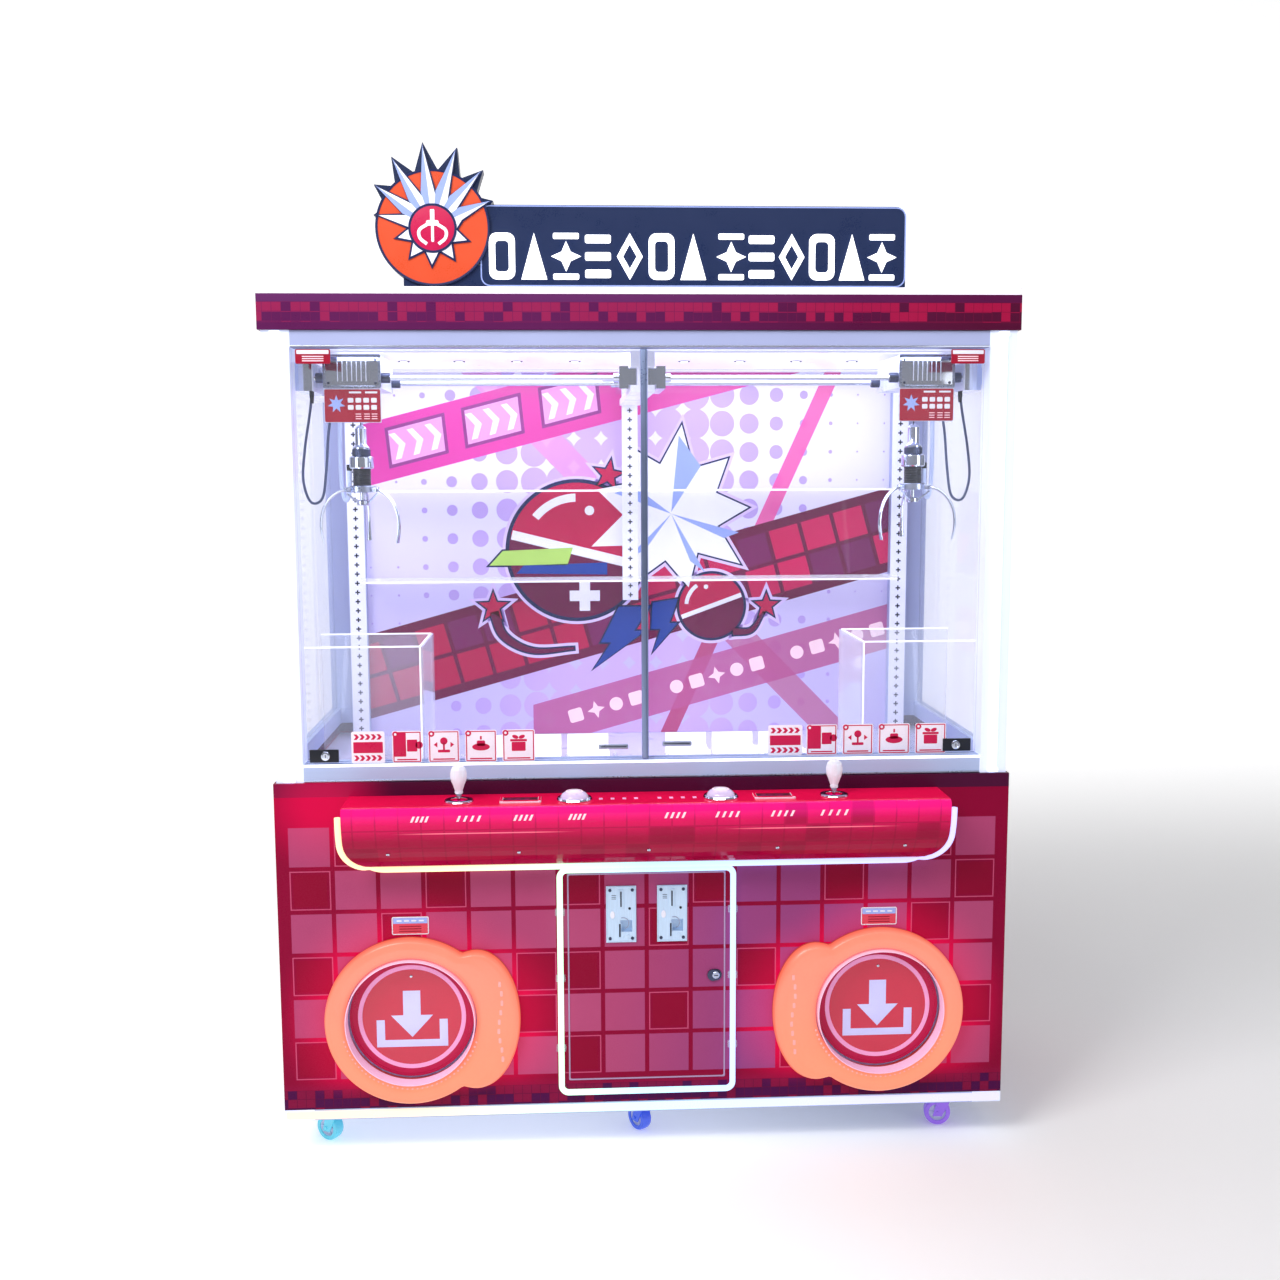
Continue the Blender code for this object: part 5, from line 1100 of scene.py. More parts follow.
def build_light_tube():
    half, radius, bottom = 0.6475, 0.0825, 0.655
    flat = half - radius
    turn = np.radians(np.linspace(180.0, 270.0, 25))
    left = np.stack([-flat + radius * np.cos(turn), bottom + radius + radius * np.sin(turn)], 1)
    right = np.stack([-left[::-1, 0], left[::-1, 1]], 1)
    outline = np.vstack([[(-half, 0.797), (-half, 0.785), (-half, 0.77), (-half, 0.755)], left,
        np.stack([np.linspace(-flat, flat, 20)[1:-1], np.full(18, bottom)], 1), right, [(half, 0.755), (half, 0.77),
        (half, 0.785), (half, 0.797)]])
    path = smooth_route(np.stack([outline[:, 0], neon_depth(outline[:, 1]), outline[:, 1]], 1), 200)
    console_tube = sweep(path, circle(0.0, 0.0, 0.0065, 16), (0.0, 1.0, 0.12))
    door = rounded(-0.19, 0.19, 0.1395, 0.6455, 0.016, 8)
    door_path = placed(door, -0.347, "XZ")
    door_tube = sweep(door_path, circle(0.0, 0.0, 0.0065, 16), (0.0, 1.0, 0.0), closed=True)
    piece("light_tube", "cabinet", "neon_trim", (merged(console_tube, door_tube), "tube_light"), sharp=60.0,
        instead_of=("neon_trim",))
    clip = band(rounded(-0.0105, 0.0105, -0.008, 0.008, 0.002, 3), rounded(-0.0065, 0.0065, -0.005, 0.005, 0.002, 3),
        -0.3402, -0.342, 0.0004)
    spots = [(x, 0.0, z) for x in (-0.19, 0.19) for z in (0.24, 0.4, 0.55)]
    piece("light_tube_clips", "cabinet", "neon_trim", (repeated(clip, spots), "acrylic"))


def build_console():
    cover("console_housing", "console_red")
    screw_z = 0.712
    lower = -0.3403 - 0.1197 * math.sqrt(1.0 - ((0.8 - screw_z) / 0.1375) ** 2)
    studs = [rotated(screw(x, lower, screw_z, 0.0042), 38.0, "X", (x, lower, screw_z)) for x in (-0.548, -0.274, 0.0,
        0.274, 0.548)]
    piece("console_screws", "cabinet", "console_housing", (studs, "chrome"))
    spans = ((-0.497, -0.458), (-0.402, -0.35), (-0.284, -0.242), (-0.17, -0.132), (0.031, 0.077), (0.138, 0.19),
        (0.255, 0.306), (0.36, 0.42))
    starts = np.concatenate([np.linspace(a, b - 0.01, 4) for a, b in spans])
    slant = np.array([(0.0, 0.0), (0.005, 0.0), (0.0105, 0.0125), (0.0055, 0.0125)])
    dash = slab(slant, 0.0, -0.0006, 0.0002)
    dash = rotated((dash[0] + (0.0, -0.4602, 0.7865), dash[1]), 3.0, "X", (0.0, -0.4602, 0.79))
    piece("console_dashes", "cabinet", "console_housing", (repeated(dash, [(x, 0.0, 0.0) for x in starts]),
        "dash_pink"))
    top = CONSOLE_TOP
    mark = slab(rounded(-0.004, 0.004, -0.0075, 0.0075, 0.0015, 3), top - 0.0004, top + 0.0003, 0.0001, "XY")
    places = [(x, CONTROL_Y, 0.0) for x in np.linspace(-0.1, 0.1, 9) if abs(x) > 0.001]
    piece("console_top_marks", "cabinet", "console_housing", (repeated(mark, places), "flap_pink"))
    for name, side in SIDES:
        x = side * DISPLAY_X
        outer = rounded(x - 0.0435, x + 0.0435, CONTROL_Y - 0.03, CONTROL_Y + 0.023, 0.004)
        inner = rounded(x - 0.0365, x + 0.0365, CONTROL_Y - 0.025, CONTROL_Y + 0.0185, 0.002)
        rim = band(outer, inner, top + 0.0002, top + 0.0036, 0.001, "XY")
        window = slab(rounded(x - 0.0375, x + 0.0375, CONTROL_Y - 0.026, CONTROL_Y + 0.0195, 0.002), top,
            top + 0.0022, 0.0004, "XY")
        segment = slab(rounded(-0.006, 0.006, -0.0085, 0.0085, 0.001, 2), top + 0.0022, top + 0.0025, 0.0001, "XY")
        digits = repeated(segment, [(x + dx, CONTROL_Y, 0.0) for dx in (-0.022, -0.006, 0.014)])
        piece(name + "_display", "cabinet", "console_housing", (rim, "display_frame"), (window, "display_window"),
            (digits, "art_wine"))
        x = side * BUTTON_X
        bezel = turned([(0.0303, 0.0), (0.0372, 0.0), (0.0376, 0.0018), (0.0358, 0.005), (0.033, 0.0062), (0.0306,
            0.0055)], 64, (x, CONTROL_Y, top), closed=True)
        piece(name + "_button_bezel", "cabinet", "console_housing", (bezel, "chrome"))
        dome = [(0.0, 0.802), (0.0338, 0.802), (0.0338, 0.8054), (0.0296, 0.8064), (0.0296, 0.8205)]
        arc = np.radians(np.linspace(4.0, 90.0, 14))
        dome += [(0.0296 * math.cos(a), 0.8205 + 0.0158 * math.sin(a)) for a in arc]
        dome[-1] = (0.0, 0.8363)
        ring = turned([(0.015, 0.8318), (0.018, 0.8318), (0.0186, 0.8332), (0.017, 0.8343), (0.015, 0.8343)], 40, (x,
            CONTROL_Y, 0.0), closed=True)
        piece(name + "_dome_button", name + "_button", name + "_button", (turned(dome, 64, (x, CONTROL_Y, 0.0)),
            "dome_lens"), (ring, "dash_pink"), instead_of=(name + "_button",), sharp=40.0)
        x = side * JOYSTICK_X
        washer = turned([(0.0172, 0.0), (0.0302, 0.0), (0.0306, 0.0012), (0.0292, 0.0034), (0.024, 0.0042), (0.018,
            0.0038)], 64, (x, CONTROL_Y, top), closed=True)
        piece(name + "_joystick_washer", "cabinet", "console_housing", (washer, "chrome"))
        profile = np.array([(0.0, 0.832), (0.0075, 0.8322), (0.0088, 0.8355), (0.0082, 0.839), (0.01, 0.844), (0.013,
            0.852), (0.0166, 0.86), (0.0184, 0.87), (0.0181, 0.877), (0.016, 0.8845), (0.0118, 0.8905), (0.006,
            0.8945), (0.0, 0.8953)])
        knob = turned(profile, 18, (x, CONTROL_Y, 0.0))
        facets = knob[0].copy()
        heights = facets[:, 2]
        local = facets[:, :2] - (x, CONTROL_Y)
        angle = np.arctan2(local[:, 1], local[:, 0])
        cut = 1.0 - 0.045 * np.abs(np.sin(4.5 * angle + 160.0 * heights)) * (heights > 0.845)
        facets[:, :2] = (x, CONTROL_Y) + local * cut[:, None]
        shaft = turned([(0.0, 0.769), (0.004, 0.769), (0.004, 0.8325), (0.0, 0.8325)], 20, (x, CONTROL_Y, 0.0))
        boot = turned([(0.0, 0.8268), (0.0052, 0.8268), (0.0064, 0.8276), (0.0062, 0.831), (0.0, 0.8322)], 32, (x,
            CONTROL_Y, 0.0))
        core = turned([(0.0, 0.835), (0.0035, 0.835), (0.006, 0.856), (0.0075, 0.87), (0.0045, 0.883), (0.0, 0.886)],
            12, (x, CONTROL_Y, 0.0))
        piece(name + "_crystal_knob", name + "_stick", name + "_joystick", ((facets, knob[1]), "crystal"), (core,
            "display_frame"), (shaft, "chrome"), (boot, "brushed_steel"), instead_of=(name + "_joystick",),
            sharp=14.0)
        cover(name + "_joystick_gimbal", "brushed_steel")


def build_base():
    section = rounded(-0.0045, 0.0045, -0.01, 0.01, 0.0042, 4)
    right = np.array([(0.79, -0.3385), (0.796, -0.336), (0.7975, -0.33), (0.7975, 0.0), (0.7975, 0.2), (0.7975,
        0.45)])
    front = np.array([(x, -0.3385) for x in (-0.6, -0.3, 0.0, 0.3, 0.6)])
    path = placed(np.vstack([right[::-1] * (-1.0, 1.0), front, right]), 0.0995, "XY")
    strip = sweep(path, section, (0.0, 0.0, 1.0))
    piece("base_light_strip", "cabinet", "base_frame", (strip, "base_light"), sharp=50.0)
    for name in ("front_left", "front_middle", "front_right"):
        cover(name + "_caster_fork", "caster_plastic")
        make_wheel(name, name + "_caster_wheel")
    for side_name, _ in SIDES:
        make_wheel(f"rear_{side_name}", f"rear_{side_name}_caster_wheel")


def make_wheel(name, node):
    """A caster wheel about its CAD node's own axis: a crowned tyre, a dished hub with ribs and an axle cap."""
    co = np.zeros(len(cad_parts[node].data.vertices) * 3)
    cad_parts[node].data.vertices.foreach_get("co", co)
    co = co.reshape(-1, 3)
    centre = (co.min(0) + co.max(0)) / 2
    axis = np.linalg.eigh(np.cov((co - centre).T))[1][:, 0]
    half = 0.5 * np.ptp((co - centre) @ axis)
    radius = float(np.max(np.linalg.norm(co - centre - np.outer((co - centre) @ axis, axis), axis=1)))
    tread = [(0.66 * radius, -half), (0.93 * radius, -0.98 * half), (0.985 * radius, -0.72 * half), (radius,
        -0.3 * half), (radius, 0.3 * half), (0.985 * radius, 0.72 * half), (0.93 * radius, 0.98 * half),
        (0.66 * radius, half)]
    hub = [(0.0, -0.8 * half), (0.2 * radius, -0.82 * half), (0.24 * radius, -0.55 * half), (0.56 * radius,
        -0.5 * half), (0.66 * radius, -0.9 * half), (0.66 * radius, 0.9 * half), (0.56 * radius, 0.5 * half),
        (0.24 * radius, 0.55 * half), (0.2 * radius, 0.82 * half), (0.0, 0.8 * half)]
    up = np.array([0.0, 0.0, 1.0])
    basis = np.stack([unit(np.cross(axis, up)), up, axis], 1)

    def stand(shape):
        return shape[0] @ basis.T + centre, shape[1]

    tyre = turned(tread + [(0.64 * radius, 0.9 * half), (0.64 * radius, -0.9 * half)], 48, (0.0, 0.0, 0.0),
        closed=True)
    rib = bar((0.22 * radius, 0.62 * radius), (-0.03 * radius, 0.03 * radius), (-0.72 * half, 0.72 * half), 0.0005)
    ribs = merged(*(rotated(rib, a, "Z", (0.0, 0.0, 0.0)) for a in range(0, 360, 60)))
    piece(name + "_wheel_tyre", name + "_wheel", node, (outward(stand(tyre)), "caster_plastic"),
        (outward(stand(turned(hub, 32, (0.0, 0.0, 0.0)))), "white_enamel"), (outward(stand(ribs)), "white_enamel"),
        instead_of=(node,))


# ---------------------------------------------------------------- glazed upper part
def build_frame():
    cover("upper_frame", "frame_paint")
    cover("left_side_glass", "side_glass")
    cover("right_side_glass", "side_glass")
    tube = rounded(-0.0085, 0.0085, -0.0035, 0.0035, 0.0034, 4)
    parts = []
    for _, side in SIDES:
        z = np.linspace(0.8475, 1.7985, 24)
        path = np.stack([np.full(24, side * 0.764), np.full(24, -0.3365), z], 1)
        parts.append(sweep(path, tube, (0.0, 1.0, 0.0)))
    piece("post_light_tubes", "cabinet", "upper_frame", (parts, "post_light"), sharp=50.0)
    caps = []
    for _, side in SIDES:
        for z in (0.8525, 1.793):
            caps.append(slab(rounded(side * 0.764 - 0.0115, side * 0.764 + 0.0115, z - 0.005, z + 0.005, 0.002),
                -0.334, -0.3412, 0.0008))
    piece("post_light_caps", "cabinet", "upper_frame", (caps, "acrylic_edge"))
    rim = rounded(-0.007, 0.007, -0.0065, 0.0065, 0.004, 4)
    z = 1.881
    corners = rounded(-0.796, 0.796, -0.336, 0.456, 0.008, 4)
    piece("canopy_light_rim", "cabinet", "canopy", (sweep(placed(corners, z, "XY"), rim, (0.0, 0.0, 1.0),
        closed=True), "rim_light"), sharp=50.0)
    piece("header_edge", "cabinet", "upper_frame", (bar((-0.735, 0.735), (-0.3352, -0.333), (1.7655, 1.769), 0.0008),
        "chrome"), (bar((-0.735, 0.735), (-0.3352, -0.333), (0.879, 0.8848), 0.0008), "lit_white"), (bar((-0.735,
        0.735), (-0.335, -0.333), (0.8465, 0.85), 0.0008), "brushed_steel"))
    plus = slab(cross(0.0, 0.0, 0.0062, 0.0019), 0.0, -0.0004, 0.0001, steps=1)
    steps = np.arange(1.184, 1.752, 0.024)
    middle = repeated(plus, [(0.0, 0.3579, z) for z in steps])
    post_front = 0.3603
    rear_steps = np.arange(0.836, 1.755, 0.024)
    rear = repeated(plus, [(side * 0.7125, post_front, z) for _, side in SIDES for z in rear_steps])
    piece("upright_slots", "cabinet", "display_rack", (middle, "slot_black"))
    piece("rear_post_slots", "cabinet", "upper_frame", (rear, "slot_black"))
    for name, side in SIDES:
        x = side * 0.688
        outline = rounded(x - 0.036, x + 0.036, 1.731, 1.761, 0.003)
        plate = slab(outline, -0.3335, -0.336, 0.0004)
        head = slab(rounded(x - 0.033, x + 0.033, 1.751, 1.759, 0.001), -0.336, -0.3364, 0.0001)
        lines = repeated(slab(rounded(-0.022, 0.022, -0.001, 0.001, 0.0005, 2), -0.336, -0.3364, 0.0001), [(x, 0.0,
            z) for z in (1.746, 1.7415, 1.737)])
        piece(name + "_header_label", "cabinet", "upper_frame", (plate, "label_red"), (head, "label_white"), (lines,
            "dash_pink"))


def icon_shapes(kind, x, z, y):
    """Small generic pictograms for the instruction cards: a slot, a lever, a push button and a gift."""
    front = y - 0.0003
    if kind == 0:
        return [slab(rounded(x - 0.012, x + 0.01, z - 0.014, z + 0.012, 0.002), y, front, 0.0001),
            slab(circle(x + 0.014, z, 0.008, 20), y, front, 0.0001)]
    if kind == 1:
        return [slab(circle(x, z + 0.008, 0.008, 20), y, front, 0.0001), slab(rounded(x - 0.002, x + 0.002, z - 0.012,
            z + 0.004, 0.001, 2), y, front, 0.0001), slab(rounded(x - 0.013, x + 0.013, z - 0.017, z - 0.011, 0.002),
            y, front, 0.0001), slab([(x - 0.022, z), (x - 0.014, z + 0.006), (x - 0.014, z - 0.006)], y, front,
            0.0001), slab([(x + 0.022, z), (x + 0.014, z - 0.006), (x + 0.014, z + 0.006)], y, front, 0.0001)]
    if kind == 2:
        return [slab(ellipse(x, z - 0.006, 0.019, 0.008), y, front, 0.0001), slab(rounded(x - 0.009, x + 0.009,
            z - 0.004, z + 0.008, 0.003), y, front, 0.0001), slab(rounded(x - 0.002, x + 0.002, z + 0.01, z + 0.018,
            0.001, 2), y, front, 0.0001)]
    return [slab(rounded(x - 0.015, x + 0.015, z - 0.016, z + 0.004, 0.002), y, front, 0.0001),
        slab(rounded(x - 0.018, x + 0.018, z + 0.005, z + 0.01, 0.001, 2), y, front, 0.0001), slab(ellipse(x - 0.007,
        z + 0.015, 0.007, 0.004, 16, -20.0), y, front, 0.0001), slab(ellipse(x + 0.007, z + 0.015, 0.007, 0.004, 16,
        20.0), y, front, 0.0001)]


def build_doors():
    for name, side in SIDES:
        body = name + "_door"
        y = -0.329 if side < 0 else -0.304
        outer, meeting = side * 0.7335, side * -0.006
        stile_end = meeting + side * 0.014
        pane = slab(rounded(outer, meeting, 0.878, 1.778, 0.0015, 2), y + 0.006, y, 0.0006, both=True)
        piece(name + "_door_pane", body, name + "_glass_door", (pane, "door_glass"), instead_of=(name + "_glass_door",
            ))
        stile = bar((min(meeting, stile_end), max(meeting, stile_end)), (y - 0.0035, y + 0.0095), (0.888, 1.762),
            0.0012)
        lines = [bar((meeting + side * 0.003, meeting + side * 0.0036), (y - 0.0038, y - 0.003), (0.889, 1.761),
            0.0002)]
        piece(name + "_door_stile", body, name + "_glass_door", (stile, "frame_metal"), (lines, "dark_steel"))
        low, high = side * 0.038, side * 0.102
        pull = bar((min(low, high), max(low, high)), (y - 0.0046, y + 0.0005), (0.909, 0.92), 0.002)
        groove = bar((min(low, high) + 0.004, max(low, high) - 0.004), (y - 0.0049, y - 0.0042), (0.9135, 0.9155),
            0.0003)
        piece(name + "_door_pull", body, name + "_glass_door", (pull, "brushed_steel"), (groove, "slot_black"))
        low, high = side * 0.66, side * 0.722
        plate = bar((min(low, high), max(low, high)), (y - 0.0042, y + 0.0005), (0.889, 0.917), 0.0012)
        x = side * 0.688
        cylinder = turned([(0.0, 0.0), (0.01, 0.0), (0.0104, -0.0012), (0.0092, -0.0034), (0.0062, -0.0038), (0.0058,
            -0.0026), (0.0, -0.0026)], 32, (x, y - 0.004, 0.903), "Y")
        way = slab(rounded(x - 0.0007, x + 0.0007, 0.8995, 0.9065, 0.0004, 2), y - 0.0064, y - 0.007, 0.0001)
        piece(name + "_door_lock", body, name + "_glass_door", (plate, "black_plastic"), (cylinder, "chrome"), (way,
            "slot_black"))
        build_cards(name, side, body, y)


def build_cards(name, side, body, y):
    """Five instruction cards on the pane: one of chevrons and four with a framed pictogram and a round mark."""
    if side < 0:
        spans = [(-0.633, -0.562), (-0.546, -0.483), (-0.469, -0.402), (-0.39, -0.322), (-0.31, -0.24)]
        low, high = 0.885, 0.955
    else:
        spans = [(0.271, 0.347), (0.356, 0.424), (0.436, 0.504), (0.516, 0.586), (0.598, 0.667)]
        low, high = 0.884, 0.952
    white, red, marks = [], [], []
    for number, (a, b) in enumerate(spans):
        outline = rounded(a, b, low, high, 0.004)
        white.append(slab(outline, y - 0.0001, y - 0.0006, 0.0001))
        if number == 0:
            step = (b - a - 0.01) / 5
            for z in (low + 0.006, high - 0.018):
                for k in range(5):
                    x = a + 0.005 + k * step
                    w = 0.55 * step
                    chevron = np.array([(x, z), (x + w, z), (x + w + 0.4 * step, z + 0.006), (x + w, z + 0.012), (x,
                        z + 0.012), (x + 0.4 * step, z + 0.006)])
                    red.append(slab(chevron, y - 0.0006, y - 0.0009, 0.0001, steps=1))
            red.append(slab(rounded(a + 0.004, b - 0.004, low + 0.023, high - 0.023, 0.001, 2), y - 0.0006,
                y - 0.0009, 0.0001))
            continue
        edge = inset(anticlockwise(rounded(a, b, low, high, 0.004)), 0.002)
        red.append(band(edge, inset(edge, 0.0022), y - 0.0006, y - 0.0009, 0.0001))
        middle = ((a + b) / 2, (low + high) / 2 + 0.004)
        if number == 1:
            red.append(slab(rounded(a + 0.004, (a + b) / 2 - 0.002, low + 0.014, high - 0.004, 0.001, 2), y - 0.0006,
                y - 0.0008, 0.0001))
            middle = (middle[0] + 0.012, middle[1])
        red += icon_shapes(number - 1, middle[0], middle[1], y - 0.0006)
        marks.append(slab(circle(a + 0.007, high - 0.007, 0.0065, 20), y - 0.0006, y - 0.0011, 0.0001))
        red.append(slab(rounded(a + 0.01, b - 0.01, low + 0.006, low + 0.009, 0.001, 2), y - 0.0006, y - 0.0008,
            0.0001))
    dots = [slab(circle(x[0].mean(0)[0], x[0].mean(0)[2], 0.0028, 14), y - 0.0011, y - 0.0014, 0.0001) for x in marks]
    piece(name + "_cards", body, name + "_glass_door", (white, "card_white"), (red, "card_red"), (marks, "card_red"),
        (dots, "card_white"))


# ---------------------------------------------------------------- inside
def build_board():
    cover("back_board", "board_art")
    y = BOARD_FRONT

    def layer(outline, number, thick=0.00012):
        return slab(np.asarray(outline, float), y + 0.0001, y - thick * number, 0.00004, steps=1)

    slope = math.radians(14.45)
    along, across = np.array([math.cos(slope), math.sin(slope)]), np.array([-math.sin(slope), math.cos(slope)])
    plum, pink, blocks = [], [], []
    for centre in ((-0.553, 1.5885), (-0.355, 1.6395), (-0.155, 1.691)):
        box = np.array([np.array(centre) + a * along + b * across for a, b in ((-0.088, -0.052), (0.072, -0.052),
            (0.088, 0.052), (-0.072, 0.052))])
        plum.append(layer(box, 1))
        pink.append(layer(inset(anticlockwise(box), 0.0085), 3))
        for offset in (-0.048, 0.0, 0.048):
            chevron = ((-0.018, -0.034), (-0.002, -0.034), (0.018, 0.0), (-0.002, 0.034), (-0.018, 0.034), (0.0, 0.0))
            blocks.append(layer([np.array(centre) + (a + offset) * along + b * across for a, b in chevron], 4))
    piece("art_band_boxes", "cabinet", "back_board", (plum, "art_plum"), (pink, "art_pink"), (blocks, "art_white"),
        sharp=20.0)

    def half_disc(a, b, radius, start, end):
        turn = np.radians(np.linspace(start, end, 33))
        return np.stack([a + radius * np.cos(turn), b + radius * np.sin(turn)], 1)

    def capsule(a, b, radius, tilt):
        """A two-tone prize capsule: outline, upper shell, lower shell, belt and two glossy marks."""
        belt = np.array([(-1.0, -0.07), (1.0, -0.07), (1.0, 0.07), (-1.0, 0.07)]) * 0.985 * radius
        c, s = math.cos(math.radians(tilt)), math.sin(math.radians(tilt))
        belt = belt @ np.array([[c, s], [-s, c]]) + (a, b)
        arc_in, arc_out = half_disc(a, b, 0.72 * radius, 105.0 + tilt, 155.0 + tilt), half_disc(a, b, 0.84 * radius,
            155.0 + tilt, 105.0 + tilt)
        return (circle(a, b, radius * 1.03, 64), half_disc(a, b, radius, tilt, tilt + 180.0), half_disc(a, b, radius,
            tilt + 180.0, tilt + 360.0), belt, np.vstack([arc_in, arc_out]), half_disc(a, b, 0.7 * radius,
            70.0 + tilt, 430.0 + tilt) * 0.1 + np.array([(a,
            b)]) * 0.9 + 0.62 * radius * np.array([math.cos(math.radians(86.0 + tilt)),
            math.sin(math.radians(86.0 + tilt))]))

    big = capsule(-0.14, 1.3, 0.178, -14.0)
    small = capsule(0.217, 1.15, 0.086, 20.0)
    burst = star(0.11, 1.4, 0.205, 0.128, 9, 83.0, 0.12)
    facets = [np.array([(0.11, 1.4), (0.188, 1.52), (0.13, 1.6)]), np.array([(0.11, 1.395), (0.25, 1.33), (0.29,
        1.345)]), np.array([(0.11, 1.395), (0.04, 1.3), (-0.01, 1.275)]), np.array([(0.11, 1.395), (0.01, 1.47),
        (-0.04, 1.45)]), np.array([(0.11, 1.395), (0.16, 1.27), (0.2, 1.24)])]
    bolts = [np.array([(-0.03, 1.15), (0.052, 1.15), (0.01, 1.085), (0.04, 1.085), (-0.098, 0.985), (-0.05, 1.055),
        (-0.078, 1.055)]), np.array([(0.06, 1.16), (0.128, 1.17), (0.104, 1.105), (0.126, 1.105), (0.06, 1.028),
        (0.082, 1.09), (0.056, 1.09)])]
    bars = [np.array([(-0.37, 1.262), (-0.335, 1.3), (-0.15, 1.308), (-0.165, 1.262)]), np.array([(-0.3, 1.24),
        (-0.28, 1.262), (-0.06, 1.268), (-0.06, 1.236)])]
    trails = []
    for points, width in (([(-0.36, 1.14), (-0.335, 1.075), (-0.26, 1.035), (-0.15, 1.04)], 0.012), ([(0.275, 1.08),
            (0.325, 1.085), (0.358, 1.135)], 0.009)):
        line = smooth_route(np.array(points), 24)
        ahead = unit(np.gradient(line, axis=0))
        side = np.stack([-ahead[:, 1], ahead[:, 0]], 1) * (width * np.linspace(1.0, 0.25, 24))[:, None]
        trails.append(np.vstack([line + side, (line - side)[::-1]]))
    sparks = [star(-0.362, 1.152, 0.04, 0.016, 5, 90.0), star(0.364, 1.15, 0.034, 0.014, 5, 90.0), star(-0.055, 1.498,
        0.04, 0.016, 5, 80.0)]

    def outlined(shapes, number, distance):
        return [layer(inset(anticlockwise(s), -distance), number) for s in shapes]

    halo = merged(*outlined([big[0], small[0], burst] + trails + sparks, 2, 0.012))
    edges = merged(*outlined([big[0], small[0], burst] + bolts + bars + trails + sparks, 3, 0.0045))
    piece("art_figures", "cabinet", "back_board", (halo, "art_lilac"), (edges, "navy_ink"), (merged(*(layer(k[1],
        4) for k in (big, small)), *(layer(k, 4) for k in sparks)), "art_red"), (merged(*(layer(k[2],
        4) for k in (big, small)), *(layer(k, 4) for k in trails)), "art_wine"), (merged(layer(burst, 6),
        *(layer(k[3], 5) for k in (big, small)), *(layer(k, 5) for c in (big, small) for k in c[4:]),
        layer(cross(-0.12, 1.18, 0.04, 0.014), 5)), "art_white"), ([layer(f, 7) for f in facets], "pale_blue_ink"),
        (merged(*(layer(k, 5) for k in bolts), layer(bars[1], 6)), "art_blue"), (layer(bars[0], 6), "art_green"),
        sharp=20.0)
    slope = math.radians(15.38)
    along, across = np.array([math.cos(slope), math.sin(slope)]), np.array([-math.sin(slope), math.cos(slope)])
    marks = []
    for k, offset in enumerate(np.arange(-0.1, 0.8, 0.056)):
        base = np.array([-0.05, 0.886]) + offset * along
        if k % 6 == 4:
            continue
        shape = (rounded(-0.019, 0.019, -0.018, 0.018, 0.006, 3), star(0.0, 0.0, 0.024, 0.01, 4), circle(0.0, 0.0,
            0.018, 24))[k % 3]
        marks.append(layer(base + shape @ np.array([along, across]), 2))
    piece("art_band_marks", "cabinet", "back_board", (marks, "dash_pink"), sharp=20.0)


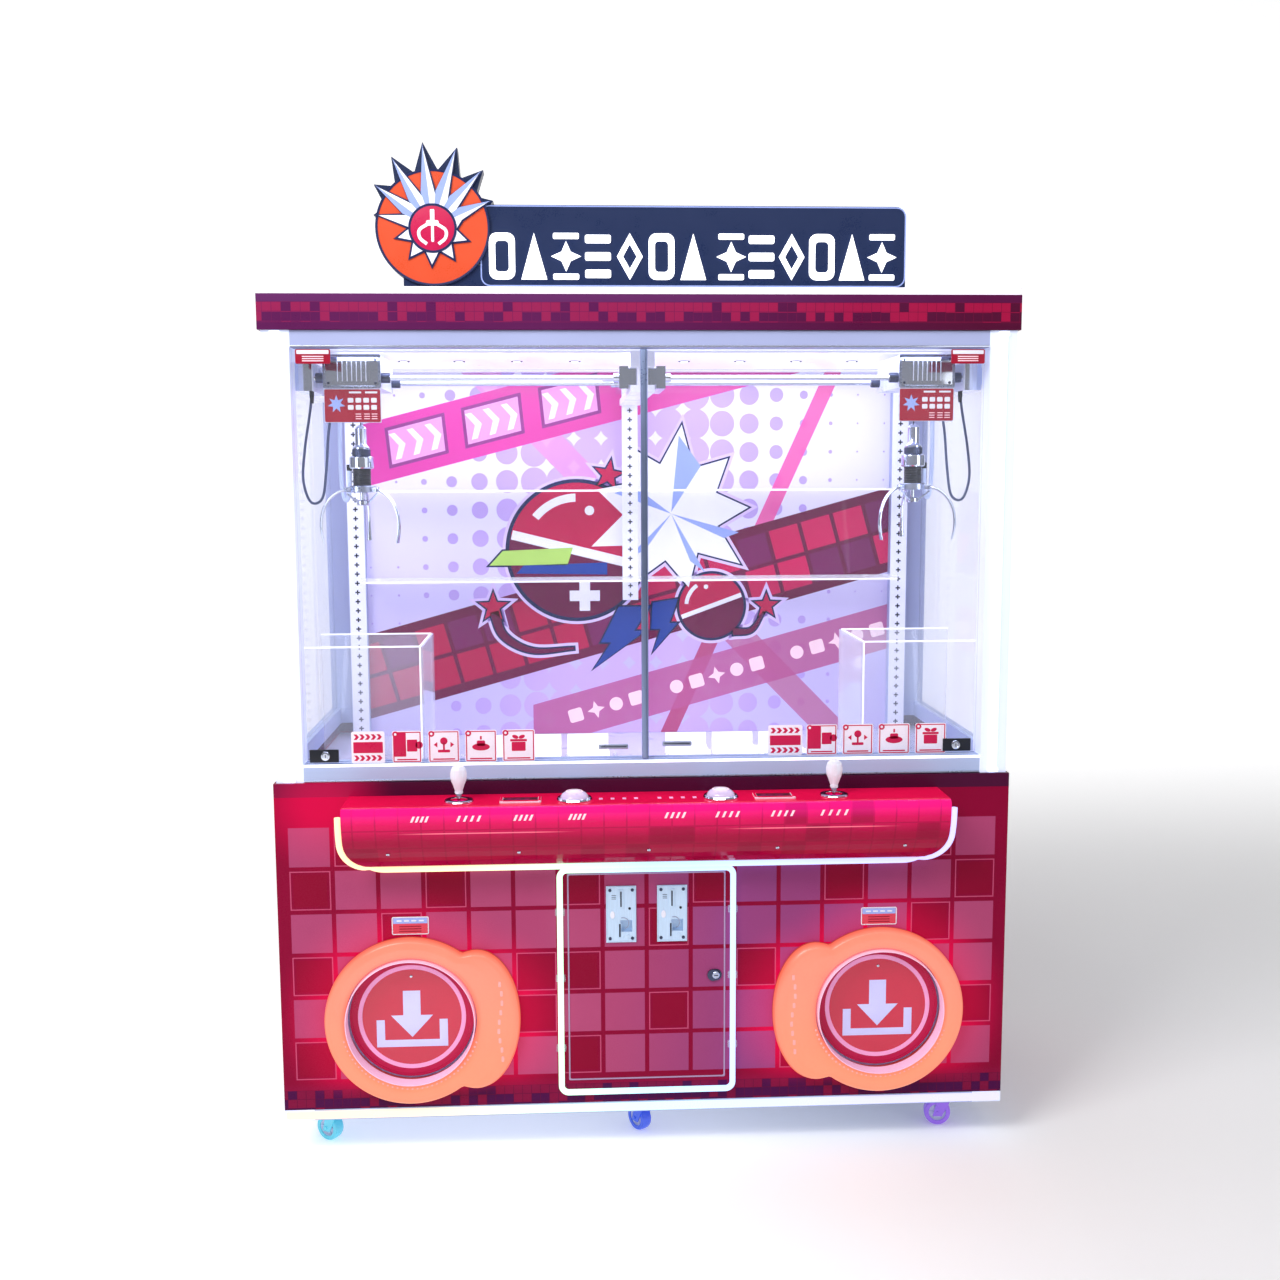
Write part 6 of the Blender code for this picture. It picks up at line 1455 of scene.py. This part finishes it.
def build_inside():
    cover("play_deck", "deck_white")
    cover("display_rack", "shelf_sheet")
    cover("gantry_frame", "post_white")
    shelf_front = []
    for z in (1.2285, 1.4585):
        shelf_front.append(bar((-0.6875, 0.6875), (0.2585, 0.26), (z - 0.0022, z + 0.0022), 0.0007))
    piece("shelf_edges", "cabinet", "display_rack", (shelf_front, "acrylic_edge"))
    upright = bar((-0.0205, 0.0205), (0.3575, 0.359), (1.17, 1.76), 0.0008)
    piece("upright_face", "cabinet", "display_rack", (upright, "post_white"))
    faces = merged(*(bar((side * 0.7125 - 0.0215, side * 0.7125 + 0.0215), (0.36, 0.3612), (0.815, 1.76),
        0.0006) for _, side in SIDES))
    piece("rear_post_faces", "cabinet", "upper_frame", (faces, "post_white"))
    lens = turned([(0.0, 0.002), (0.0105, 0.002), (0.011, 0.0), (0.009, -0.003), (0.0, -0.004)], 24, (0.0, 0.0, 0.0))
    ring = turned([(0.0105, 0.002), (0.0145, 0.002), (0.015, 0.0), (0.013, -0.003), (0.0108, -0.002)], 24, (0.0, 0.0,
        0.0), closed=True)
    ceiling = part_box("canopy")[0].z
    places = [(x, 0.06, ceiling - 0.0005) for x in (-0.545, -0.415, -0.28, -0.143, 0.117, 0.25, 0.385, 0.52)]
    piece("ceiling_lamps", "cabinet", "canopy", (repeated(lens, places), "downlight"), (repeated(ring, places),
        "dark_steel"))
    for name, side in SIDES:
        cover(name + "_chute_guard", "acrylic")
        low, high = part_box(name + "_chute_guard")
        top = high.z
        edge_path = np.array([(side * 0.744, low.y + 0.002, top), (side * 0.4885, low.y + 0.002, top), (side * 0.4885,
            high.y - 0.002, top), (side * 0.744, high.y - 0.002, top)])
        dense = np.vstack([np.linspace(a, b, 12, endpoint=False) for a, b in zip(edge_path[:-1],
            edge_path[1:])] + [edge_path[-1:]])
        guard_edge = sweep(dense, rounded(-0.0022, 0.0022, -0.0018, 0.0018, 0.0012, 2), (0.0, 0.0, 1.0))
        uprights = [bar((side * 0.4885 - 0.0018, side * 0.4885 + 0.0018), (y - 0.0018, y + 0.0018), (0.812, top),
            0.0008) for y in (low.y + 0.002, high.y - 0.002)]
        piece(name + "_guard_edges", "cabinet", name + "_chute_guard", (guard_edge, "acrylic_edge"), (uprights,
            "acrylic_edge"), sharp=40.0)
        trays = []
        for k, x in enumerate((0.12, 0.235, 0.35)):
            base = side * x
            trays.append(bar((base - 0.05, base + 0.05), (-0.06, -0.057), (0.8106, 0.85 + 0.01 * (k % 2)), 0.0006))
            trays.append(bar((base - 0.05, base - 0.047), (-0.057, 0.06), (0.8106, 0.842), 0.0006))
            trays.append(bar((base + 0.047, base + 0.05), (-0.057, 0.06), (0.8106, 0.842), 0.0006))
            trays.append(bar((base - 0.05, base + 0.05), (0.06, 0.063), (0.8106, 0.87), 0.0006))
        peg = turned([(0.0, 0.8106), (0.0055, 0.8106), (0.0045, 0.818), (0.0045, 0.855), (0.0052, 0.86), (0.0,
            0.8625)], 14, (0.0, 0.0, 0.0))
        pegs = repeated(peg, [(side * x, y, 0.0) for x in (0.06, 0.17, 0.29, 0.41) for y in (-0.2, -0.14)])
        piece(name + "_deck_trays", "cabinet", "play_deck", (trays, "acrylic_edge"), (pegs, "acrylic"))


# ---------------------------------------------------------------- cranes
def build_cranes():
    for name, side in SIDES:
        x = side * CRANE_X
        trolley, claw, bridge = name + "_trolley", name + "_claw", name + "_bridge"
        cover(name + "_trolley", "white_enamel")
        cover(name + "_crane_bridge", "chrome")
        plate_y = CRANE_Y - 0.11
        outline = rounded(x - 0.059, x + 0.059, 1.614, 1.683, 0.003)
        label = slab(outline, plate_y, plate_y - 0.0012, 0.0003)
        stripe = repeated(slab(rounded(-0.013, 0.013, -0.002, 0.002, 0.001, 2), plate_y - 0.0012, plate_y - 0.0016,
            0.0001), [(x + 0.006, 0.0, 1.6765), (x + 0.04, 0.0, 1.6765)])
        blocks = []
        for z in (1.66, 1.645):
            for k in range(4):
                blocks.append(slab(rounded(x - 0.01 + 0.0165 * k, x + 0.002 + 0.0165 * k, z - 0.005, z + 0.005, 0.002,
                    3), plate_y - 0.0012, plate_y - 0.0016, 0.0001))
        emblem = slab(star(x - 0.034, 1.652, 0.019, 0.009, 7), plate_y - 0.0012, plate_y - 0.0017, 0.0001)
        small = repeated(slab(rounded(-0.006, 0.006, -0.0008, 0.0008, 0.0004, 2), plate_y - 0.0012, plate_y - 0.0015,
            0.0001), [(x + a, 0.0, z) for a in (0.012, 0.03, 0.046) for z in (1.631, 1.626, 1.621)])
        piece(name + "_trolley_label", trolley, trolley, (label, "label_red"), (stripe, "label_white"), (blocks,
            "label_white"), (emblem, "pale_blue_ink"), (small, "dash_pink"))
        shell = band(rounded(x - 0.0615, x + 0.0615, 1.685, 1.7565, 0.004), rounded(x - 0.056, x + 0.056, 1.6905,
            1.7515, 0.003), plate_y + 0.001, plate_y - 0.002, 0.0008)
        mirror_plate = slab(rounded(x - 0.0565, x + 0.0565, 1.69, 1.752, 0.003), plate_y + 0.0005, plate_y - 0.0008,
            0.0003)
        screws = merged(*(screw(x + a, plate_y - 0.0008, b, 0.003) for a in (-0.05, 0.05) for b in (1.696, 1.746)))
        fins = [bar((x + a - 0.001, x + a + 0.001), (plate_y - 0.0016, plate_y - 0.0006), (1.7, 1.742),
            0.0004) for a in np.linspace(-0.03, 0.03, 7)]
        piece(name + "_trolley_front", trolley, trolley, (shell, "brushed_steel"), (mirror_plate, "chrome"), (screws,
            "dark_steel"), (fins, "white_enamel"))
        sleeve = turned([(0.0068, -0.01), (0.0105, -0.01), (0.011, -0.006), (0.011, 0.006), (0.0105, 0.01), (0.0068,
            0.01)], 28, (0.0, 0.0, 0.0), "X", closed=True)
        sleeves = repeated(sleeve, [(x + dx, CRANE_Y + dy, 1.708) for dx in (-0.069, 0.069) for dy in (-0.092,
            0.092)])
        piece(name + "_trolley_bushes", trolley, trolley, (sleeves, "dark_steel"))
        collars = repeated(turned([(0.0062, -0.006), (0.01, -0.006), (0.0104, 0.0), (0.01, 0.006), (0.0062, 0.006)],
            28, (0.0, 0.0, 0.0), "X", closed=True), [(side * bx, CRANE_Y + dy, 1.708) for bx in (0.056,
            0.699) for dy in (-0.092, 0.092)])
        end_plate = slab(rounded(CRANE_Y - 0.108, CRANE_Y + 0.108, 1.6805, 1.7395, 0.004), side * 0.7048,
            side * 0.7028, 0.0006, "YZ")
        piece(name + "_bridge_ends", bridge, name + "_crane_bridge", (collars, "chrome"), (end_plate, "white_enamel"))
        build_claw(name, side, claw)


def build_claw(name, side, body):
    x, y = side * CRANE_X, CRANE_Y
    centre = (x, y, 0.0)
    slot = name + "_claw_head"
    neck = turned([(0.0, 1.6115), (0.003, 1.6115), (0.0058, 1.6095), (0.01, 1.607), (0.0128, 1.603), (0.013, 1.57),
        (0.015, 1.565), (0.019, 1.562), (0.019, 1.558), (0.0, 1.558)], 32, centre)
    knurl_angle = np.linspace(0.0, 2.0 * math.pi, 72, endpoint=False)
    rows = np.array([(0.0188, 1.5585), (0.0198, 1.557), (0.0198, 1.545), (0.0188, 1.5435)])
    ridge = 0.0005 * (np.arange(72) % 2)
    rings = np.stack([x + (rows[:, :1] + ridge) * np.cos(knurl_angle), y + (rows[:,
        :1] + ridge) * np.sin(knurl_angle), np.broadcast_to(rows[:, 1:], (4, 72))], -1)
    knurl = skin(rings)
    collet = turned([(0.0, 1.544), (0.0205, 1.5438), (0.0262, 1.5405), (0.0268, 1.538), (0.0268, 1.518), (0.025,
        1.5155), (0.0205, 1.514), (0.0, 1.514)], 40, centre)
    coil = [(0.0, 1.5142), (0.0195, 1.5142), (0.02, 1.513)]
    for k in range(6):
        z = 1.5095 - 0.0055 * k
        coil += [(0.02, z + 0.0018), (0.0192, z + 0.0006), (0.0192, z - 0.0006), (0.02, z - 0.0018)]
    coil += [(0.02, 1.477), (0.0, 1.477)]
    solenoid = turned(coil, 36, centre)
    plate = turned([(0.0, 1.4778), (0.0285, 1.4776), (0.03, 1.4762), (0.03, 1.464), (0.0285, 1.4628), (0.0, 1.4628)],
        40, centre)
    rod = turned([(0.0, 1.4635), (0.0048, 1.4635), (0.0048, 1.4445), (0.0, 1.4445)], 20, centre)
    hub = turned([(0.0, 1.446), (0.011, 1.4458), (0.0135, 1.444), (0.0135, 1.4365), (0.0115, 1.4345), (0.0, 1.434)],
        32, centre)
    lug = bar((x + 0.025, x + 0.0425), (y - 0.006, y - 0.0036), (1.464, 1.4745), 0.0008)
    other = bar((x + 0.025, x + 0.0425), (y + 0.0036, y + 0.006), (1.464, 1.4745), 0.0008)
    pin = turned([(0.0, -0.0075), (0.0026, -0.0075), (0.0028, -0.0062), (0.0019, -0.006), (0.0019, 0.006), (0.0028,
        0.0062), (0.0026, 0.0075), (0.0, 0.0075)], 16, (x + 0.037, y, 1.469), "Y")
    lugs, links = [], []
    for azimuth in (90.0, 210.0, 330.0):
        lugs += [rotated(s, azimuth, "Z", (x, y, 0.0)) for s in (lug, other, pin)]
        link_path = np.stack([np.linspace(x + 0.0118, x + 0.0385, 9), np.full(9, y + 0.005),
            1.44 + 0.021 * np.linspace(0.0, 1.0, 9)], 1)
        links.append(rotated(sweep(link_path, rounded(-0.0022, 0.0022, -0.0009, 0.0009, 0.0006, 2), (0.0, 1.0, 0.0)),
            azimuth, "Z", (x, y, 0.0)))
    fitting = turned([(0.0, 1.5245), (0.0062, 1.5245), (0.0066, 1.521), (0.0062, 1.511), (0.0, 1.511)], 18,
        (x + 0.0345 * math.cos(math.radians(150.0 if side < 0 else 30.0)), y + 0.0345 * math.sin(math.radians(30.0)),
        0.0))
    piece(name + "_claw_body", body, slot, (neck, "chrome"), (knurl, "dark_steel"), (collet, "chrome"), (solenoid,
        "black_plastic"), (plate, "brushed_steel"), (merged(rod, hub), "chrome"), (lugs, "brushed_steel"), (links,
        "brushed_steel"), (fitting, "black_plastic"), instead_of=(slot,))
    line = smooth_route([(0.037, 1.469), (0.056, 1.464), (0.073, 1.453), (0.086, 1.437), (0.0945, 1.418), (0.098,
        1.397), (0.0975, 1.376), (0.093, 1.352)], 48)
    width = np.interp(np.linspace(0.0, 1.0, 48), [0.0, 0.7, 1.0], [0.0032, 0.003, 0.0052])
    thick = np.interp(np.linspace(0.0, 1.0, 48), [0.0, 0.8, 1.0], [0.0034, 0.003, 0.0014])
    base = rounded(-1.0, 1.0, -1.0, 1.0, 0.6, 3)
    section = base[None] * np.stack([thick, width], 1)[:, None, :]
    finger_path = np.stack([x + line[:, 0], np.full(48, y), line[:, 1]], 1)
    bow = sweep(finger_path, section, (0.0, 1.0, 0.0))
    eye = turned([(0.0024, -0.003), (0.0056, -0.003), (0.006, -0.0024), (0.006, 0.0024), (0.0056, 0.003), (0.0024,
        0.003)], 28, (x + 0.037, y, 1.469), "Y", closed=True)
    for number, azimuth in enumerate((90.0, 210.0, 330.0), 1):
        parts = [rotated(s, azimuth, "Z", (x, y, 0.0)) for s in (bow, eye)]
        node = f"{name}_claw_finger_{number}"
        piece(f"{name}_finger_bow_{number}", f"{name}_finger_{number}", node, (parts, "chrome"), instead_of=(node,),
            sharp=40.0)


# ---------------------------------------------------------------- top
def build_canopy():
    cover("canopy", "canopy_print")
    panel = slab(rounded(-0.7, 0.7, -0.255, 0.33, 0.01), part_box("canopy")[0].z + 0.001,
        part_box("canopy")[0].z - 0.0015, 0.0008, "XY")
    piece("ceiling_diffuser", "cabinet", "canopy", (panel, "ceiling_glow"))


def build_sign():
    cover("topper_sign", "sign_navy")
    disc_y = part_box("topper_sign")[0].y
    front = disc_y + 0.004
    corner = rounded(-0.34, 0.556, 1.892, 2.057, 0.02)
    edge = band(corner, inset(anticlockwise(corner), 0.0028), front + 0.0005, front - 0.001, 0.0004)
    piece("sign_edge", "cabinet", "topper_sign", (edge, "pale_blue_ink"))
    shapes = []
    bottom, top = 1.906, 2.001
    mid = (bottom + top) / 2
    half = 0.5 * (top - bottom)
    spans = list(np.linspace(-0.295, 0.105, 7)) + list(np.linspace(0.185, 0.505, 6))
    w = 0.027
    for k, a in enumerate(spans):
        kind = k % 5
        if kind == 0:
            shapes.append(band(rounded(a - w, a + w, bottom, top, 0.016), rounded(a - w + 0.013, a + w - 0.013,
                bottom + 0.016, top - 0.016, 0.008), front, front - 0.0035, 0.0008))
        elif kind == 1:
            shapes.append(slab([(a - w, bottom), (a + w, bottom), (a, top)], front, front - 0.0035, 0.0008))
        elif kind == 2:
            shapes.append(slab(star(a, mid, 1.15 * w, 0.5 * w, 4), front, front - 0.0035, 0.0008))
            shapes.append(slab(rounded(a - w, a + w, bottom, bottom + 0.012, 0.003), front, front - 0.0035, 0.0008))
            shapes.append(slab(rounded(a - w, a + w, top - 0.012, top, 0.003), front, front - 0.0035, 0.0008))
        elif kind == 3:
            for level in (bottom + 0.012, mid, top - 0.012):
                shapes.append(slab(rounded(a - w, a + w, level - 0.0085, level + 0.0085, 0.004), front,
                    front - 0.0035, 0.0008))
        else:
            diamond = np.array([(a - w, mid), (a, mid - half), (a + w, mid), (a, mid + half)])
            shapes.append(band(diamond, inset(anticlockwise(diamond), 0.011), front, front - 0.0035, 0.0008))
    piece("sign_shapes", "cabinet", "topper_sign", (shapes, "sign_white"))
    cx, cz = -0.437, 2.01
    disc = turned([(0.0, 0.0), (0.1165, 0.0), (0.1172, -0.0008), (0.116, -0.0018), (0.0, -0.002)], 96, (cx,
        disc_y + 0.0005, cz), "Y")
    rim = turned([(0.113, 0.0), (0.118, 0.0), (0.1184, -0.0016), (0.117, -0.003), (0.1135, -0.0026)], 96, (cx, disc_y,
        cz), "Y", closed=True)
    number = np.arange(14)
    turn = np.radians(12.0 + 156.0 * number / 13.0)
    lift = np.sin(turn)
    reach = np.where(number % 2, 0.108 + 0.06 * lift, 0.062 + 0.012 * lift)
    below = np.radians(np.array([182, 196, 214, 232, 250, 268, 286, 304, 322, 340, 356]))
    under = np.where(np.arange(11) % 2, 0.082, 0.052)
    turn, reach = np.concatenate([turn, below]), np.concatenate([reach, under])
    outline = np.stack([cx + reach * np.cos(turn), cz + reach * np.sin(turn)], 1)
    burst = slab(inset(anticlockwise(outline), 0.003), disc_y - 0.001, disc_y - 0.006, 0.001)
    edge = slab(inset(anticlockwise(outline), -0.001), disc_y - 0.0005, disc_y - 0.0042, 0.0006)
    valleys, tips = outline[2:13:2], outline[1:12:2]
    shades = merged(*(slab([(cx, cz), v, t], disc_y - 0.006, disc_y - 0.0065, 0.0001, steps=1) for v,
        t in zip(valleys, tips)))
    hub = slab(circle(cx, cz - 0.002, 0.046, 48), disc_y - 0.006, disc_y - 0.0074, 0.0004)
    rim_line = band(circle(cx, cz - 0.002, 0.05, 48), circle(cx, cz - 0.002, 0.045, 48), disc_y - 0.006,
        disc_y - 0.0078, 0.0003)
    claw = [slab(rounded(cx - 0.0045, cx + 0.0045, cz + 0.01, cz + 0.036, 0.002), disc_y - 0.0074, disc_y - 0.0084,
        0.0003), slab(rounded(cx - 0.013, cx + 0.013, cz + 0.003, cz + 0.014, 0.004), disc_y - 0.0074,
        disc_y - 0.0084, 0.0003)]
    for side in (-1.0, 1.0):
        prong = smooth_route([(cx + side * 0.01, cz + 0.006), (cx + side * 0.027, cz - 0.006), (cx + side * 0.026,
            cz - 0.022), (cx + side * 0.012, cz - 0.034)], 16)
        claw.append(sweep(placed(prong, disc_y - 0.0078, "XZ"), rounded(-0.0034, 0.0034, -0.0008, 0.0008, 0.0006, 2),
            (0.0, 1.0, 0.0)))
    claw.append(slab(rounded(cx - 0.003, cx + 0.003, cz - 0.03, cz + 0.004, 0.0028), disc_y - 0.0074, disc_y - 0.0084,
        0.0003))
    piece("sign_medallion", "cabinet", "topper_sign", (disc, "sign_orange"), (rim, "navy_ink"), (burst,
        "medallion_white"), (edge, "navy_ink"), (shades, "pale_blue_ink"), (hub, "art_red"), (rim_line, "navy_ink"),
        (claw, "medallion_white"))


# ---------------------------------------------------------------- settings, operators and panel
def colour_choice(name, text, code):
    return bpy.props.FloatVectorProperty(name=name, description=text, subtype="COLOR", size=3, default=hue(code),
        min=0.0, max=1.0)


def strength_choice(name, text, value, **settings):
    return bpy.props.FloatProperty(name=name, description=text, default=value, min=0.0, **settings)


class CraneColours(bpy.types.PropertyGroup):
    """Main print colours"""
    panel_red: colour_choice("Panel red", "Crimson between the printed squares", "880232")
    tile_rose: colour_choice("Square rose", "Face of a printed square", "B04A74")
    tile_dark: colour_choice("Dark square", "Face of a dark square", "8A042E")
    console_red: colour_choice("Console red", "Glossy console moulding", "C00848")


class CraneLights(bpy.types.PropertyGroup):
    """Strengths of the lamps and the lit surfaces"""
    key_power: strength_choice("Studio key", "Power of the main softbox", 150.0, subtype="POWER", unit="POWER")
    inside_power: strength_choice("Cabinet lamps", "Power of each ceiling lamp panel", 1.75, subtype="POWER",
        unit="POWER")
    sky_strength: strength_choice("Room light", "Strength of the even room light", 0.3)
    tube_strength: strength_choice("Light tube", "Glow of the tube round the console and door", 1.6)
    base_strength: strength_choice("Base strip", "Glow of the strip under the cabinet", 1.15)
    halo_strength: strength_choice("Panel halo", "Red light on the panel round the soft rings", 0.75)
    # The paper's glow is weaker on the floor right of the machine: a painted shadow.
    paper_glow: strength_choice("Paper glow", "Even light of the backdrop paper", 0.55)
    post_strength: strength_choice("Post tubes", "Glow of the tubes in the front posts", 1.4)
    rim_strength: strength_choice("Canopy rim", "Glow of the rim on the canopy", 0.8)
    ring_strength: strength_choice("Outlet rings", "Glow of the soft rings", 0.8)
    downlight_strength: strength_choice("Ceiling lamps", "Glow of the small ceiling lamps", 3.0)
    board_glow: strength_choice("Backdrop glow", "Light given back by the printed backdrop", 0.04)


class CRANE_OT_finishes(bpy.types.Operator):
    """Makes the shader groups and the materials"""
    bl_idname = "crane.finishes"
    bl_label = "Finishes"

    def execute(self, context):
        make_finishes(context.scene.crane_colours, CraneSettings(context))
        return {"FINISHED"}


class CraneSettings:
    """The colours and lights of a scene read as one."""

    def __init__(self, context):
        self.groups = (context.scene.crane_lights, context.scene.crane_colours)

    def __getattr__(self, key):
        for group in self.groups:
            if hasattr(group, key):
                return getattr(group, key)
        raise AttributeError(key)


class CRANE_OT_stage(bpy.types.Operator):
    """Adds the pale backdrop, the studio lights and the camera"""
    bl_idname = "crane.stage"
    bl_label = "Stage"

    def execute(self, context):
        build_stage(context.scene.crane_lights)
        return {"FINISHED"}


def builder(identifier, label, text, function):
    """An operator class that runs one build function."""

    def execute(self, context):
        function()
        return {"FINISHED"}

    return type("CRANE_OT_" + identifier, (bpy.types.Operator,), {"__doc__": text, "bl_idname": "crane." + identifier,
        "bl_label": label, "execute": execute})


STEPS = [builder("cords", "Cables and hoses", "Adds the trailing cables, the claw hoses and the lift strings",
    build_cords), builder("lower_panels", "Lower panels", "Finishes the printed panels and adds the labels",
    build_lower_panels), builder("coin_units", "Coin units", "Adds the coin faces and the door lock",
    build_coin_units), builder("outlets", "Prize outlets", "Adds the glowing rings, the liners and the flaps",
    build_outlets), builder("light_tube", "Light tube", "Adds the tube round the console and the coin door",
    build_light_tube), builder("console", "Console", "Adds the knobs, buttons, displays and screws", build_console),
    builder("base", "Base", "Adds the base light strip and the caster wheels", build_base), builder("frame", "Frame",
    "Finishes the frame and adds its tubes, slots and labels", build_frame), builder("doors", "Glass doors",
    "Adds the panes, stiles, pulls, locks and cards", build_doors), builder("board", "Backdrop",
    "Finishes the printed backdrop and adds its figures", build_board), builder("inside", "Inside",
    "Finishes the deck, shelves and guards", build_inside), builder("cranes", "Cranes",
    "Adds the trolleys, claw bodies and fingers", build_cranes), builder("canopy", "Canopy",
    "Finishes the canopy and its ceiling", build_canopy), builder("sign", "Sign",
    "Adds the sign's lit shapes and its medallion", build_sign)]


class CRANE_PT_panel(bpy.types.Panel):
    """Lists the machine's pieces"""
    bl_label = "Claw Crane"
    bl_idname = "CRANE_PT_panel"
    bl_space_type = "VIEW_3D"
    bl_region_type = "UI"
    bl_category = "Claw Crane"

    def draw(self, context):
        for group in (context.scene.crane_colours, context.scene.crane_lights):
            for key in group.__annotations__:
                self.layout.prop(group, key)
        for step in ALL_STEPS:
            self.layout.operator(step.bl_idname)


ALL_STEPS = [CRANE_OT_finishes, CRANE_OT_stage] + STEPS
CLASSES = [CraneColours, CraneLights] + ALL_STEPS + [CRANE_PT_panel]


def register():
    for item in CLASSES:
        bpy.utils.register_class(item)
    bpy.types.Scene.crane_colours = bpy.props.PointerProperty(type=CraneColours)
    bpy.types.Scene.crane_lights = bpy.props.PointerProperty(type=CraneLights)


def unregister():
    del bpy.types.Scene.crane_lights
    del bpy.types.Scene.crane_colours
    for item in reversed(CLASSES):
        bpy.utils.unregister_class(item)


def main():
    register()
    for step in ALL_STEPS:
        group, operator = step.bl_idname.split(".")
        getattr(getattr(bpy.ops, group), operator)()


if __name__ == "__main__":
    main()
